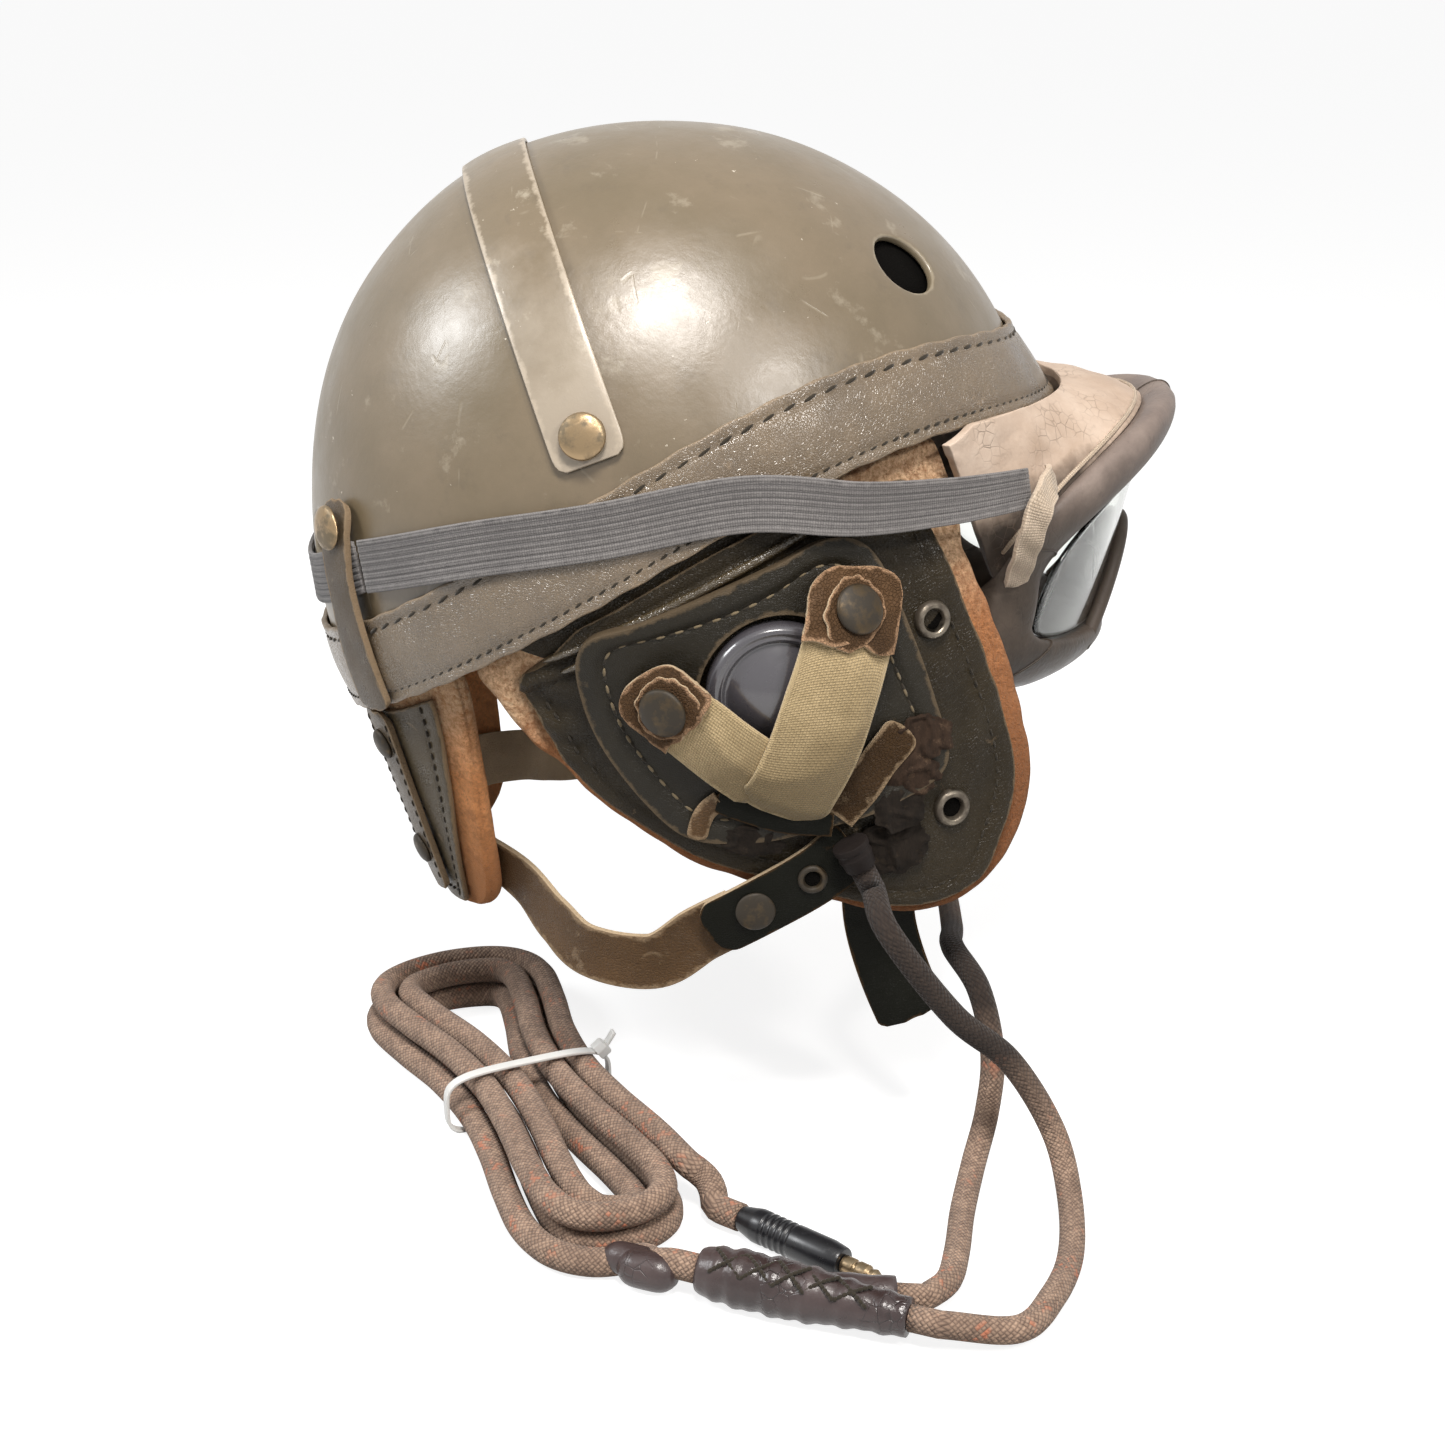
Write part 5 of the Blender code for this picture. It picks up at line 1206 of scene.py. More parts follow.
LEG_LINE = unit(LEG_END - LEG_ROOT)
HANK_MIDDLE = np.array([-60.0, -77.0]) * MM
HANK_HEADING = np.array([0.334, -0.943])
HANK_BESIDE = np.array([0.943, 0.334])
HANK_HALF = 104.0 * MM
HANK_WAIST = 23.7 * MM
HANK_BULGE = (54.0 * MM, 36.0 * MM)
HANK_STEP = 2 * HANK_RADIUS + 1.3 * MM
HANK_LOOPS = 4
HANK_SHORT = 3
LOOP_POINTS = 24
PLUG_RADIUS = 5.6 * MM
PLUG_LENGTH = 40.0 * MM
PLUG_END = np.array([7.5 * MM, -157.0 * MM, TABLE + PLUG_RADIUS])
PLUG_LINE = np.array([0.72, -0.694, 0.0])
LIE = TABLE + CORD_RADIUS + 0.2 * MM
RIGHT_WAY = (
    (0.056, -0.136, -0.128), (0.077, -0.14, -0.156), (0.096, -0.141, -0.173), (0.110, -0.146, -0.196),
    (0.113, -0.160, LIE + 0.006), (0.108, -0.184, LIE), (0.097, -0.206, LIE), (0.083, -0.222, LIE + 0.001),
)
LEFT_WAY = (
    (0.064, 0.127, -0.138), (0.089, 0.119, -0.165), (0.107, 0.09, -0.185), (0.108, 0.04, -0.19),
    (0.098, -0.03, -0.177), (0.089, -0.076, -0.163), (0.093, -0.103, -0.166), (0.096, -0.115, -0.184),
    (0.094, -0.120, -0.203), (0.087, -0.134, LIE + 0.003), (0.079, -0.157, LIE), (0.073, -0.179, LIE),
    (0.067, -0.196, LIE + 0.001),
)


def gland_start(side):
    """Where a cord's boot starts on the ear flap."""
    x, z = 9 * MM, -112.5 * MM
    y = flap_y(x, z) + FLAP_LEATHER / 2 + 2 * GAP + LEATHER + GLAND_RADIUS
    return np.array([x, side * y, z])


def branch_route(side):
    """A receiver cord's route from its boot to the sleeve."""
    mouth = tipped(gland_start(side) + GLAND_HEADING * (GLAND_LENGTH + GAP))
    heading = tipped(GLAND_HEADING)
    if side < 0:
        end, line, clear, count, middle = SLEEVE_RIGHT, SLEEVE_LINE, 9 * MM, 24, RIGHT_WAY
    else:
        end, line, clear, count, middle = LEG_END, LEG_LINE, 10 * MM, 38, LEFT_WAY
    end = end + line * GAP
    route = [mouth, mouth + heading * clear, *middle, end + line * 9 * MM, end]
    run = smooth(route[1:-1], 5 * count)
    return np.vstack([[mouth], run, [end]])


def hank_outline(phase):
    """The outermost loop, along the hank and across it."""
    c = math.cos(phase)
    wide = HANK_WAIST + HANK_BULGE[c > 0] * c**2
    return np.array([HANK_HALF * c, -wide * math.sin(phase)])


def hank_route():
    """Loops spiral in on the lower layer and out on the upper, drawn in at the waist, and end at the plug."""
    low = TABLE + HANK_RADIUS + 0.2 * MM
    loops = []
    for step in range(HANK_LOOPS * LOOP_POINTS + 1 - HANK_SHORT):
        turn = step / LOOP_POINTS
        phase = 2 * math.pi * turn
        inward = HANK_STEP * (HANK_LOOPS / 2 - abs(turn - HANK_LOOPS / 2))
        climb = ease(turn, HANK_LOOPS / 2 - 0.25, HANK_LOOPS / 2 + 0.25)
        along = unit(hank_outline(phase + 0.01) - hank_outline(phase - 0.01))
        flat = hank_outline(phase) + inward * np.array([along[1], -along[0]])
        spot = HANK_MIDDLE + HANK_HEADING * flat[0] + HANK_BESIDE * flat[1]
        loops.append(np.array([*spot, low + (2 * HANK_RADIUS + 0.9 * MM) * climb]))
    start = SLEEVE_LEFT - SLEEVE_LINE * GAP
    lead = start - SLEEVE_LINE * 9 * MM
    last = PLUG_END - PLUG_LINE * GAP
    tail = last - PLUG_LINE * 10 * MM
    way_in = smooth([lead, (lead + loops[0]) / 2 + np.array([-1.5, -1.0, 0.0]) * MM, loops[0]], 3)[:-1]
    way_out = smooth([loops[-1], (loops[-1] + tail) / 2 + np.array([2.5, 1.5, 0.0]) * MM, tail], 5)[1:]
    return smooth([start, *way_in, *loops, *way_out, last], 900)


def make_cords():
    """Receiver cords with their boots, and the tied main cord."""
    sleeve = make_sleeve()
    plug = make_plug()
    tie = make_tie()
    for side, hand in SIDES:
        path = branch_route(side)
        cord = tube(f"receiver_cord_{hand}", path, CORD_RADIUS, [finish("braided_cover")], 20)
        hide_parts(f"cord_{hand}", f"cord_upper_{hand}")
        if side < 0:
            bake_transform(cord)
        else:
            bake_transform(cord)
        place = TIP_MATRIX @ facing(gland_start(side), GLAND_HEADING)
        r = GLAND_RADIUS
        boot = [(0.0, 0.0), (r, 0.0), (r, 2 * MM), (r * 0.93, 2.6 * MM), (r * 0.93, 4 * MM), (r * 0.97, 4.4 * MM),
                (r * 0.9, 6 * MM), (r * 0.85, GLAND_LENGTH), (0.0, GLAND_LENGTH)]
        gland = turned(f"cord_boot_{hand}", boot, place, [finish("boot_skin")], 32, 0.3 * MM)
        hand_over(gland, f"ear_flap_{hand}", "sleeve", f"cord_gland_{hand}")
    path = hank_route()
    hank = tube("main_cord", path, HANK_RADIUS, [finish("braided_cover")], 18)
    hand_over(hank, "helmet", "braid", "cord_hank")


def make_sleeve():
    """The laced leather sleeve over the joint, with its second leg, and the dark boot beside it."""
    steps = np.linspace(0.0, 1.0, 60)
    shares = [0.75, 0.95, 1.0, 1.0, LEG_RADIUS * 1.15 / SLEEVE_RADIUS, LEG_RADIUS / SLEEVE_RADIUS]
    radius = np.interp(steps, [0, 0.08, 0.2, 0.45, 0.75, 1.0], shares)
    radius = radius * SLEEVE_RADIUS * (1 + 0.035 * np.sin(steps * 37) + 0.03 * np.sin(steps * 71 + 1))
    path = SLEEVE_LEFT + (SLEEVE_RIGHT - SLEEVE_LEFT) * steps[:, None]
    barrel = tube("barrel", path, radius, [finish("sleeve_skin")], 36)
    share = np.linspace(0.0, 1.0, 24)
    arm = tube("arm", LEG_ROOT + (LEG_END - LEG_ROOT) * share[:, None],
               LEG_RADIUS * (1.1 - 0.1 * share) * (1 + 0.03 * np.sin(share * 15)), [finish("sleeve_skin")], 28)
    up = np.array([0.0, 0.0, 1.0])
    side = unit(np.cross(up, SLEEVE_LINE))
    lacing = []
    for far in (0.16, 0.31, 0.46, 0.61, 0.76):
        spot = path[int(far * 59)]
        r = radius[int(far * 59)]
        for lean in (-1, 1):
            roll = np.linspace(-0.55, 0.35, 9) - 0.35
            line = [spot + SLEEVE_LINE * lean * 4.5 * MM * (k / 4 - 1)
                    + (side * math.sin(a) + up * math.cos(a)) * (r + 0.25 * MM) for k, a in enumerate(roll)]
            line = np.array(line)
            lacing.append((line, unit(line - spot)))
    laces = stitched("laces", lacing, finish("dark_thread"), 1.4 * MM, 2.2 * MM, 1.5 * MM)
    parts = [barrel, arm, laces]
    base = np.array([-24 * MM, -184 * MM, TABLE + 6.2 * MM])
    for number, (shift, r) in enumerate((((0.0, 0.0, 0.0), 9.0), ((-4.5, 5.0, 0.4), 7.6))):
        line = np.linspace(-1, 1, 18)
        hull = base + np.array(shift) * MM + np.outer(line, SLEEVE_LINE) * 9.5 * MM
        taper = r * MM * 0.68 * (1 - 0.55 * line**4)
        parts.append(tube(f"boot_{number}", hull, taper, [finish("sleeve_skin")], 24))
    sleeve = joined("laced_sleeve", parts)
    return hand_over(sleeve, "helmet", "sleeve", "splice_sleeve")


def make_plug():
    """The ringed plug and its pin."""
    place = facing(PLUG_END, PLUG_LINE)
    r, long = PLUG_RADIUS, PLUG_LENGTH
    stem = [(0.0, 0.0), (r * 0.70, 0.0), (r * 0.74, 1 * MM), (r * 0.96, 6 * MM), (r, 7 * MM)]
    for ring in range(5):
        at = 10 * MM + ring * 2.4 * MM
        stem += [(r, at), (r * 0.93, at + 0.5 * MM), (r * 0.93, at + 1.3 * MM), (r, at + 1.8 * MM)]
    stem += [(r, long - 5 * MM), (r * 0.9, long - 1 * MM), (r * 0.85, long), (0.0, long)]
    body = turned("plug_body", stem, place, [finish("plug_body")], 40, 0.25 * MM)
    hand_over(body, "helmet", "bakelite", "plug_shell")
    t, far = 2.9 * MM, 14 * MM
    pin = [(0.0, 0.0), (t, 0.0), (t, 4 * MM), (t * 0.82, 4.3 * MM), (t * 0.82, 5.2 * MM), (t, 5.5 * MM),
           (t, far - 5 * MM), (t * 0.72, far - 4 * MM), (t * 0.9, far - 2.4 * MM), (t * 0.4, far), (0.0, far)]
    seat = facing(PLUG_END + PLUG_LINE * (PLUG_LENGTH + 0.3 * MM), PLUG_LINE)
    tip = turned("plug_pin", pin, seat, [finish("worn_brass")], 32, 0.2 * MM)
    hand_over(tip, "helmet", "brass", "plug_tip")
    return body, tip


def make_tie():
    """A notched strap round the waist of the hank, with its lock and its cut end."""
    wall, wide, lock = 1.2 * MM, 3.6 * MM, 3.6 * MM
    half = (HANK_WAIST + HANK_RADIUS + 1.2 * MM + 0.5 * MM, 2 * HANK_RADIUS + 1.2 * MM + 1.2 * MM)
    middle = TABLE + HANK_RADIUS + 0.2 * MM + HANK_RADIUS + 0.45 * MM

    def ring(u, v):
        c, s = np.cos(2 * math.pi * u), np.sin(2 * math.pi * u)
        out = np.sign(c) * np.abs(c) ** 0.5 * half[0]
        up = np.sign(s) * np.abs(s) ** 0.5 * half[1]
        flat = HANK_MIDDLE + HANK_BESIDE * out[..., None] + HANK_HEADING * ((v - 0.5) * wide)[..., None]
        return np.concatenate([flat, (middle + up)[..., None]], -1)

    u, v = mesh_grid(144, 4)
    core = (*HANK_MIDDLE, middle)
    strap = slab("strap", ring(u, v), wall, [finish("tie_nylon")], core, soft=0.25)
    knot = ring(np.array([0.115]), np.array([0.5]))[0]
    way = unit(np.array([*(HANK_BESIDE * 0.8), 0.6]))
    square = [(0.0, -0.4 * MM), (lock, -0.4 * MM), (lock, lock), (lock * 0.8, lock * 1.15), (0.0, lock * 1.2)]
    head = turned("lock", square, facing(knot, way), [finish("tie_nylon")], 8, 0.3 * MM)
    tail = smooth([knot, knot + way * 4 * MM, knot + way * 8 * MM + np.array([0, 0, 2.0]) * MM], 12)
    spots = ribbon(tail, lambda p: np.zeros_like(p) + np.array([-0.6, 0.0, 0.8]), 4.4 * MM, 12, 3)
    spare = slab("tail", spots, wall, [finish("tie_nylon")], knot - way, soft=0.25)
    return hand_over(joined("cord_tie", [strap, head, spare]), "helmet", "nylon", "hank_tie")


# Shell and what is sewn to it
CAP_RISE = 3.2 * MM
CAP = ((0.0, 0.0), (0.86, 0.0), (1.0, 0.22), (1.0, 0.42), (0.94, 0.62), (0.80, 0.78), (0.62, 0.9), (0.34, 0.98),
       (0.0, 1.02))
# Cells from a vent's middle to its edge, and to where the grid is even again
VENT_CELLS = 4
VENT_EASE = 9


def cap_profile(radius, rise=CAP_RISE):
    """Profile of a domed stud."""
    return [(r * radius, h * rise) for r, h in CAP]


def open_vent(angle, height, kept, turn, level):
    """Draw the grid's cells round a vent into rings, and leave out those inside it."""
    column = int(round(turn / (2 * math.pi) * kept.shape[1]))
    row = int(np.argmin(np.abs(height[:, column] - level)))
    wide = np.linalg.norm(dome_point(turn + 1e-3, level) - dome_point(turn - 1e-3, level)) / 2e-3
    tall = np.linalg.norm(dome_point(turn, level + 1e-4) - dome_point(turn, level - 1e-4)) / 2e-4
    near = np.s_[row - VENT_EASE:row + VENT_EASE + 1, column - VENT_EASE:column + VENT_EASE + 1]
    beside, above = (angle[near] - turn) * wide, (height[near] - level) * tall
    down, across = np.mgrid[-VENT_EASE:VENT_EASE + 1, -VENT_EASE:VENT_EASE + 1]
    ring = np.maximum(np.abs(down), np.abs(across))
    pointing = np.arctan2(down * 1.0, across * 1.0)
    far = VENT_RADIUS * np.where(ring <= VENT_CELLS, ring / VENT_CELLS, 1 + 0.22 * (ring - VENT_CELLS))
    share = np.clip((VENT_EASE - ring) / (VENT_EASE - VENT_CELLS), 0.0, 1.0)
    angle[near] = turn + (beside * (1 - share) + far * np.cos(pointing) * share) / wide
    height[near] = level + (above * (1 - share) + far * np.sin(pointing) * share) / tall
    kept[row - VENT_CELLS:row + VENT_CELLS, column - VENT_CELLS:column + VENT_CELLS] = False


def make_shell():
    """The pressed shell with its vents, and black discs behind them: partly lining, partly painted shade."""
    columns, rows = 208, 76
    u, v = mesh_grid(columns, rows)
    angle = 2 * math.pi * u
    crown = crown_of(angle)
    low = np.arcsin((rim(angle) - CROWN_HEIGHT + crown) / crown)
    height = CROWN_HEIGHT - crown + crown * np.sin(low + (math.pi / 2 - low) * v)
    kept = np.ones((rows, columns), bool)
    vents = [(math.radians(side * bearing), level) for bearing, level in VENTS for side in (-1, 1)]
    for turn, level in vents:
        open_vent(angle, height, kept, turn % (2 * math.pi), level)
    spots = dome_point(angle, height)
    spots[-1] = (CROWN_X, 0.0, CROWN_HEIGHT)
    spots = spots + unit(spots) * (swell(spots, 0.07, 3) * 0.22 * MM)[..., None]
    skin = skins("shell_paint", "shell_inside", "shell_paint")
    parts = [slab("wall", tipped(spots), SHELL_WALL, skin, segments=3, offset=-1.0, kept=kept)]
    # Behind each vent a near-black disc, partly a lining and partly painted shade inside the shell
    felt = disc(VENT_RADIUS + 4 * MM, 1.2 * MM)
    for turn, level in vents:
        place = facing(tipped(dome(turn, level, -SHELL_WALL - 2.6 * MM)), tipped(dome_normal(turn, level)))
        parts.append(turned("vent_felt", felt, place, [finish("vent_felt")], 32))
    hand_over(joined("helmet_shell", parts), "helmet", "fibre", "shell")


BAND_ROWS = (0.86, 0.13)
BAND_SEAMS = (152.0, 208.0)
STUD_RADIUS = 7.4 * MM


def band_height(angle, share):
    """Height at a share of the rim band's width."""
    return rim(angle) - 1 * MM + BAND_WIDTH * share


def make_band(sizes):
    """Leather band round the rim, with two sewn rows, a seam at each side of the back, and wavy edges."""
    u, v = mesh_grid(420, 22)
    angle = 2 * math.pi * u
    lift = LAY + LEATHER / 2 + 0 * angle
    for row, deep, wide in zip(BAND_ROWS, (0.75, 0.6), (0.045, 0.05)):
        lift = lift - deep * MM * ridge(v, row, wide)
    lift = lift + 0.5 * MM * ridge(v, 0.5, 0.3)
    base = dome(angle, band_height(angle, v), 0.0)
    lift = lift + swell(base, 0.022, 5) * 0.2 * MM + swell(base, 0.05, 6) * 0.25 * MM
    for seam in BAND_SEAMS:
        off = angle - math.radians(seam)
        lift = lift - 0.9 * MM * ridge(off, 0.0, 0.006) + 0.5 * MM * ridge(off, 0.022, 0.012)
    wave = 0.25 * MM * np.sin(angle * 51) * ease(np.abs(v - 0.5), 0.38, 0.5)
    spots = dome(angle, band_height(angle, v) + wave, np.maximum(lift, LAY + LEATHER / 2 - 0.7 * MM))
    skin = skins("band_leather", "flap_leather", "band_leather")
    sewn = [slab("leather_band", tipped(spots), LEATHER, skin, segments=3)]
    turn = np.linspace(0.0, 2 * math.pi, 700)
    pitches = (sizes.long_stitch, sizes.short_stitch)
    for row, pitch, long, thick in zip(BAND_ROWS, pitches, (0.72, 0.7), (1.0, 0.75)):
        line = dome(turn, band_height(turn, row), LAY + LEATHER - 0.55 * MM)
        lines = [(tipped(line), tipped(dome_normal(turn, band_height(turn, row))))]
        wide = sizes.thread * thick
        sewn.append(stitched(f"row_{row}", lines, finish("dark_thread"), pitch, pitch * long, wide, slant=0.2))
    share = np.linspace(0.08, 0.92, 14)
    for seam in BAND_SEAMS:
        side = np.full(14, math.radians(seam + (1.8 if seam < 180 else -1.8)))
        line = dome(side, band_height(side, share), LAY + LEATHER - 0.2 * MM)
        outs = dome_normal(side, rim(side) + BAND_WIDTH * share)
        sewn.append(fine_row(f"seam_{seam}", [(tipped(line), tipped(outs))], sizes, 0.6, 0.7))
    hand_over(joined("rim_leather", sewn), "helmet", "leather", "rim_band")


def make_crown_strap():
    """Painted strap over the crown, riveted at both ends."""
    u, v = mesh_grid(170, 14)
    roll = CROWN_STRAP_ANGLE * (2 * u - 1)
    end = np.clip((1 - np.abs(2 * u - 1)) * CROWN_STRAP_ANGLE * 0.12 / (9 * MM), 0.0, 1.0)
    narrow = 0.72 + 0.28 * np.sqrt(1 - (1 - end) ** 3)
    x = CROWN_STRAP_X + CROWN_STRAP_WIDTH * (v - 0.5) * narrow
    flat = crown_point(x, roll, 0.0)
    wall = 1.6 * MM
    lift = LAY + wall / 2 + swell(flat, 0.03, 8) * 0.15 * MM + 0.3 * MM * (1 - (2 * v - 1) ** 2)
    lift = lift + 0.25 * MM * ridge(np.abs(roll), 0.62, 0.015) * (roll < 0)
    spots = crown_point(x, roll, lift)
    strap = slab("strap", tipped(spots), wall, skins("strap_paint", "flap_leather", "strap_paint"), segments=3)
    hand_over(joined("crown_leather", [strap]), "helmet", "leather", "crown_strap")
    for side, hand in SIDES:
        turn = side * (CROWN_STRAP_ANGLE - math.radians(4.5))
        seat = crown_point(np.array([CROWN_STRAP_X]), np.array([turn]), LAY + LEATHER + GAP)
        out = dome_out(seat)
        rivet = studded(f"crown_stud_{hand}", [(tipped(seat + out * 0.3 * MM)[0], tipped(out)[0])],
                        cap_profile(STUD_RADIUS), finish("worn_brass"))
        hand_over(rivet, "helmet", "brass", f"crown_rivet_{hand}")


KEEPER_WIDTH = 18 * MM
# Height on the shell and distance from it
KEEPER_ROUTE = ((33, 2.6), (25, 4.1), (20, 4.5), (0, 4.7), (-16, 5.0), (-35, 5.2))


def make_keepers():
    """Straps with a press stud that hold the elastic at the back."""
    for side, hand in SIDES:
        bearing = side * KEEPER_ANGLE
        heights, lifts = np.array(KEEPER_ROUTE).T * MM
        route = dome(bearing, heights, lifts)

        def relief(u, v):
            return 0.5 * MM * ridge(u, 0.34, 0.12) - 0.35 * MM * (2 * np.abs(v - 0.5)) ** 3

        spots = ribbon(route, dome_out, KEEPER_WIDTH, 54, 12, relief, (9 * MM, 4 * MM))
        waist = 1 - 0.17 * ridge(np.linspace(0, 1, 55), 0.42, 0.22)
        middle = spots.mean(axis=0, keepdims=True)
        spots = middle + (spots - middle) * waist[None, :, None]
        strap = slab(f"keeper_strap_{hand}", tipped(spots), LEATHER,
                     skins("cover_leather", "flap_leather", "cover_leather"), segments=3)
        hand_over(strap, f"keeper_{hand}", "leather", f"keeper_{hand}")
        seat = dome(bearing, heights[1], lifts[1] + LEATHER / 2 + LAY)
        heads = [(tipped(seat), tipped(dome_normal(bearing, heights[1])))]
        stud = studded(f"keeper_stud_{hand}", heads, cap_profile(STUD_RADIUS), finish("worn_brass"))
        hand_over(stud, f"keeper_{hand}", "brass", f"keeper_snap_{hand}")


# Padding
PAD_VOXEL = 3.2 * MM
SWELL_FRAMES = 20
SWELL_CLOTH = {"quality": 5, "mass": 0.3, "use_pressure": True, "uniform_pressure_force": 4.0,
               "tension_stiffness": 12.0, "compression_stiffness": 12.0, "bending_stiffness": 0.6}


def swollen(piece, most):
    """Remesh a pad, let cloth pressure swell it, cap how far it moves, and keep the plain mesh."""
    even = piece.modifiers.new("even", "REMESH")
    even.mode = "VOXEL"
    even.voxel_size = PAD_VOXEL
    piece = baked(piece)
    rest = np.array([v.co for v in piece.data.vertices])
    skin = piece.modifiers.new("swell", "CLOTH")
    for key, value in SWELL_CLOTH.items():
        setattr(skin.settings, key, value)
    skin.settings.effector_weights.gravity = 0.0
    skin.collision_settings.use_collision = False
    skin.point_cache.frame_start = 1
    skin.point_cache.frame_end = SWELL_FRAMES
    for number in range(1, SWELL_FRAMES + 1):
        bpy.context.scene.frame_set(number)
    piece = baked(piece)
    bpy.context.scene.frame_set(1)
    move = np.array([v.co for v in piece.data.vertices]) - rest
    far = np.linalg.norm(move, axis=1, keepdims=True)
    move = move * np.minimum(1.0, most / np.maximum(far, 1e-9))
    piece.data.vertices.foreach_set("co", (rest + move).astype(np.float32).ravel())
    finer = piece.modifiers.new("finer", "SUBSURF")
    finer.levels = 1
    finer.render_levels = 1
    return baked(piece)


def pad(name, far, place, middle, thick, soft, finishes, seed, columns, rows):
    """A closed pad with a full rounded edge and a seam round it.

    far(u) is its reach from its middle at a turn u, and place(u, distance, out) gives its points.
    """
    u = np.linspace(0.0, 1.0, columns + 1)
    reach = far(u)
    inner = np.linspace(0.0, 1.0, rows)
    arc = np.linspace(math.pi / 2, -math.pi / 2, 19)[1:-1]
    spread = [(reach - soft) * share for share in inner]
    spread += [reach - soft * (1 - math.cos(a)) - 0.9 * MM * ridge(a, 0.5, 0.14) for a in arc]
    spread += [(reach - soft) * share for share in inner[::-1]]
    out = [thick / 2] * rows + [thick / 2 * math.sin(a) for a in arc] + [-thick / 2] * rows
    spread, out = np.array(spread), np.array(out)[:, None] + 0 * reach[None]
    turn = np.broadcast_to(u[None], spread.shape)
    lumps = swell(place(turn, spread, middle + out), 0.014, seed) * 0.3 * MM
    spread = spread + lumps * ease(spread, 0.5 * reach[None], reach[None])
    spots = place(turn, spread, middle + out + np.minimum(lumps, 0.1 * MM))
    return baked(grid(name, tipped(spots), finishes))


CROWN_PAD_RADIUS = 55 * MM
CROWN_PAD = 7 * MM


def make_inner_fit(sizes):
    """Sweatband and crown pad inside the shell."""
    u, v = mesh_grid(240, 12)
    angle = 2 * math.pi * u
    gathers = 0.5 * MM * np.sin(angle * 40) * (1 - v) ** 2
    inset = SHELL_WALL + GAP + LEATHER / 2 + 6 * MM * (1 - v) + 0.6 * MM + gathers
    spots = dome(angle, rim(angle) + 15 * MM + 22 * MM * v, -inset)
    band = slab("sweat_leather", tipped(spots), LEATHER, skins("black_leather", "brown_leather", "brown_leather"))
    hand_over(band, "helmet", "dark_leather", "sweatband")
    u, v = mesh_grid(96, 18)
    spread = (CROWN_PAD_RADIUS - sizes.swell) * v
    x, y = CROWN_X + spread * np.cos(2 * math.pi * u), spread * np.sin(2 * math.pi * u)
    z = roof(x, y) - SHELL_WALL - CROWN_PAD / 2 - 1.3 * MM - 0.9 * MM * v
    cushion = slab("crown_cushion", tipped(np.stack([x, y, z], -1)), CROWN_PAD - 1.4 * MM, [finish("pad_felt")])
    cushion = swollen(cushion, 0.7 * MM)
    hand_over(cushion, "helmet", "felt", "crown_pad")


# Neck flap
NECK_SHY = math.radians(2.2)
NECK_LIP = math.radians(5.2)
NECK_WIDE, NECK_TALL = 130 * MM, 95 * MM
NECK_SEAM = 5.5 * MM
SPRING_TURN, SPRING_LEAN = math.radians(24.0), math.radians(1.5)
SPRING_TOP, SPRING_DROP = -47, 16.5
SPRING_WIDTH = 17 * MM


def neck_spots(u, v, out, lip=-NECK_SHY, top=0.0, foot=0.0):
    """Points of the neck flap, moved out from its leather and grown at its sides, its top and its foot."""
    spread = NECK_TOP_ANGLE + (NECK_FOOT_ANGLE - NECK_TOP_ANGLE) * np.maximum(v, 0.0) ** 1.3 + lip
    turn = (2 * u - 1) * spread
    high = rim(math.pi - turn) - NECK_DROP + top
    low = NECK_FOOT - foot + 6 * MM * (turn / NECK_TOP_ANGLE) ** 2
    return neck_point(turn, out, high + (low - high) * v)


def make_neck_leather(sizes):
    """The flap's leather, sewn along its sides and its foot."""
    u, v = mesh_grid(110, 60)
    edge = np.minimum(np.minimum(u, 1 - u) * NECK_WIDE, (1 - v) * NECK_TALL)
    out = swell(neck_spots(u, v, 0.0), 0.03, 11) * 0.35 * MM
    out = out - 0.5 * MM * ridge(edge, NECK_SEAM, 1.2 * MM) + 0.35 * MM * ridge(edge, 2 * MM, 2 * MM)
    skin = skins("neck_leather", "neck_leather", "neck_leather")
    flap = slab("flap", tipped(neck_spots(u, v, out)), LEATHER, skin, soft=0.35, segments=3)
    beside, below = NECK_SEAM / NECK_WIDE, NECK_SEAM / NECK_TALL
    down, across = np.linspace(0.03, 0.96, 60), np.linspace(0.05, 0.95, 60)
    lines = []
    for u, v in ((0 * down + beside, down), (1 - (0 * down + beside), down), (across, 1 - (0 * across + below))):
        points = neck_spots(u, v, LEATHER / 2 - 0.1 * MM)
        lines.append((tipped(points), tipped(neck_out(points))))
    sewn = fine_row("flap_row", lines, sizes, 0.65, 0.75)
    hand_over(joined("neck_leather", [flap, sewn]), "neck_flap", "dark_leather", "neck_flap")


def make_neck_lining():
    """The suede pad behind the leather, a little larger all round."""
    def corner(turn):
        c, n = np.cos(2 * math.pi * turn), np.sin(2 * math.pi * turn)
        size = (np.abs(c) ** 10 + np.abs(n) ** 10) ** -0.1
        return c * size, n * size

    def far(turn):
        a, b = corner(turn)
        return np.hypot(a * 92 * MM, b * 53 * MM)

    def place(turn, spread, out):
        a, b = corner(turn)
        share = spread / far(turn)
        return neck_spots(0.5 + 0.5 * a * share, 0.5 - 0.5 * b * share, out, NECK_LIP, 12 * MM, 4 * MM)

    deep = LEATHER / 2 + GAP + NECK_PAD / 2
    lining = pad("neck_pad", far, place, -deep, NECK_PAD, NECK_PAD * 0.55, [finish("suede_nap")], 12, 220, 30)
    hand_over(lining, "neck_flap", "suede", "neck_lining")


def spring_point(side, step, out):
    """Points down a spring cover, counted in steps from its upper rivet."""
    angle = side * (SPRING_TURN - SPRING_LEAN * step)
    return neck_point(angle, out, (SPRING_TOP - SPRING_DROP * step) * MM)


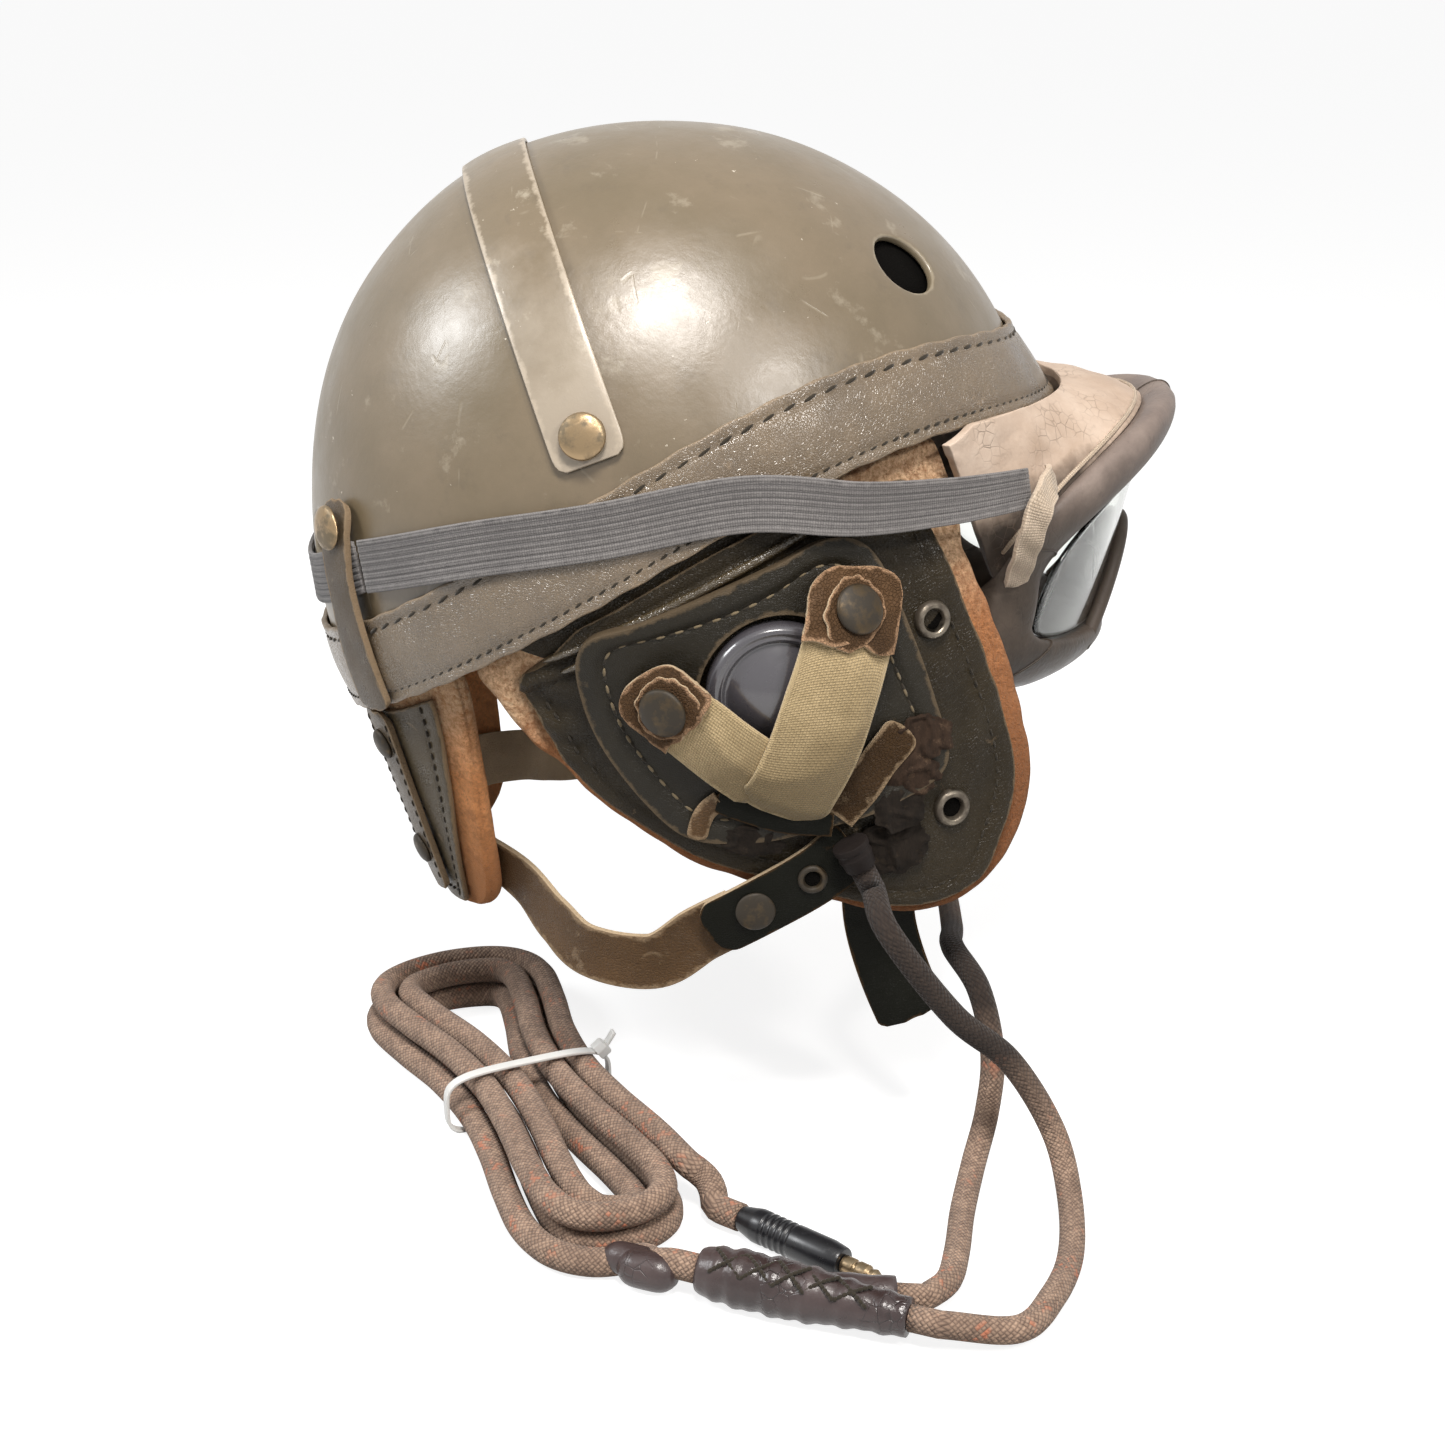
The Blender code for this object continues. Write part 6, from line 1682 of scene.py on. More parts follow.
def make_spring_cover(side, hand, sizes):
    """A long leather cover with two rivets, sewn along both edges."""
    def relief(u, v):
        return 0.7 * MM * (1 - (2 * v - 1) ** 2) - 0.2 * MM

    route = spring_point(side, np.linspace(-0.42, 4.0, 10), LEATHER + LAY)
    spots = ribbon(route, neck_out, SPRING_WIDTH, 48, 10, relief, (5 * MM, 7 * MM))
    skin = skins("cover_leather", "flap_leather", "cover_leather")
    cover = slab("cover", tipped(spots), LEATHER, skin, segments=3)
    heads = spring_point(side, np.array([0.35, 3.0]), LEATHER * 1.4 + LAY)
    heads = zip(tipped(heads), tipped(neck_out(heads)))
    rivets = studded("rivets", heads, cap_profile(5.5 * MM), finish("dull_brass"))
    rows = []
    for row in (1, 9):
        line = spots[row, 3:-5]
        out = tipped(neck_out(line))
        rows.append((tipped(line) + out * LEATHER * 0.5, out))
    sewn = fine_row("cover_row", rows, sizes, 0.65, 0.7)
    hand_over(joined(f"spring_cover_{hand}", [cover, rivets, sewn]), "neck_flap", "leather", f"flap_spring_{hand}")


def make_neck_flap(sizes):
    """Neck flap with its lining, and a spring cover and a strap at each side."""
    make_neck_leather(sizes)
    make_neck_lining()
    for side, hand in SIDES:
        make_spring_cover(side, hand, sizes)
        make_neck_strap(side, hand)


def strap_out(points):
    """Turns the neck strap's face from the lining's to straight out at the tab."""
    share = np.clip((points[..., 0] / MM + 112) / 45, 0.0, 1.0)[..., None]
    return neck_out(points) * (1 - share) + sideways(points) * share


NECK_STRAP_WIDTH = 20 * MM
NECK_STRAP = ((-118.3, 36, -99), (-111.5, 47, -103.5), (-101, 62, -112), (-94, 78, -122), (-85, 92, -131),
              (-65, 102, -137.5))


def make_neck_strap(side, hand):
    """Brown strap from the neck flap round to the ear flap's tab."""
    route = [(x * MM, side * y * MM, z * MM) for x, y, z in NECK_STRAP]
    tab_stand = FLAP_LEATHER / 2 + GAP + LEATHER / 2
    for x, z, behind in ((-47 * MM, -132.4 * MM, 0.8 * MM), (-32 * MM, -128.6 * MM, 0.2 * MM)):
        route.append((x, side * (float(flap_y(x, z)) + tab_stand - behind), z))

    def relief(u, v):
        return 0.5 * MM * np.sin(u * 9) * (v - 0.5) + 0.35 * MM * (2 * v - 1) ** 2

    spots = ribbon(route, strap_out, NECK_STRAP_WIDTH, 90, 12, relief, (4 * MM, 0.0))
    strap = slab(f"neck_strap_leather_{hand}", tipped(spots), 1.8 * MM,
                 skins("brown_leather", "raw_edge", "raw_edge"), segments=3)
    hand_over(strap, "neck_flap", "leather", f"neck_strap_{hand}")


# Ear flaps
FLAP_MIDDLE = np.array([0.0, -72.0]) * MM
FLAP_SEAM = 6 * MM
# Drop below the slanting line at the flap's top, and where the fold starts and stops
FOLDS = ((7.5 * MM, -62, 44), (13 * MM, -58, 30))
EYELETS = ((57, -57), (44, -119))
EYELET_RADIUS, EYELET_BORE, EYELET_RISE = 6.3 * MM, 3.2 * MM, 3.2 * MM
RECEIVER_SEAT = float(flap_y(*RECEIVER)) + FLAP_LEATHER / 2 + GAP


def flap_spots(edge, middle, u, v, side, out, grow=0.0, hole=0.0):
    """Points over an outline on the ear flap's surface, from its middle or a round hole out to its edge."""
    reach = edge(u) - middle
    far = np.linalg.norm(reach, axis=-1)
    ray = reach / far[..., None]
    spread = hole + (far + grow - hole) * v
    x, z = middle[0] + ray[..., 0] * spread, middle[1] + ray[..., 1] * spread
    return flap_point(x, z, side, out)


def flap_shy(spot):
    """How far the leather stays inside the outline, so that the lining's roll shows."""
    x, z = spot[..., 0], spot[..., 1]
    front = ease(x, 45 * MM, 62 * MM)
    tail = ease(-x, 48 * MM, 78 * MM) * ease(z, -64 * MM, -42 * MM)
    top = ease(z, FLAP_TOP - 22 * MM, FLAP_TOP - 12 * MM) * ease(x, 40 * MM, 20 * MM) * ease(-x, 60 * MM, 45 * MM)
    return MM + 4.5 * MM * front + 5 * MM * tail - 2 * MM * top


def sewn_inside(edge, middle, inset, turn, side, out):
    """A line inside an outline on the ear flap, with its directions, for a row of stitches."""
    reach = edge(turn) - middle
    far = np.linalg.norm(reach, axis=-1)
    inner = middle + reach * (1 - inset / far)[:, None]
    x, z = inner[:, 0], inner[:, 1]
    return tipped(flap_point(x, z, side, out)), tipped(side_normal(flap_y, x, z, side))


def fold_height(x):
    """Height of the slanting line that the folds at the flap's top keep to."""
    return FLAP_TOP - 3 * MM + 0.13 * x


def ear_wrinkles(base, brim):
    """Lumps, wrinkles at the tail and the front, folds at the top, and the sewn groove."""
    x, z = base[..., 0], base[..., 2]
    rear = ease(-x, 28 * MM, 60 * MM) * ease(z, -78 * MM, -42 * MM)
    fore = ease(x, 44 * MM, 60 * MM)
    top = ease(x, 66 * MM, 40 * MM)
    drop = fold_height(x) - z
    out = swell(base, 0.03, 21) * 0.35 * MM
    out = out + rear * 0.9 * MM * np.sin((z + 0.3 * x) / (2.2 * MM) + 2.2 * swell(base, 0.05, 22))
    out = out + fore * 0.55 * MM * np.sin((z - 1.1 * x) / (4.0 * MM) + 2.4 * swell(base, 0.04, 23))
    for fold, _, _ in FOLDS:
        crest, dip = ridge(drop, fold, 1.5 * MM), ridge(drop, fold + 2.8 * MM, 0.8 * MM)
        out = out + top * (1.5 * MM * crest - 0.7 * MM * dip)
    return out - 0.45 * MM * ridge(brim, FLAP_SEAM, 1.2 * MM) + 0.4 * MM * ridge(brim, 2.4 * MM, 2.2 * MM)


def make_eyelets(side):
    """Tube eyelets on the ear flap, and black discs in their holes that paint the shade there."""
    heads = []
    for x, z in np.array(EYELETS) * MM:
        away = unit(np.array([(x - RECEIVER[0]) / FLAP_FRONT_RADIUS, side, 0.0]))
        spot = np.array([x, side * float(flap_y(x, z)), z])
        heads.append((tipped(spot + away * 0.4 * MM), tipped(away)))
    r, bore, rise = EYELET_RADIUS, EYELET_BORE, EYELET_RISE
    ring = [(bore, 0.0), (r, 0.0), (r, rise * 0.5), (r * 0.93, rise * 0.8), (r * 0.78, rise),
            (r * 0.62, rise * 0.9), (bore * 1.06, rise * 0.55), (bore, 0.0)]
    # A near-black disc in each eyelet's hole is painted shade
    hole = disc(bore * 1.02, 0.9 * MM)
    return [studded("eyelets", heads, ring, finish("plated_steel")),
            studded("eyelet_pits", heads, hole, finish("vent_felt"))]


def make_ear_leather(side, hand, edge, sizes):
    """The flap's leather with its welts, its eyelets and its sewn row."""
    u, v = mesh_grid(200, 60)
    shy = flap_shy(edge(u))
    base = flap_spots(edge, FLAP_MIDDLE, u, v, side, 0.0 * u, -shy)
    brim = (np.linalg.norm(edge(u) - FLAP_MIDDLE, axis=-1) - shy) * (1 - v)
    spots = flap_spots(edge, FLAP_MIDDLE, u, v, side, ear_wrinkles(base, brim), -shy)
    skin = skins("flap_leather", "flap_leather", "flap_leather")
    parts = [slab("flap", tipped(spots), FLAP_LEATHER, skin, EAR_CORE, 0.35, 3)]
    # Welts along the flap's top, in a paler leather that paints their highlight
    narrow = np.sqrt(1 - 0.97 * np.linspace(-1, 1, 60) ** 6)
    for fold, start, stop in FOLDS:
        x = np.linspace(start * MM, stop * MM, 60)
        z = fold_height(x) - fold
        lumps = swell(flap_point(x, z, side, 0 * x), 0.02, 24) * 0.3 * MM
        line = flap_point(x, z, side, FLAP_LEATHER / 2 + 1.0 * MM + lumps)
        parts.append(tube("welt", tipped(line), 1.5 * MM * narrow, [finish("welt_leather")], 12))
    parts += make_eyelets(side)
    turn = np.linspace(0.0, 1.0, 400)
    inset = FLAP_SEAM + flap_shy(edge(turn))
    line = sewn_inside(edge, FLAP_MIDDLE, inset, turn, side, FLAP_LEATHER / 2 - 0.35 * MM)
    parts.append(fine_row("flap_row", [line], sizes, 0.6, 0.6))
    hand_over(joined(f"ear_leather_{hand}", parts), f"ear_flap_{hand}", "dark_leather", f"ear_flap_{hand}")


def make_ear_lining(side, hand, edge):
    """The suede pad behind the flap, bound with leather along its top."""
    def far(turn):
        way = edge(turn) - FLAP_MIDDLE
        corner = np.arctan2(way[..., 1], way[..., 0])
        grow = 4.5 * MM + 4.5 * MM * ease(unit(way)[..., 1], 0.35, 0.5) + 4 * MM * ridge(corner, 0.66, 0.16)
        return np.linalg.norm(way, axis=-1) + grow

    def place(turn, spread, out):
        way = unit(edge(turn) - FLAP_MIDDLE)
        x, z = FLAP_MIDDLE[0] + way[..., 0] * spread, FLAP_MIDDLE[1] + way[..., 1] * spread
        return flap_point(x, z, side, out + 4.5 * MM * ease(-x, 72 * MM, 77 * MM))

    deep = -(FLAP_LEATHER / 2 + GAP + FLAP_PAD / 2)
    skin = skins("ear_nap", "flap_leather")
    lining = pad(f"ear_suede_{hand}", far, place, deep, FLAP_PAD, FLAP_PAD * 0.6, skin, 31, 240, 26)
    for face in lining.data.polygons:
        x, _, z = np.array(face.center) @ TIP_BACK
        rise = (z - FLAP_MIDDLE[1]) / math.hypot(x - FLAP_MIDDLE[0], z - FLAP_MIDDLE[1])
        before_tail = 52 * x + 72 * (z + 72 * MM) > 0
        face.material_index = int(rise > 0.3 and before_tail and x < 38 * MM and z > FLAP_TOP - 40 * MM)
    hand_over(lining, f"ear_flap_{hand}", "suede", f"ear_lining_{hand}")


def make_ear_cushion(side, hand, sizes):
    """The felt ring round the ear, behind the lining."""
    wide, tall = 8.5 * MM - sizes.swell * 0.5, 6.5 * MM - sizes.swell * 0.5
    deep = RECEIVER_SEAT - FLAP_LEATHER - 2 * GAP - FLAP_PAD - 4.6 * MM - 6.5 * MM
    around = np.linspace(0.0, 2 * math.pi, 25)
    profile = [(28.5 * MM + wide * math.cos(a), tall * math.sin(a)) for a in around]
    place = TIP_MATRIX @ facing((RECEIVER[0], side * deep, RECEIVER[1]), (0, side, 0))
    cushion = swollen(turned(f"ear_ring_{hand}", profile, place, [finish("pad_felt")], 64), sizes.swell * 0.45)
    hand_over(cushion, f"ear_flap_{hand}", "felt", f"ear_cushion_{hand}")


def make_ear_flaps(sizes):
    """Leather, lining and cushion of each ear flap."""
    edge = outline(FLAP_EDGE)
    for side, hand in SIDES:
        make_ear_leather(side, hand, edge, sizes)
        make_ear_lining(side, hand, edge)
        make_ear_cushion(side, hand, sizes)


# Receivers
PANEL_SEAM = 8.5 * MM
# Steps of the receiver's rim: in from its radius, and down from its top
BELL = ((1, 6.4), (1.5, 5.2), (2.4, 4.2), (3.4, 3.9), (4.2, 4.3), (4.8, 4.5), (5.4, 4.1), (6.0, 4.5), (6.8, 5.7),
        (7.6, 5.6))


def make_panel(side, hand, edge, sizes):
    """The leather panel round a receiver, with a raised edge and a sewn groove of two threads."""
    centre = np.array(RECEIVER)
    u, v = mesh_grid(170, 34)
    hole = RECEIVER_RADIUS + GAP
    brim = (np.linalg.norm(edge(u) - centre, axis=-1) - hole) * (1 - v)
    raised = FLAP_LEATHER / 2 + LAY + PANEL_RISE / 2
    base = flap_spots(edge, centre, u, v, side, raised + 0 * u, 0.0, hole)
    out = raised - 1.1 * MM * ease(brim, 4.5 * MM, 7.5 * MM) - 0.55 * MM * ridge(brim, PANEL_SEAM, 1.0 * MM)
    out = out + swell(base, 0.03, 41) * 0.2 * MM
    spots = flap_spots(edge, centre, u, v, side, out, 0.0, hole)
    skin = skins("panel_leather", "panel_leather", "panel_leather")
    parts = [slab("panel", tipped(spots), PANEL_RISE, skin, EAR_CORE, 0.38, 4)]
    pitch = sizes.short_stitch * 1.35
    # Between the dark stitches, pale ones: partly pale thread and partly painted highlights between the stitches
    for thread, shift, long, deep in (("dark_thread", 0.0, 0.6, 1.5 * MM), ("pale_thread", 0.006, 0.58, 1.35 * MM)):
        turn = np.linspace(0.0, 1.0, 400) + shift
        line = sewn_inside(edge, centre, PANEL_SEAM, turn, side, raised + PANEL_RISE / 2 - deep)
        parts.append(stitched(f"panel_{thread}", [line], finish(thread), pitch, pitch * long, sizes.thread * 0.85))
    hand_over(joined(f"panel_leather_{hand}", parts), f"ear_flap_{hand}", "dark_leather", f"receiver_panel_{hand}")


def make_receivers(sizes):
    """Panels, and the receivers that stand in them."""
    edge = outline(PANEL_EDGE)
    r, rise = RECEIVER_RADIUS, RECEIVER_RISE - GAP - WEBBING / 2
    bell = [(0.0, 0.0), (r - 1 * MM, 0.0)] + [(r - inward * MM, rise - down * MM) for inward, down in BELL]
    bell += [(s * (r - 7.6 * MM), rise - 0.2 * MM - 5.4 * MM * s**2) for s in np.linspace(0.93, 0.0, 9)]
    for side, hand in SIDES:
        make_panel(side, hand, edge, sizes)
        place = TIP_MATRIX @ facing((RECEIVER[0], side * RECEIVER_SEAT, RECEIVER[1]), (0, side, 0))
        cap = turned(f"receiver_cap_{hand}", bell, place, [finish("receiver_cap")], 72, 0.25 * MM)
        hand_over(cap, f"ear_flap_{hand}", "bakelite", f"receiver_{hand}")


# Straps over the receivers
ARM_FRONT = ((39.2, -28.6), (34, -40), (26.5, -51), (18, -62.5), (7, -77), (-8.5, -94))
ARM_REAR = ((-36.6, -38.4), (-30, -49), (-24.5, -57), (-17, -69), (-8, -82))
STRAP_SKIN = FLAP_LEATHER / 2 + LAY + PANEL_RISE + LAY + WEBBING / 2


def strap_y(x, z):
    """Distance of the V strap's middle from the middle plane, up over the receiver."""
    far = np.hypot(x - RECEIVER[0], z - RECEIVER[1])
    fall = np.clip((far - RECEIVER_RADIUS) / STRAP_FALL, 0.0, 1.0)
    return flap_y(x, z) + STRAP_SKIN + (RECEIVER_RISE - PANEL_RISE) * (1.0 - fall)


def arm_spots(points, width, side, start, stop, out, columns=80, rows=22):
    """A flat strip along points on the V strap's surface.

    start(v) and stop(v, length) say where its ends are, and out(u, v) how far it stands off the surface.
    """
    route = smooth(np.array(points, float) * MM, 161)
    ahead = unit(np.gradient(route, axis=0))
    run = lengths(route)
    u, v = mesh_grid(columns, rows)
    first, last = start(v), stop(v, run[-1])
    at = first + (last - first) * u
    spot = np.stack([np.interp(at, run, route[:, k]) for k in (0, 1)], -1)
    spot = spot + ahead[0] * np.minimum(at, 0.0)[..., None] + ahead[-1] * np.maximum(at - run[-1], 0.0)[..., None]
    across = np.stack([np.interp(at, run, -ahead[:, 1]), np.interp(at, run, ahead[:, 0])], -1)
    flat = spot + across * ((v - 0.5) * width)[..., None]
    x, z = flat[..., 0], flat[..., 1]
    return np.stack([x, side * (strap_y(x, z) + out(u, v)), z], -1)


def rounded(v, reach):
    """How far a strip's end draws back towards its sides."""
    return reach * (1 - np.sqrt(1 - np.clip((np.abs(2 * v - 1) - 0.25) / 0.75, 0.0, 1.0) ** 2))


def ragged(v, size, seed):
    """How far a torn edge strays."""
    return size * swell(np.stack([v * 0.02, 0 * v, 0 * v], -1), 0.008, seed)


def patch_spots(x, z, wide, tall, lean, side, out, surface, seed, rough, squareness, rows=10, crumple=0.0):
    """A ragged patch round a point of the flap, lying on a surface(x, z)."""
    u, v = mesh_grid(72, rows)
    turn = 2 * math.pi * u
    ring = np.stack([np.cos(turn), np.sin(turn), 0 * turn], -1)
    torn_edge = 1 + rough * swell(ring * 0.01, 0.011, seed) + rough * 0.7 * swell(ring * 0.01, 0.004, seed + 1)
    boxy = (np.abs(np.cos(turn)) ** 4 + np.abs(np.sin(turn)) ** 4) ** (-0.25 * (1 - squareness))
    a, b = wide * v * torn_edge * boxy * np.cos(turn), tall * v * torn_edge * boxy * np.sin(turn)
    c, s = math.cos(lean), math.sin(lean)
    px, pz = x + a * c - b * s, z + a * s + b * c
    lumps = swell(np.stack([px, pz, 0 * px], -1), 0.012, seed + 2) * 0.35 * MM
    if crumple:
        spread = np.stack([px, pz, 0 * px], -1)
        crease = 1 - np.minimum(np.abs(swell(spread, 0.013, seed + 4)) * 3.0, 1.0)
        lumps = lumps + crumple * (crease + 0.8 * swell(spread, 0.02, seed + 6) - 1.2 * ease(v, 0.6, 1.0))
    curl = 0.9 * MM * ease(v, 0.75, 1.0) * np.maximum(0.0, swell(ring * 0.01, 0.02, seed + 3))
    return np.stack([px, side * (surface(px, pz) + out + lumps + curl), pz], -1)


# Points, width, distance from the strap's own surface, length of the leather end, seed and stud
ARMS = ((ARM_FRONT, 29 * MM, 0.7 * MM, 23 * MM, 51, "front"), (ARM_REAR, 24 * MM, -0.4 * MM, 21 * MM, 57, "rear"))


def make_arm(side, hand, points, width, lift, long, seed, word):
    """One arm of a V strap, with its press stud: gives the webbing, the leather at its end and the collar."""
    def web(u, v):
        wave = 0.25 * MM * np.sin(u * 9 + 2 * v) * ease(u, 0.3, 0.6)
        return lift + wave + 0.25 * MM * (1 - (2 * v - 1) ** 2) - 2.6 * MM * ease(u, 0.93, 1.0)

    def wrap(u, v):
        curl = np.abs(ragged(v, 1.0 * MM, seed + 5)) * ease(u, 0.86, 1.0)
        wave = 0.3 * MM * np.sin(u * 11 + 5 * v) * ease(u, 0.35, 0.6)
        return lift + WEBBING / 2 + 0.45 * MM + curl + wave

    def tip(v):
        return rounded(v, 8.5 * MM) - 0.6 * MM + ragged(v, 0.5 * MM, seed)

    def tear(v, whole):
        return long + 2.2 * MM * (0.5 - v) + ragged(v, 2.3 * MM, seed + 1)

    spots = arm_spots(points, width, side, lambda v: 2 * MM + rounded(v, 8.5 * MM),
                      lambda v, whole: whole + 1.5 * MM - rounded(v, 4 * MM), web)
    wall = WEBBING * (1.0 if lift > 0 else 0.8)
    arm = slab("arm", tipped(spots), wall, [finish("cotton_webbing")], EAR_CORE)
    spots = arm_spots(points, width + 1.8 * MM, side, tip, tear, wrap, 36, 30)
    end = slab("end", tipped(spots), 1.5 * MM, skins("end_leather", "raw_edge", "raw_edge"), EAR_CORE)
    x, z = points[1][0] * MM, points[1][1] * MM
    stand = WEBBING / 2 + 1.5 * MM + lift
    spots = patch_spots(x, z, 10.4 * MM, 9.8 * MM, 0.3, side, stand, strap_y, 63, rough=0.07, squareness=1.0)
    skin = skins("end_leather", "end_leather", "raw_edge")
    collar = slab("collar", tipped(spots), 1.0 * MM, skin, EAR_CORE)
    away = side_normal(strap_y, x, z, side)
    spot = np.array([x, side * float(strap_y(x, z)), z]) + away * (WEBBING / 2 + LAY + 1.2 * MM)
    stud = studded(f"strap_stud_{word}_{hand}", [(tipped(spot), tipped(away))],
                   cap_profile(8.0 * MM, 3.4 * MM), finish("dull_brass"))
    hand_over(stud, f"receiver_strap_{hand}", "brass", f"strap_snap_{word}_{hand}")
    return [arm, end, collar]


def make_receiver_straps():
    """V straps of webbing over the receivers, leather at their ends, with press studs."""
    for side, hand in SIDES:
        parts = [part for arm in ARMS for part in make_arm(side, hand, *arm)]
        strap = joined(f"vee_webbing_{hand}", parts)
        hand_over(strap, f"receiver_strap_{hand}", "webbing", f"receiver_strap_{hand}")


TONGUE = ((8, -103), (17, -97.5), (27, -90.5), (38, -84))
# Points, width and finish
FEET = ((((6, -105.5), (-8, -99), (-19, -91), (-26, -85)), 8 * MM, "black_leather"),
        (((-25, -85.5), (-30, -87.5), (-33.5, -91), (-36.5, -96)), 6.5 * MM, "brown_leather"))
# Place, half width, half height, lean, distance out of the panel or none for the flap, seed and finish
PATCHES = (
    (43, -90, 9.5, 7.5, -0.35, 1.9 * MM, 71, "torn_leather"),
    (35, -99, 10, 7.5, -0.7, 1.5 * MM, 77, "torn_leather"),
    (28, -109, 9, 8, -0.4, 0.9 * MM, 79, "torn_dark"),
    (22, -122, 12, 9, -0.25, None, 83, "torn_dark"),
    (-20, -103, 11, 5, -0.4, 0.9 * MM, 95, "torn_dark"),
)


def panel_y(x, z):
    """Distance of a receiver panel's face from the middle plane."""
    return flap_y(x, z) + FLAP_LEATHER / 2 + LAY + PANEL_RISE - 1.1 * MM


def make_torn_leather():
    """What is left of the leather under the V strap: a brown tongue, two folded feet and five torn patches."""
    for side, hand in SIDES:
        parts = []

        def strip(name, points, stand, wide, columns, rows, relief, tip, wall, kind):
            route = [(x * MM, side * (float(panel_y(x * MM, z * MM)) + stand), z * MM) for x, z in points]
            spots = ribbon(route, sideways, wide, columns, rows, relief, (0.0, tip))
            parts.append(slab(name, tipped(spots), wall, skins(kind, "raw_edge", "raw_edge"), EAR_CORE))

        def lifted(u, v):
            return 1.6 * MM * np.sin(u * math.pi) * (1 - v) - 0.4 * MM * np.sin(u * 13)

        def folded(u, v):
            return 0.7 * MM * np.sin(v * math.pi)

        strip("tongue", TONGUE, 1.6 * MM, 13 * MM, 40, 10, lifted, 4 * MM, 1.2 * MM, "tongue_leather")
        for points, wide, kind in FEET:
            strip("foot", points, 1.5 * MM, wide, 44, 8, folded, 2 * MM, 1.3 * MM, kind)
        for x, z, wide, tall, lean, out, seed, kind in PATCHES:
            under = panel_y
            if out is None:
                under, out = flap_y, FLAP_LEATHER / 2 + LAY + 0.5 * MM + 0.7 * MM
            spots = patch_spots(x * MM, z * MM, wide * MM, tall * MM, lean, side, out, under, seed, rough=0.13,
                                squareness=0.7, rows=16, crumple=0.9 * MM)
            parts.append(slab("patch", tipped(spots), 1.3 * MM, [finish(kind)], EAR_CORE))
        hand_over(joined(f"torn_patch_{hand}", parts), f"ear_flap_{hand}", "dark_leather")


# Straps below the ears
TAB_WIDTH, CHIN_WIDTH = 20 * MM, 24 * MM
TAB = ((10, -117), (-6, -122), (-27, -127), (-44, -131))
TAB_EYELET = [(r * MM, h * MM) for r, h in ((2.4, 0), (4.9, 0), (4.9, 0.9), (4.2, 1.6), (3.2, 1.5), (2.4, 0))]
# How far down the chin strap, in towards the chin and forward
CHIN_DROPS = ((0, 0, 0), (12, 0, 0), (28, 2, 2), (46, 0.5, 7), (64, -3, 14))


def make_tab(side, hand):
    """The tab on an ear flap, with its stud and its eyelet."""
    route = []
    for step, (x, z) in enumerate(TAB):
        y = float(flap_y(x * MM, z * MM)) + FLAP_LEATHER / 2 + GAP + LEATHER / 2 + min(step, 1) * 2.4 * MM
        route.append((x * MM, side * y, z * MM))
    spots = ribbon(route, sideways, TAB_WIDTH, 48, 12, lambda u, v: -0.3 * MM * (2 * v - 1) ** 2, (0.0, 7 * MM))
    tab = slab("tab", tipped(spots), LEATHER, skins("black_leather", "raw_edge", "raw_edge"), EAR_CORE, segments=3)
    away = tipped((0.0, side, 0.0))
    spot = np.array(route[2]) + np.array([0, side * (LEATHER / 2 - 0.2 * MM), 0])
    stud = studded("tab_stud", [(tipped(spot), away)], cap_profile(6.6 * MM, 2.4 * MM), finish("dull_brass"))
    spot = np.array(route[1]) + np.array([0, side * (LEATHER / 2 - 0.3 * MM), 0])
    eyelet = studded("tab_eyelet", [(tipped(spot), away)], TAB_EYELET, finish("dull_brass"))
    # A near-black disc in the eyelet's hole is painted shade
    shade_disc = studded("tab_pit", [(tipped(spot), away)], disc(2.5 * MM, 0.5 * MM), finish("vent_felt"))
    tab = joined(f"tab_leather_{hand}", [tab, stud, eyelet, shade_disc])
    hand_over(tab, f"ear_flap_{hand}", "dark_leather", f"strap_tab_{hand}")


def make_chin_strap(side, hand):
    """The strap that hangs from behind an ear flap."""
    plumb = np.array([-math.sin(HEAD_TILT), 0.0, -math.cos(HEAD_TILT)])
    x, z = 13 * MM, -141 * MM
    hang = float(flap_y(x, z)) - FLAP_LEATHER / 2 - 2 * GAP - FLAP_PAD - LEATHER / 2 - 2.0 * MM
    top = np.array([x, side * hang, z]) - plumb * 12 * MM
    route = [top + plumb * d * MM + np.array([f * MM, -side * s * MM, 0]) for d, s, f in CHIN_DROPS]
    spots = ribbon(route, sideways, CHIN_WIDTH, 60, 12, lambda u, v: 0.6 * MM * np.sin(u * 7 + v * 2), (0.0, 4 * MM))
    skin = skins("black_leather", "black_leather", "raw_edge")
    strap = slab(f"chin_leather_{hand}", tipped(spots), LEATHER, skin, EAR_CORE, segments=3)
    hand_over(strap, f"ear_flap_{hand}", "dark_leather", f"chin_strap_{hand}")


def make_chin_straps():
    """A tab on each ear flap, and the chin strap behind it."""
    for side, hand in SIDES:
        make_tab(side, hand)
        make_chin_strap(side, hand)


# Goggles
# Wall, depth and distance forward, round the lens and at the roll above it
FRAME_SECTION = (7.0 * MM, 12.0 * MM, -6.0 * MM)
FRAME_ROLL = (9.5 * MM, 10.0 * MM, 1.0 * MM)
# How far the frame's lower sides reach back, and how far they are drawn in
SKIRT_BACK, SKIRT_IN = 11 * MM, 9 * MM
# How far round the hood's front goes on the roll, and its rear on the rim band
HOOD_FRONT, HOOD_REAR = math.radians(68.0), math.radians(48.0)


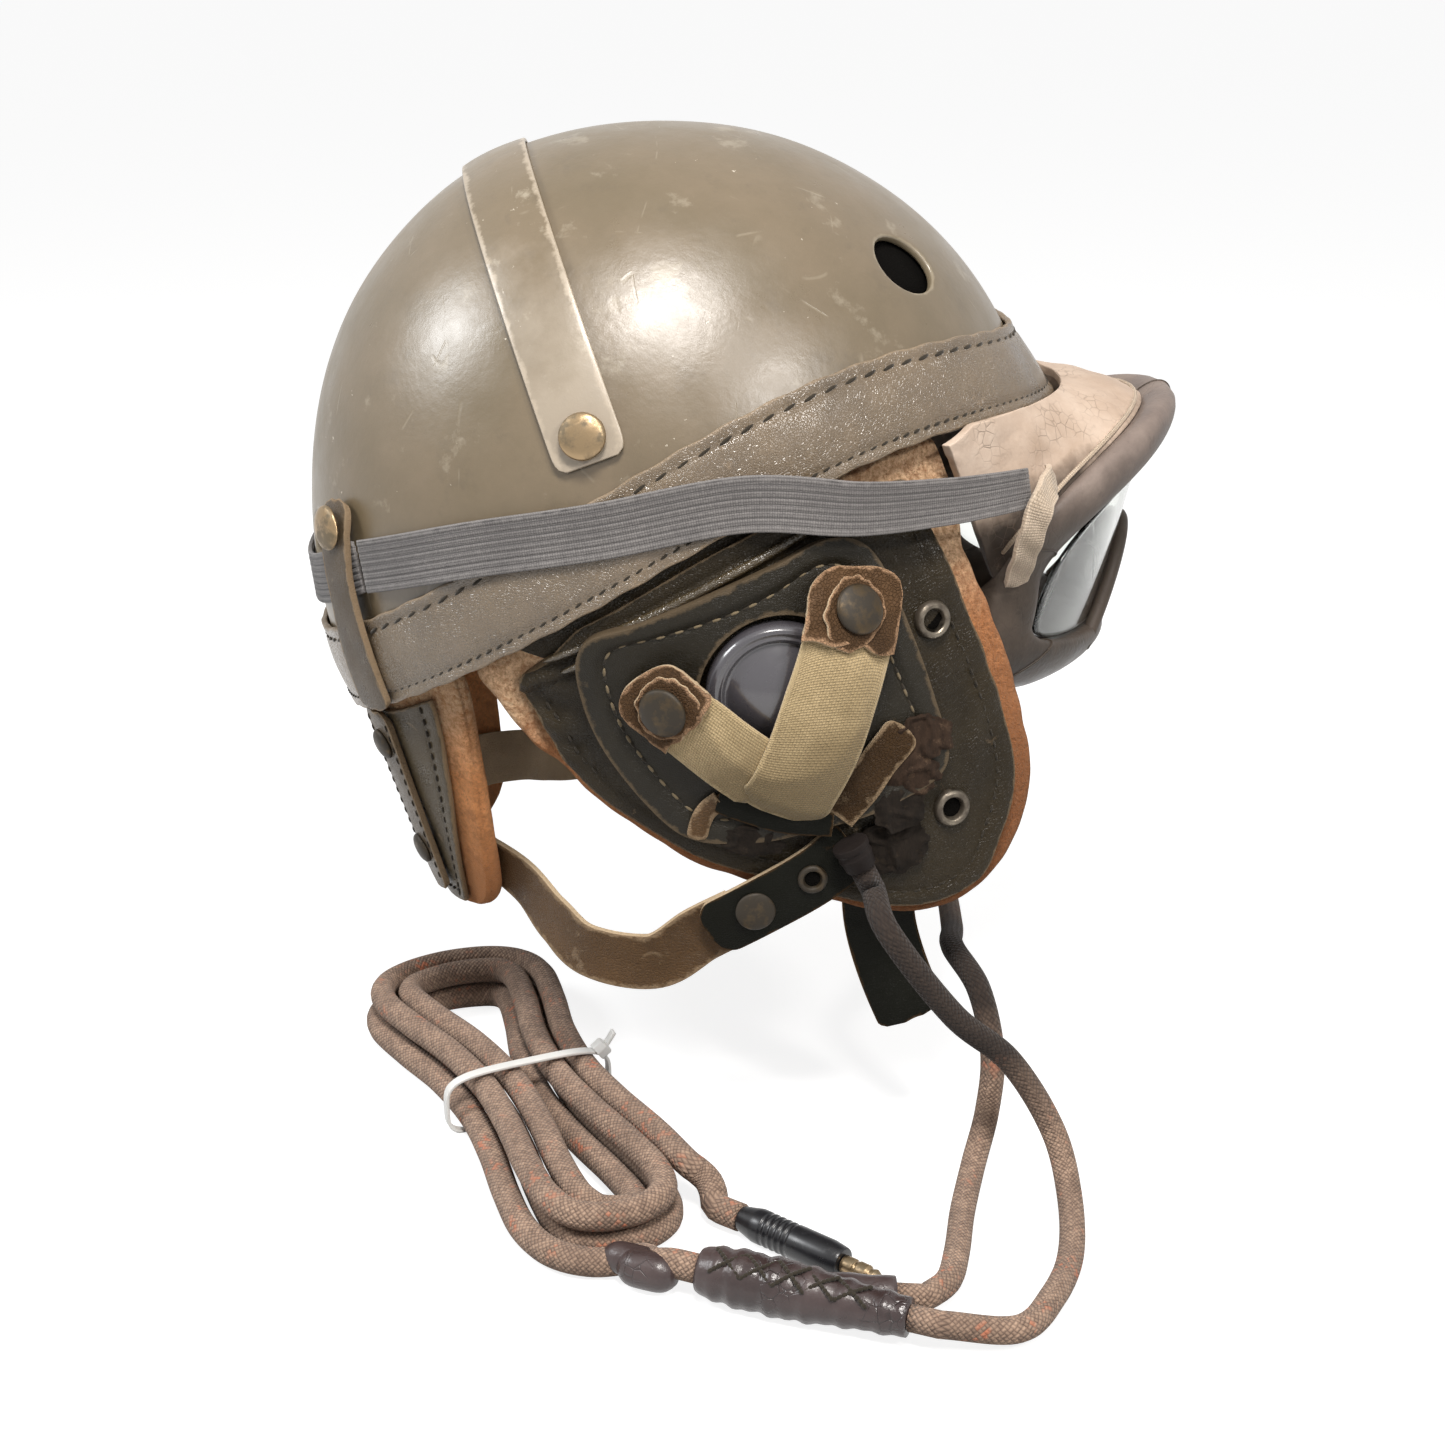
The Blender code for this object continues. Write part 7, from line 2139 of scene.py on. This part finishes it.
def frame_spots(u, v):
    """The frame's section carried round the lens: a fat roll above, thin beside the lens and full below."""
    around, turn = 2 * math.pi * v, 2 * math.pi * u
    rise = np.sin(turn)
    share = np.maximum(0.0, rise) ** 2.4
    wall, depth, ahead = (a + (b - a) * share for a, b in zip(FRAME_SECTION, FRAME_ROLL))
    thin = 6.5 * MM * ridge(rise, 0.42, 0.3)
    full = 3.0 * MM * ridge(rise, -0.55, 0.4)
    grow = wall * (1 + np.cos(around))
    y, z = goggle_ring(turn, grow)
    beside = np.abs(y)
    skirt = ease(beside, 50 * MM, 68 * MM) * ease(-rise, -0.40, -0.10) * ease(rise, -0.98, -0.75)
    back = depth - 4 * MM * ease(beside, 58 * MM, 70 * MM) + SKIRT_BACK * skirt
    front = np.where(np.sin(around) > 0, depth - thin + full, back)
    x = goggle_x(y, z) + ahead + front * np.sin(around)
    drawn_in = SKIRT_IN * skirt * ease(-np.sin(around), -0.4, 0.5)
    return np.stack([x, y - np.sign(y) * drawn_in, z], -1)


def hood_spots(across, back):
    """The hood from the roll back to the lower edge of the band."""
    share = np.abs(across)
    hand = np.where(across < 0, -1.0, 1.0)
    turn = math.pi / 2 - HOOD_FRONT * share**1.1
    front = frame_spots(turn / (2 * math.pi), 0.90 + 0 * turn)
    angle = HOOD_REAR * share
    rear = dome(angle, rim(angle) - 0.6 * MM - 3.5 * MM * ease(share, 0.85, 1.0), LAY + LEATHER + 2.6 * MM)
    spot = front * (1 - back)[..., None] + rear * back[..., None]
    spot[..., 2] += 3.2 * MM * np.sin(math.pi * back) * (1 - 0.4 * share)
    spot[..., 1] *= hand
    return spot


def nose_spots(u, v):
    """The lip that rises in front of the lens over the nose."""
    across = 2 * u - 1
    y = across * 36 * MM
    low = GOGGLE_MID[1] - GOGGLE_HALF[2] - 3 * MM
    top = low + 29 * MM * np.cos(across * math.pi / 2) ** 1.3
    z = low + (top - low) * v
    return np.stack([goggle_x(y, z) + (5.2 - 1.2 * v) * MM, y, z], -1)


def make_goggle_frame():
    """The rubber frame with its roll, its mould lines and the lip over the nose."""
    u, v = mesh_grid(220, 44)
    core = tipped((GOGGLE_MID[0], 0.0, GOGGLE_MID[1]))
    body = baked(grid("body", tipped(frame_spots(u, v)), skins("frame_skin", "roll_skin"), core))
    up = Vector(tipped((0.0, 0.0, 1.0)))
    for face in body.data.polygons:
        if face.center.dot(up) > GOGGLE_MID[1] + 21 * MM:
            face.material_index = 1
    parts = [body]
    for turn, wide in ((0.10, 0.5), (0.42, 0.4), (0.93, 0.5), (0.57, 0.5), (0.25, 0.4)):
        line = frame_spots(np.full(60, turn), np.linspace(0.0, 1.0, 60))
        line = line + unit(line - line.mean(axis=0)) * 0.05 * MM
        parts.append(tube(f"mould_{turn}", tipped(line), wide * MM, [finish("frame_skin")], 8, False))
    nose = nose_spots(*mesh_grid(60, 20))
    core = tipped((0.1, 0.0, GOGGLE_MID[1]))
    parts.append(slab("nose", tipped(nose), 2.2 * MM, [finish("frame_skin")], core))
    parts.append(tube("nose_lip", tipped(nose[-1]), 2.6 * MM, [finish("roll_skin")], 14))
    hand_over(joined("goggle_body", parts), "goggles", "rubber", "goggle_frame")


def make_goggle_hood():
    """The lumpy rubber hood and the seam where it meets the roll."""
    u, v = mesh_grid(150, 40)
    across = 2 * u - 1
    spots = hood_spots(across, v)
    out = unit(np.cross(np.gradient(spots, axis=1), np.gradient(spots, axis=0)))
    out = out * np.sign(out[..., 2:3] + 0.3 * out[..., 0:1] + 1e-9)
    fine = swell(spots, 0.008, 62) * 0.22 * MM * ease(np.abs(across), 0.3, 0.8)
    lumps = swell(spots, 0.02, 61) * 0.4 * MM + fine
    core = tipped((0.06, 0.0, -0.09))
    hood = slab("hood", tipped(spots + out * lumps[..., None]), 3.2 * MM, [finish("hood_skin")], core, segments=4)
    seam = spots[3] + out[3] * 1.8 * MM
    bead = tube("seam", tipped(seam[4:-4]), 0.8 * MM, [finish("cotton_tape")], 10)
    hand_over(joined("goggle_cover", [hood, bead]), "goggles", "hood_rubber", "goggle_hood")


def make_goggle_lens():
    """A clear sheet that fills the frame's opening."""
    u, v = mesh_grid(140, 24)
    y, z = goggle_ring(2 * math.pi * u, -GAP)
    y, z = y * v, GOGGLE_MID[1] + (z - GOGGLE_MID[1]) * v
    spots = np.stack([goggle_x(y, z), y, z], -1)
    lens = slab("lens_sheet", tipped(spots), 1.6 * MM, [finish("lens")], soft=0.25)
    hand_over(lens, "goggles", "clear", "goggle_lens")


LOOP = ((111, 73, -34), (107.5, 84.5, -34), (102, 91, -37.5), (95, 89, -49), (88.5, 79.7, -63))


def make_goggles():
    """Frame, hood and lens, and a tape loop at each side."""
    make_goggle_frame()
    make_goggle_hood()
    make_goggle_lens()
    for side, hand in SIDES:
        route = [(x * MM, side * y * MM, z * MM) for x, y, z in LOOP]
        spots = ribbon(route, lambda p: sideways(p) + np.array([0.3, 0.0, 0.0]), 9 * MM, 56, 10,
                       lambda u, v: 0.35 * MM * np.sin(u * 31 + v * 4), (2 * MM, 2 * MM))
        core = tipped((0.09, 0.0, -0.05))
        loop = slab(f"loop_tape_{hand}", tipped(spots), 1.8 * MM, [finish("cotton_tape")], core)
        hand_over(loop, "goggles", "tape", f"goggle_loop_{hand}")


STRAP_START = ((101.0, 86.2, -31.5), (86, 94.5, -26.6), (72, 102, -21.5), (46, 112, -11.5))
STRAP_OVER = ((78, 1.6, 1), (97, 8.6, 1), (116, 13.2, 1), (132, 13.5, 0.7), (141.6, 12.7, 0.55))


ELASTIC_WIDTH = 17 * MM
ELASTIC_RIBS = 8


def elastic_strap(name, route, columns, gather=1.0):
    """Elastic with raised ribs along it, gathered at its front end."""
    def relief(u, v):
        return 0.28 * MM * np.abs(np.sin(v * math.pi * ELASTIC_RIBS)) - 0.14 * MM

    width = ELASTIC_WIDTH * np.interp(np.linspace(0.0, 1.0, columns + 1), [0.0, 0.32], [gather, 1.0])
    spots = ribbon(route, dome_out, width, columns, 64, relief)
    return slab(name, tipped(spots), 1.3 * MM, [finish("ribbed_elastic")], soft=0.25)


def make_goggle_straps():
    """Elastic at both sides, and the piece of it at the back."""
    lay_out = LAY + LEATHER + 2 * GAP + 0.8 * MM
    for side, hand in SIDES:
        route = [np.array([x, side * y, z]) * MM for x, y, z in STRAP_START]
        for bearing, height, lift in STRAP_OVER:
            route.append(dome(np.array([side * math.radians(bearing)]), np.array([height * MM]), lay_out * lift)[0])
        strap = elastic_strap(f"elastic_{hand}", route, 110, 0.72)
        hand_over(strap, "goggles", "elastic", f"goggle_strap_{hand}")
    bearings = np.linspace(143.4, 216.6, 13)
    sag = 12.6 - 9.0 * np.cos(np.radians((bearings - 180) * 90 / 36.6))
    route = dome(np.radians(bearings), sag * MM, 0.38 * lay_out)
    hand_over(elastic_strap("elastic_rear", list(route), 60), "helmet", "elastic", "goggle_strap_rear")


# Operators
class HELMET_OT_stage(Operator):
    """Make the floor, the studio light and the camera"""

    bl_idname = "helmet.stage"
    bl_label = "Stage"

    def execute(self, context):
        make_stage()
        return {"FINISHED"}


class HELMET_OT_cords(Operator):
    """Make the receiver cords, the tied main cord, its sleeve and its plug"""

    bl_idname = "helmet.cords"
    bl_label = "Cords"

    def execute(self, context):
        make_cords()
        return {"FINISHED"}


class HELMET_OT_shell(Operator):
    """Make the pressed shell with its vents"""

    bl_idname = "helmet.shell"
    bl_label = "Shell"

    def execute(self, context):
        make_shell()
        return {"FINISHED"}


class HELMET_OT_band(Operator):
    """Make the sewn leather band round the rim"""

    bl_idname = "helmet.band"
    bl_label = "Rim band"

    def execute(self, context):
        make_band(context.scene.helmet_sizes)
        return {"FINISHED"}


class HELMET_OT_crown(Operator):
    """Make the crown strap and its rivets"""

    bl_idname = "helmet.crown"
    bl_label = "Crown strap"

    def execute(self, context):
        make_crown_strap()
        return {"FINISHED"}


class HELMET_OT_keepers(Operator):
    """Make the keepers of the goggle strap and their studs"""

    bl_idname = "helmet.keepers"
    bl_label = "Keepers"

    def execute(self, context):
        make_keepers()
        return {"FINISHED"}


class HELMET_OT_inner_fit(Operator):
    """Make the sweatband and the crown pad"""

    bl_idname = "helmet.inner_fit"
    bl_label = "Inner fit"

    def execute(self, context):
        make_inner_fit(context.scene.helmet_sizes)
        return {"FINISHED"}


class HELMET_OT_neck_flap(Operator):
    """Make the neck flap, its lining, its spring covers and its straps"""

    bl_idname = "helmet.neck_flap"
    bl_label = "Neck flap"

    def execute(self, context):
        make_neck_flap(context.scene.helmet_sizes)
        return {"FINISHED"}


class HELMET_OT_ear_flaps(Operator):
    """Make the ear flaps, their linings, their eyelets and their cushions"""

    bl_idname = "helmet.ear_flaps"
    bl_label = "Ear flaps"

    def execute(self, context):
        make_ear_flaps(context.scene.helmet_sizes)
        return {"FINISHED"}


class HELMET_OT_receivers(Operator):
    """Make the receivers, their panels and the torn leather below them"""

    bl_idname = "helmet.receivers"
    bl_label = "Receivers"

    def execute(self, context):
        make_receivers(context.scene.helmet_sizes)
        make_torn_leather()
        return {"FINISHED"}


class HELMET_OT_receiver_straps(Operator):
    """Make the V straps over the receivers and their studs"""

    bl_idname = "helmet.receiver_straps"
    bl_label = "Receiver straps"

    def execute(self, context):
        make_receiver_straps()
        return {"FINISHED"}


class HELMET_OT_chin_straps(Operator):
    """Make the tabs and the chin straps"""

    bl_idname = "helmet.chin_straps"
    bl_label = "Chin straps"

    def execute(self, context):
        make_chin_straps()
        return {"FINISHED"}


class HELMET_OT_goggles(Operator):
    """Make the goggles with their hood, lens and tape loops"""

    bl_idname = "helmet.goggles"
    bl_label = "Goggles"

    def execute(self, context):
        make_goggles()
        return {"FINISHED"}


class HELMET_OT_goggle_straps(Operator):
    """Make the ribbed elastic of the goggles"""

    bl_idname = "helmet.goggle_straps"
    bl_label = "Goggle straps"

    def execute(self, context):
        make_goggle_straps()
        return {"FINISHED"}


OPERATORS = (HELMET_OT_stage, HELMET_OT_cords, HELMET_OT_shell, HELMET_OT_band, HELMET_OT_crown, HELMET_OT_keepers,
             HELMET_OT_inner_fit, HELMET_OT_neck_flap, HELMET_OT_ear_flaps, HELMET_OT_receivers,
             HELMET_OT_receiver_straps, HELMET_OT_chin_straps, HELMET_OT_goggles, HELMET_OT_goggle_straps)


class HELMET_PT_panel(Panel):
    """Sizes, colours and makers of the crew helmet"""

    bl_idname = "HELMET_PT_panel"
    bl_label = "Crew helmet"
    bl_space_type = "VIEW_3D"
    bl_region_type = "UI"
    bl_category = "Helmet"

    def draw(self, context):
        for group in (context.scene.helmet_sizes, context.scene.helmet_colours):
            box = self.layout.box()
            for name in group.__annotations__:
                box.prop(group, name)
        for operator in OPERATORS:
            self.layout.operator(operator.bl_idname)


CLASSES = (HelmetColours, HelmetSizes, *OPERATORS, HELMET_PT_panel)


def register():
    """Add the classes and the settings."""
    for kind in CLASSES:
        bpy.utils.register_class(kind)
    bpy.types.Scene.helmet_colours = PointerProperty(type=HelmetColours)
    bpy.types.Scene.helmet_sizes = PointerProperty(type=HelmetSizes)


def unregister():
    """Take the settings and the classes out again."""
    del bpy.types.Scene.helmet_sizes
    del bpy.types.Scene.helmet_colours
    for kind in reversed(CLASSES):
        bpy.utils.unregister_class(kind)


def main():
    """Make every piece."""
    register()
    for operator in OPERATORS:
        group, name = operator.bl_idname.split(".")
        getattr(getattr(bpy.ops, group), name)()


if __name__ == "__main__":
    main()
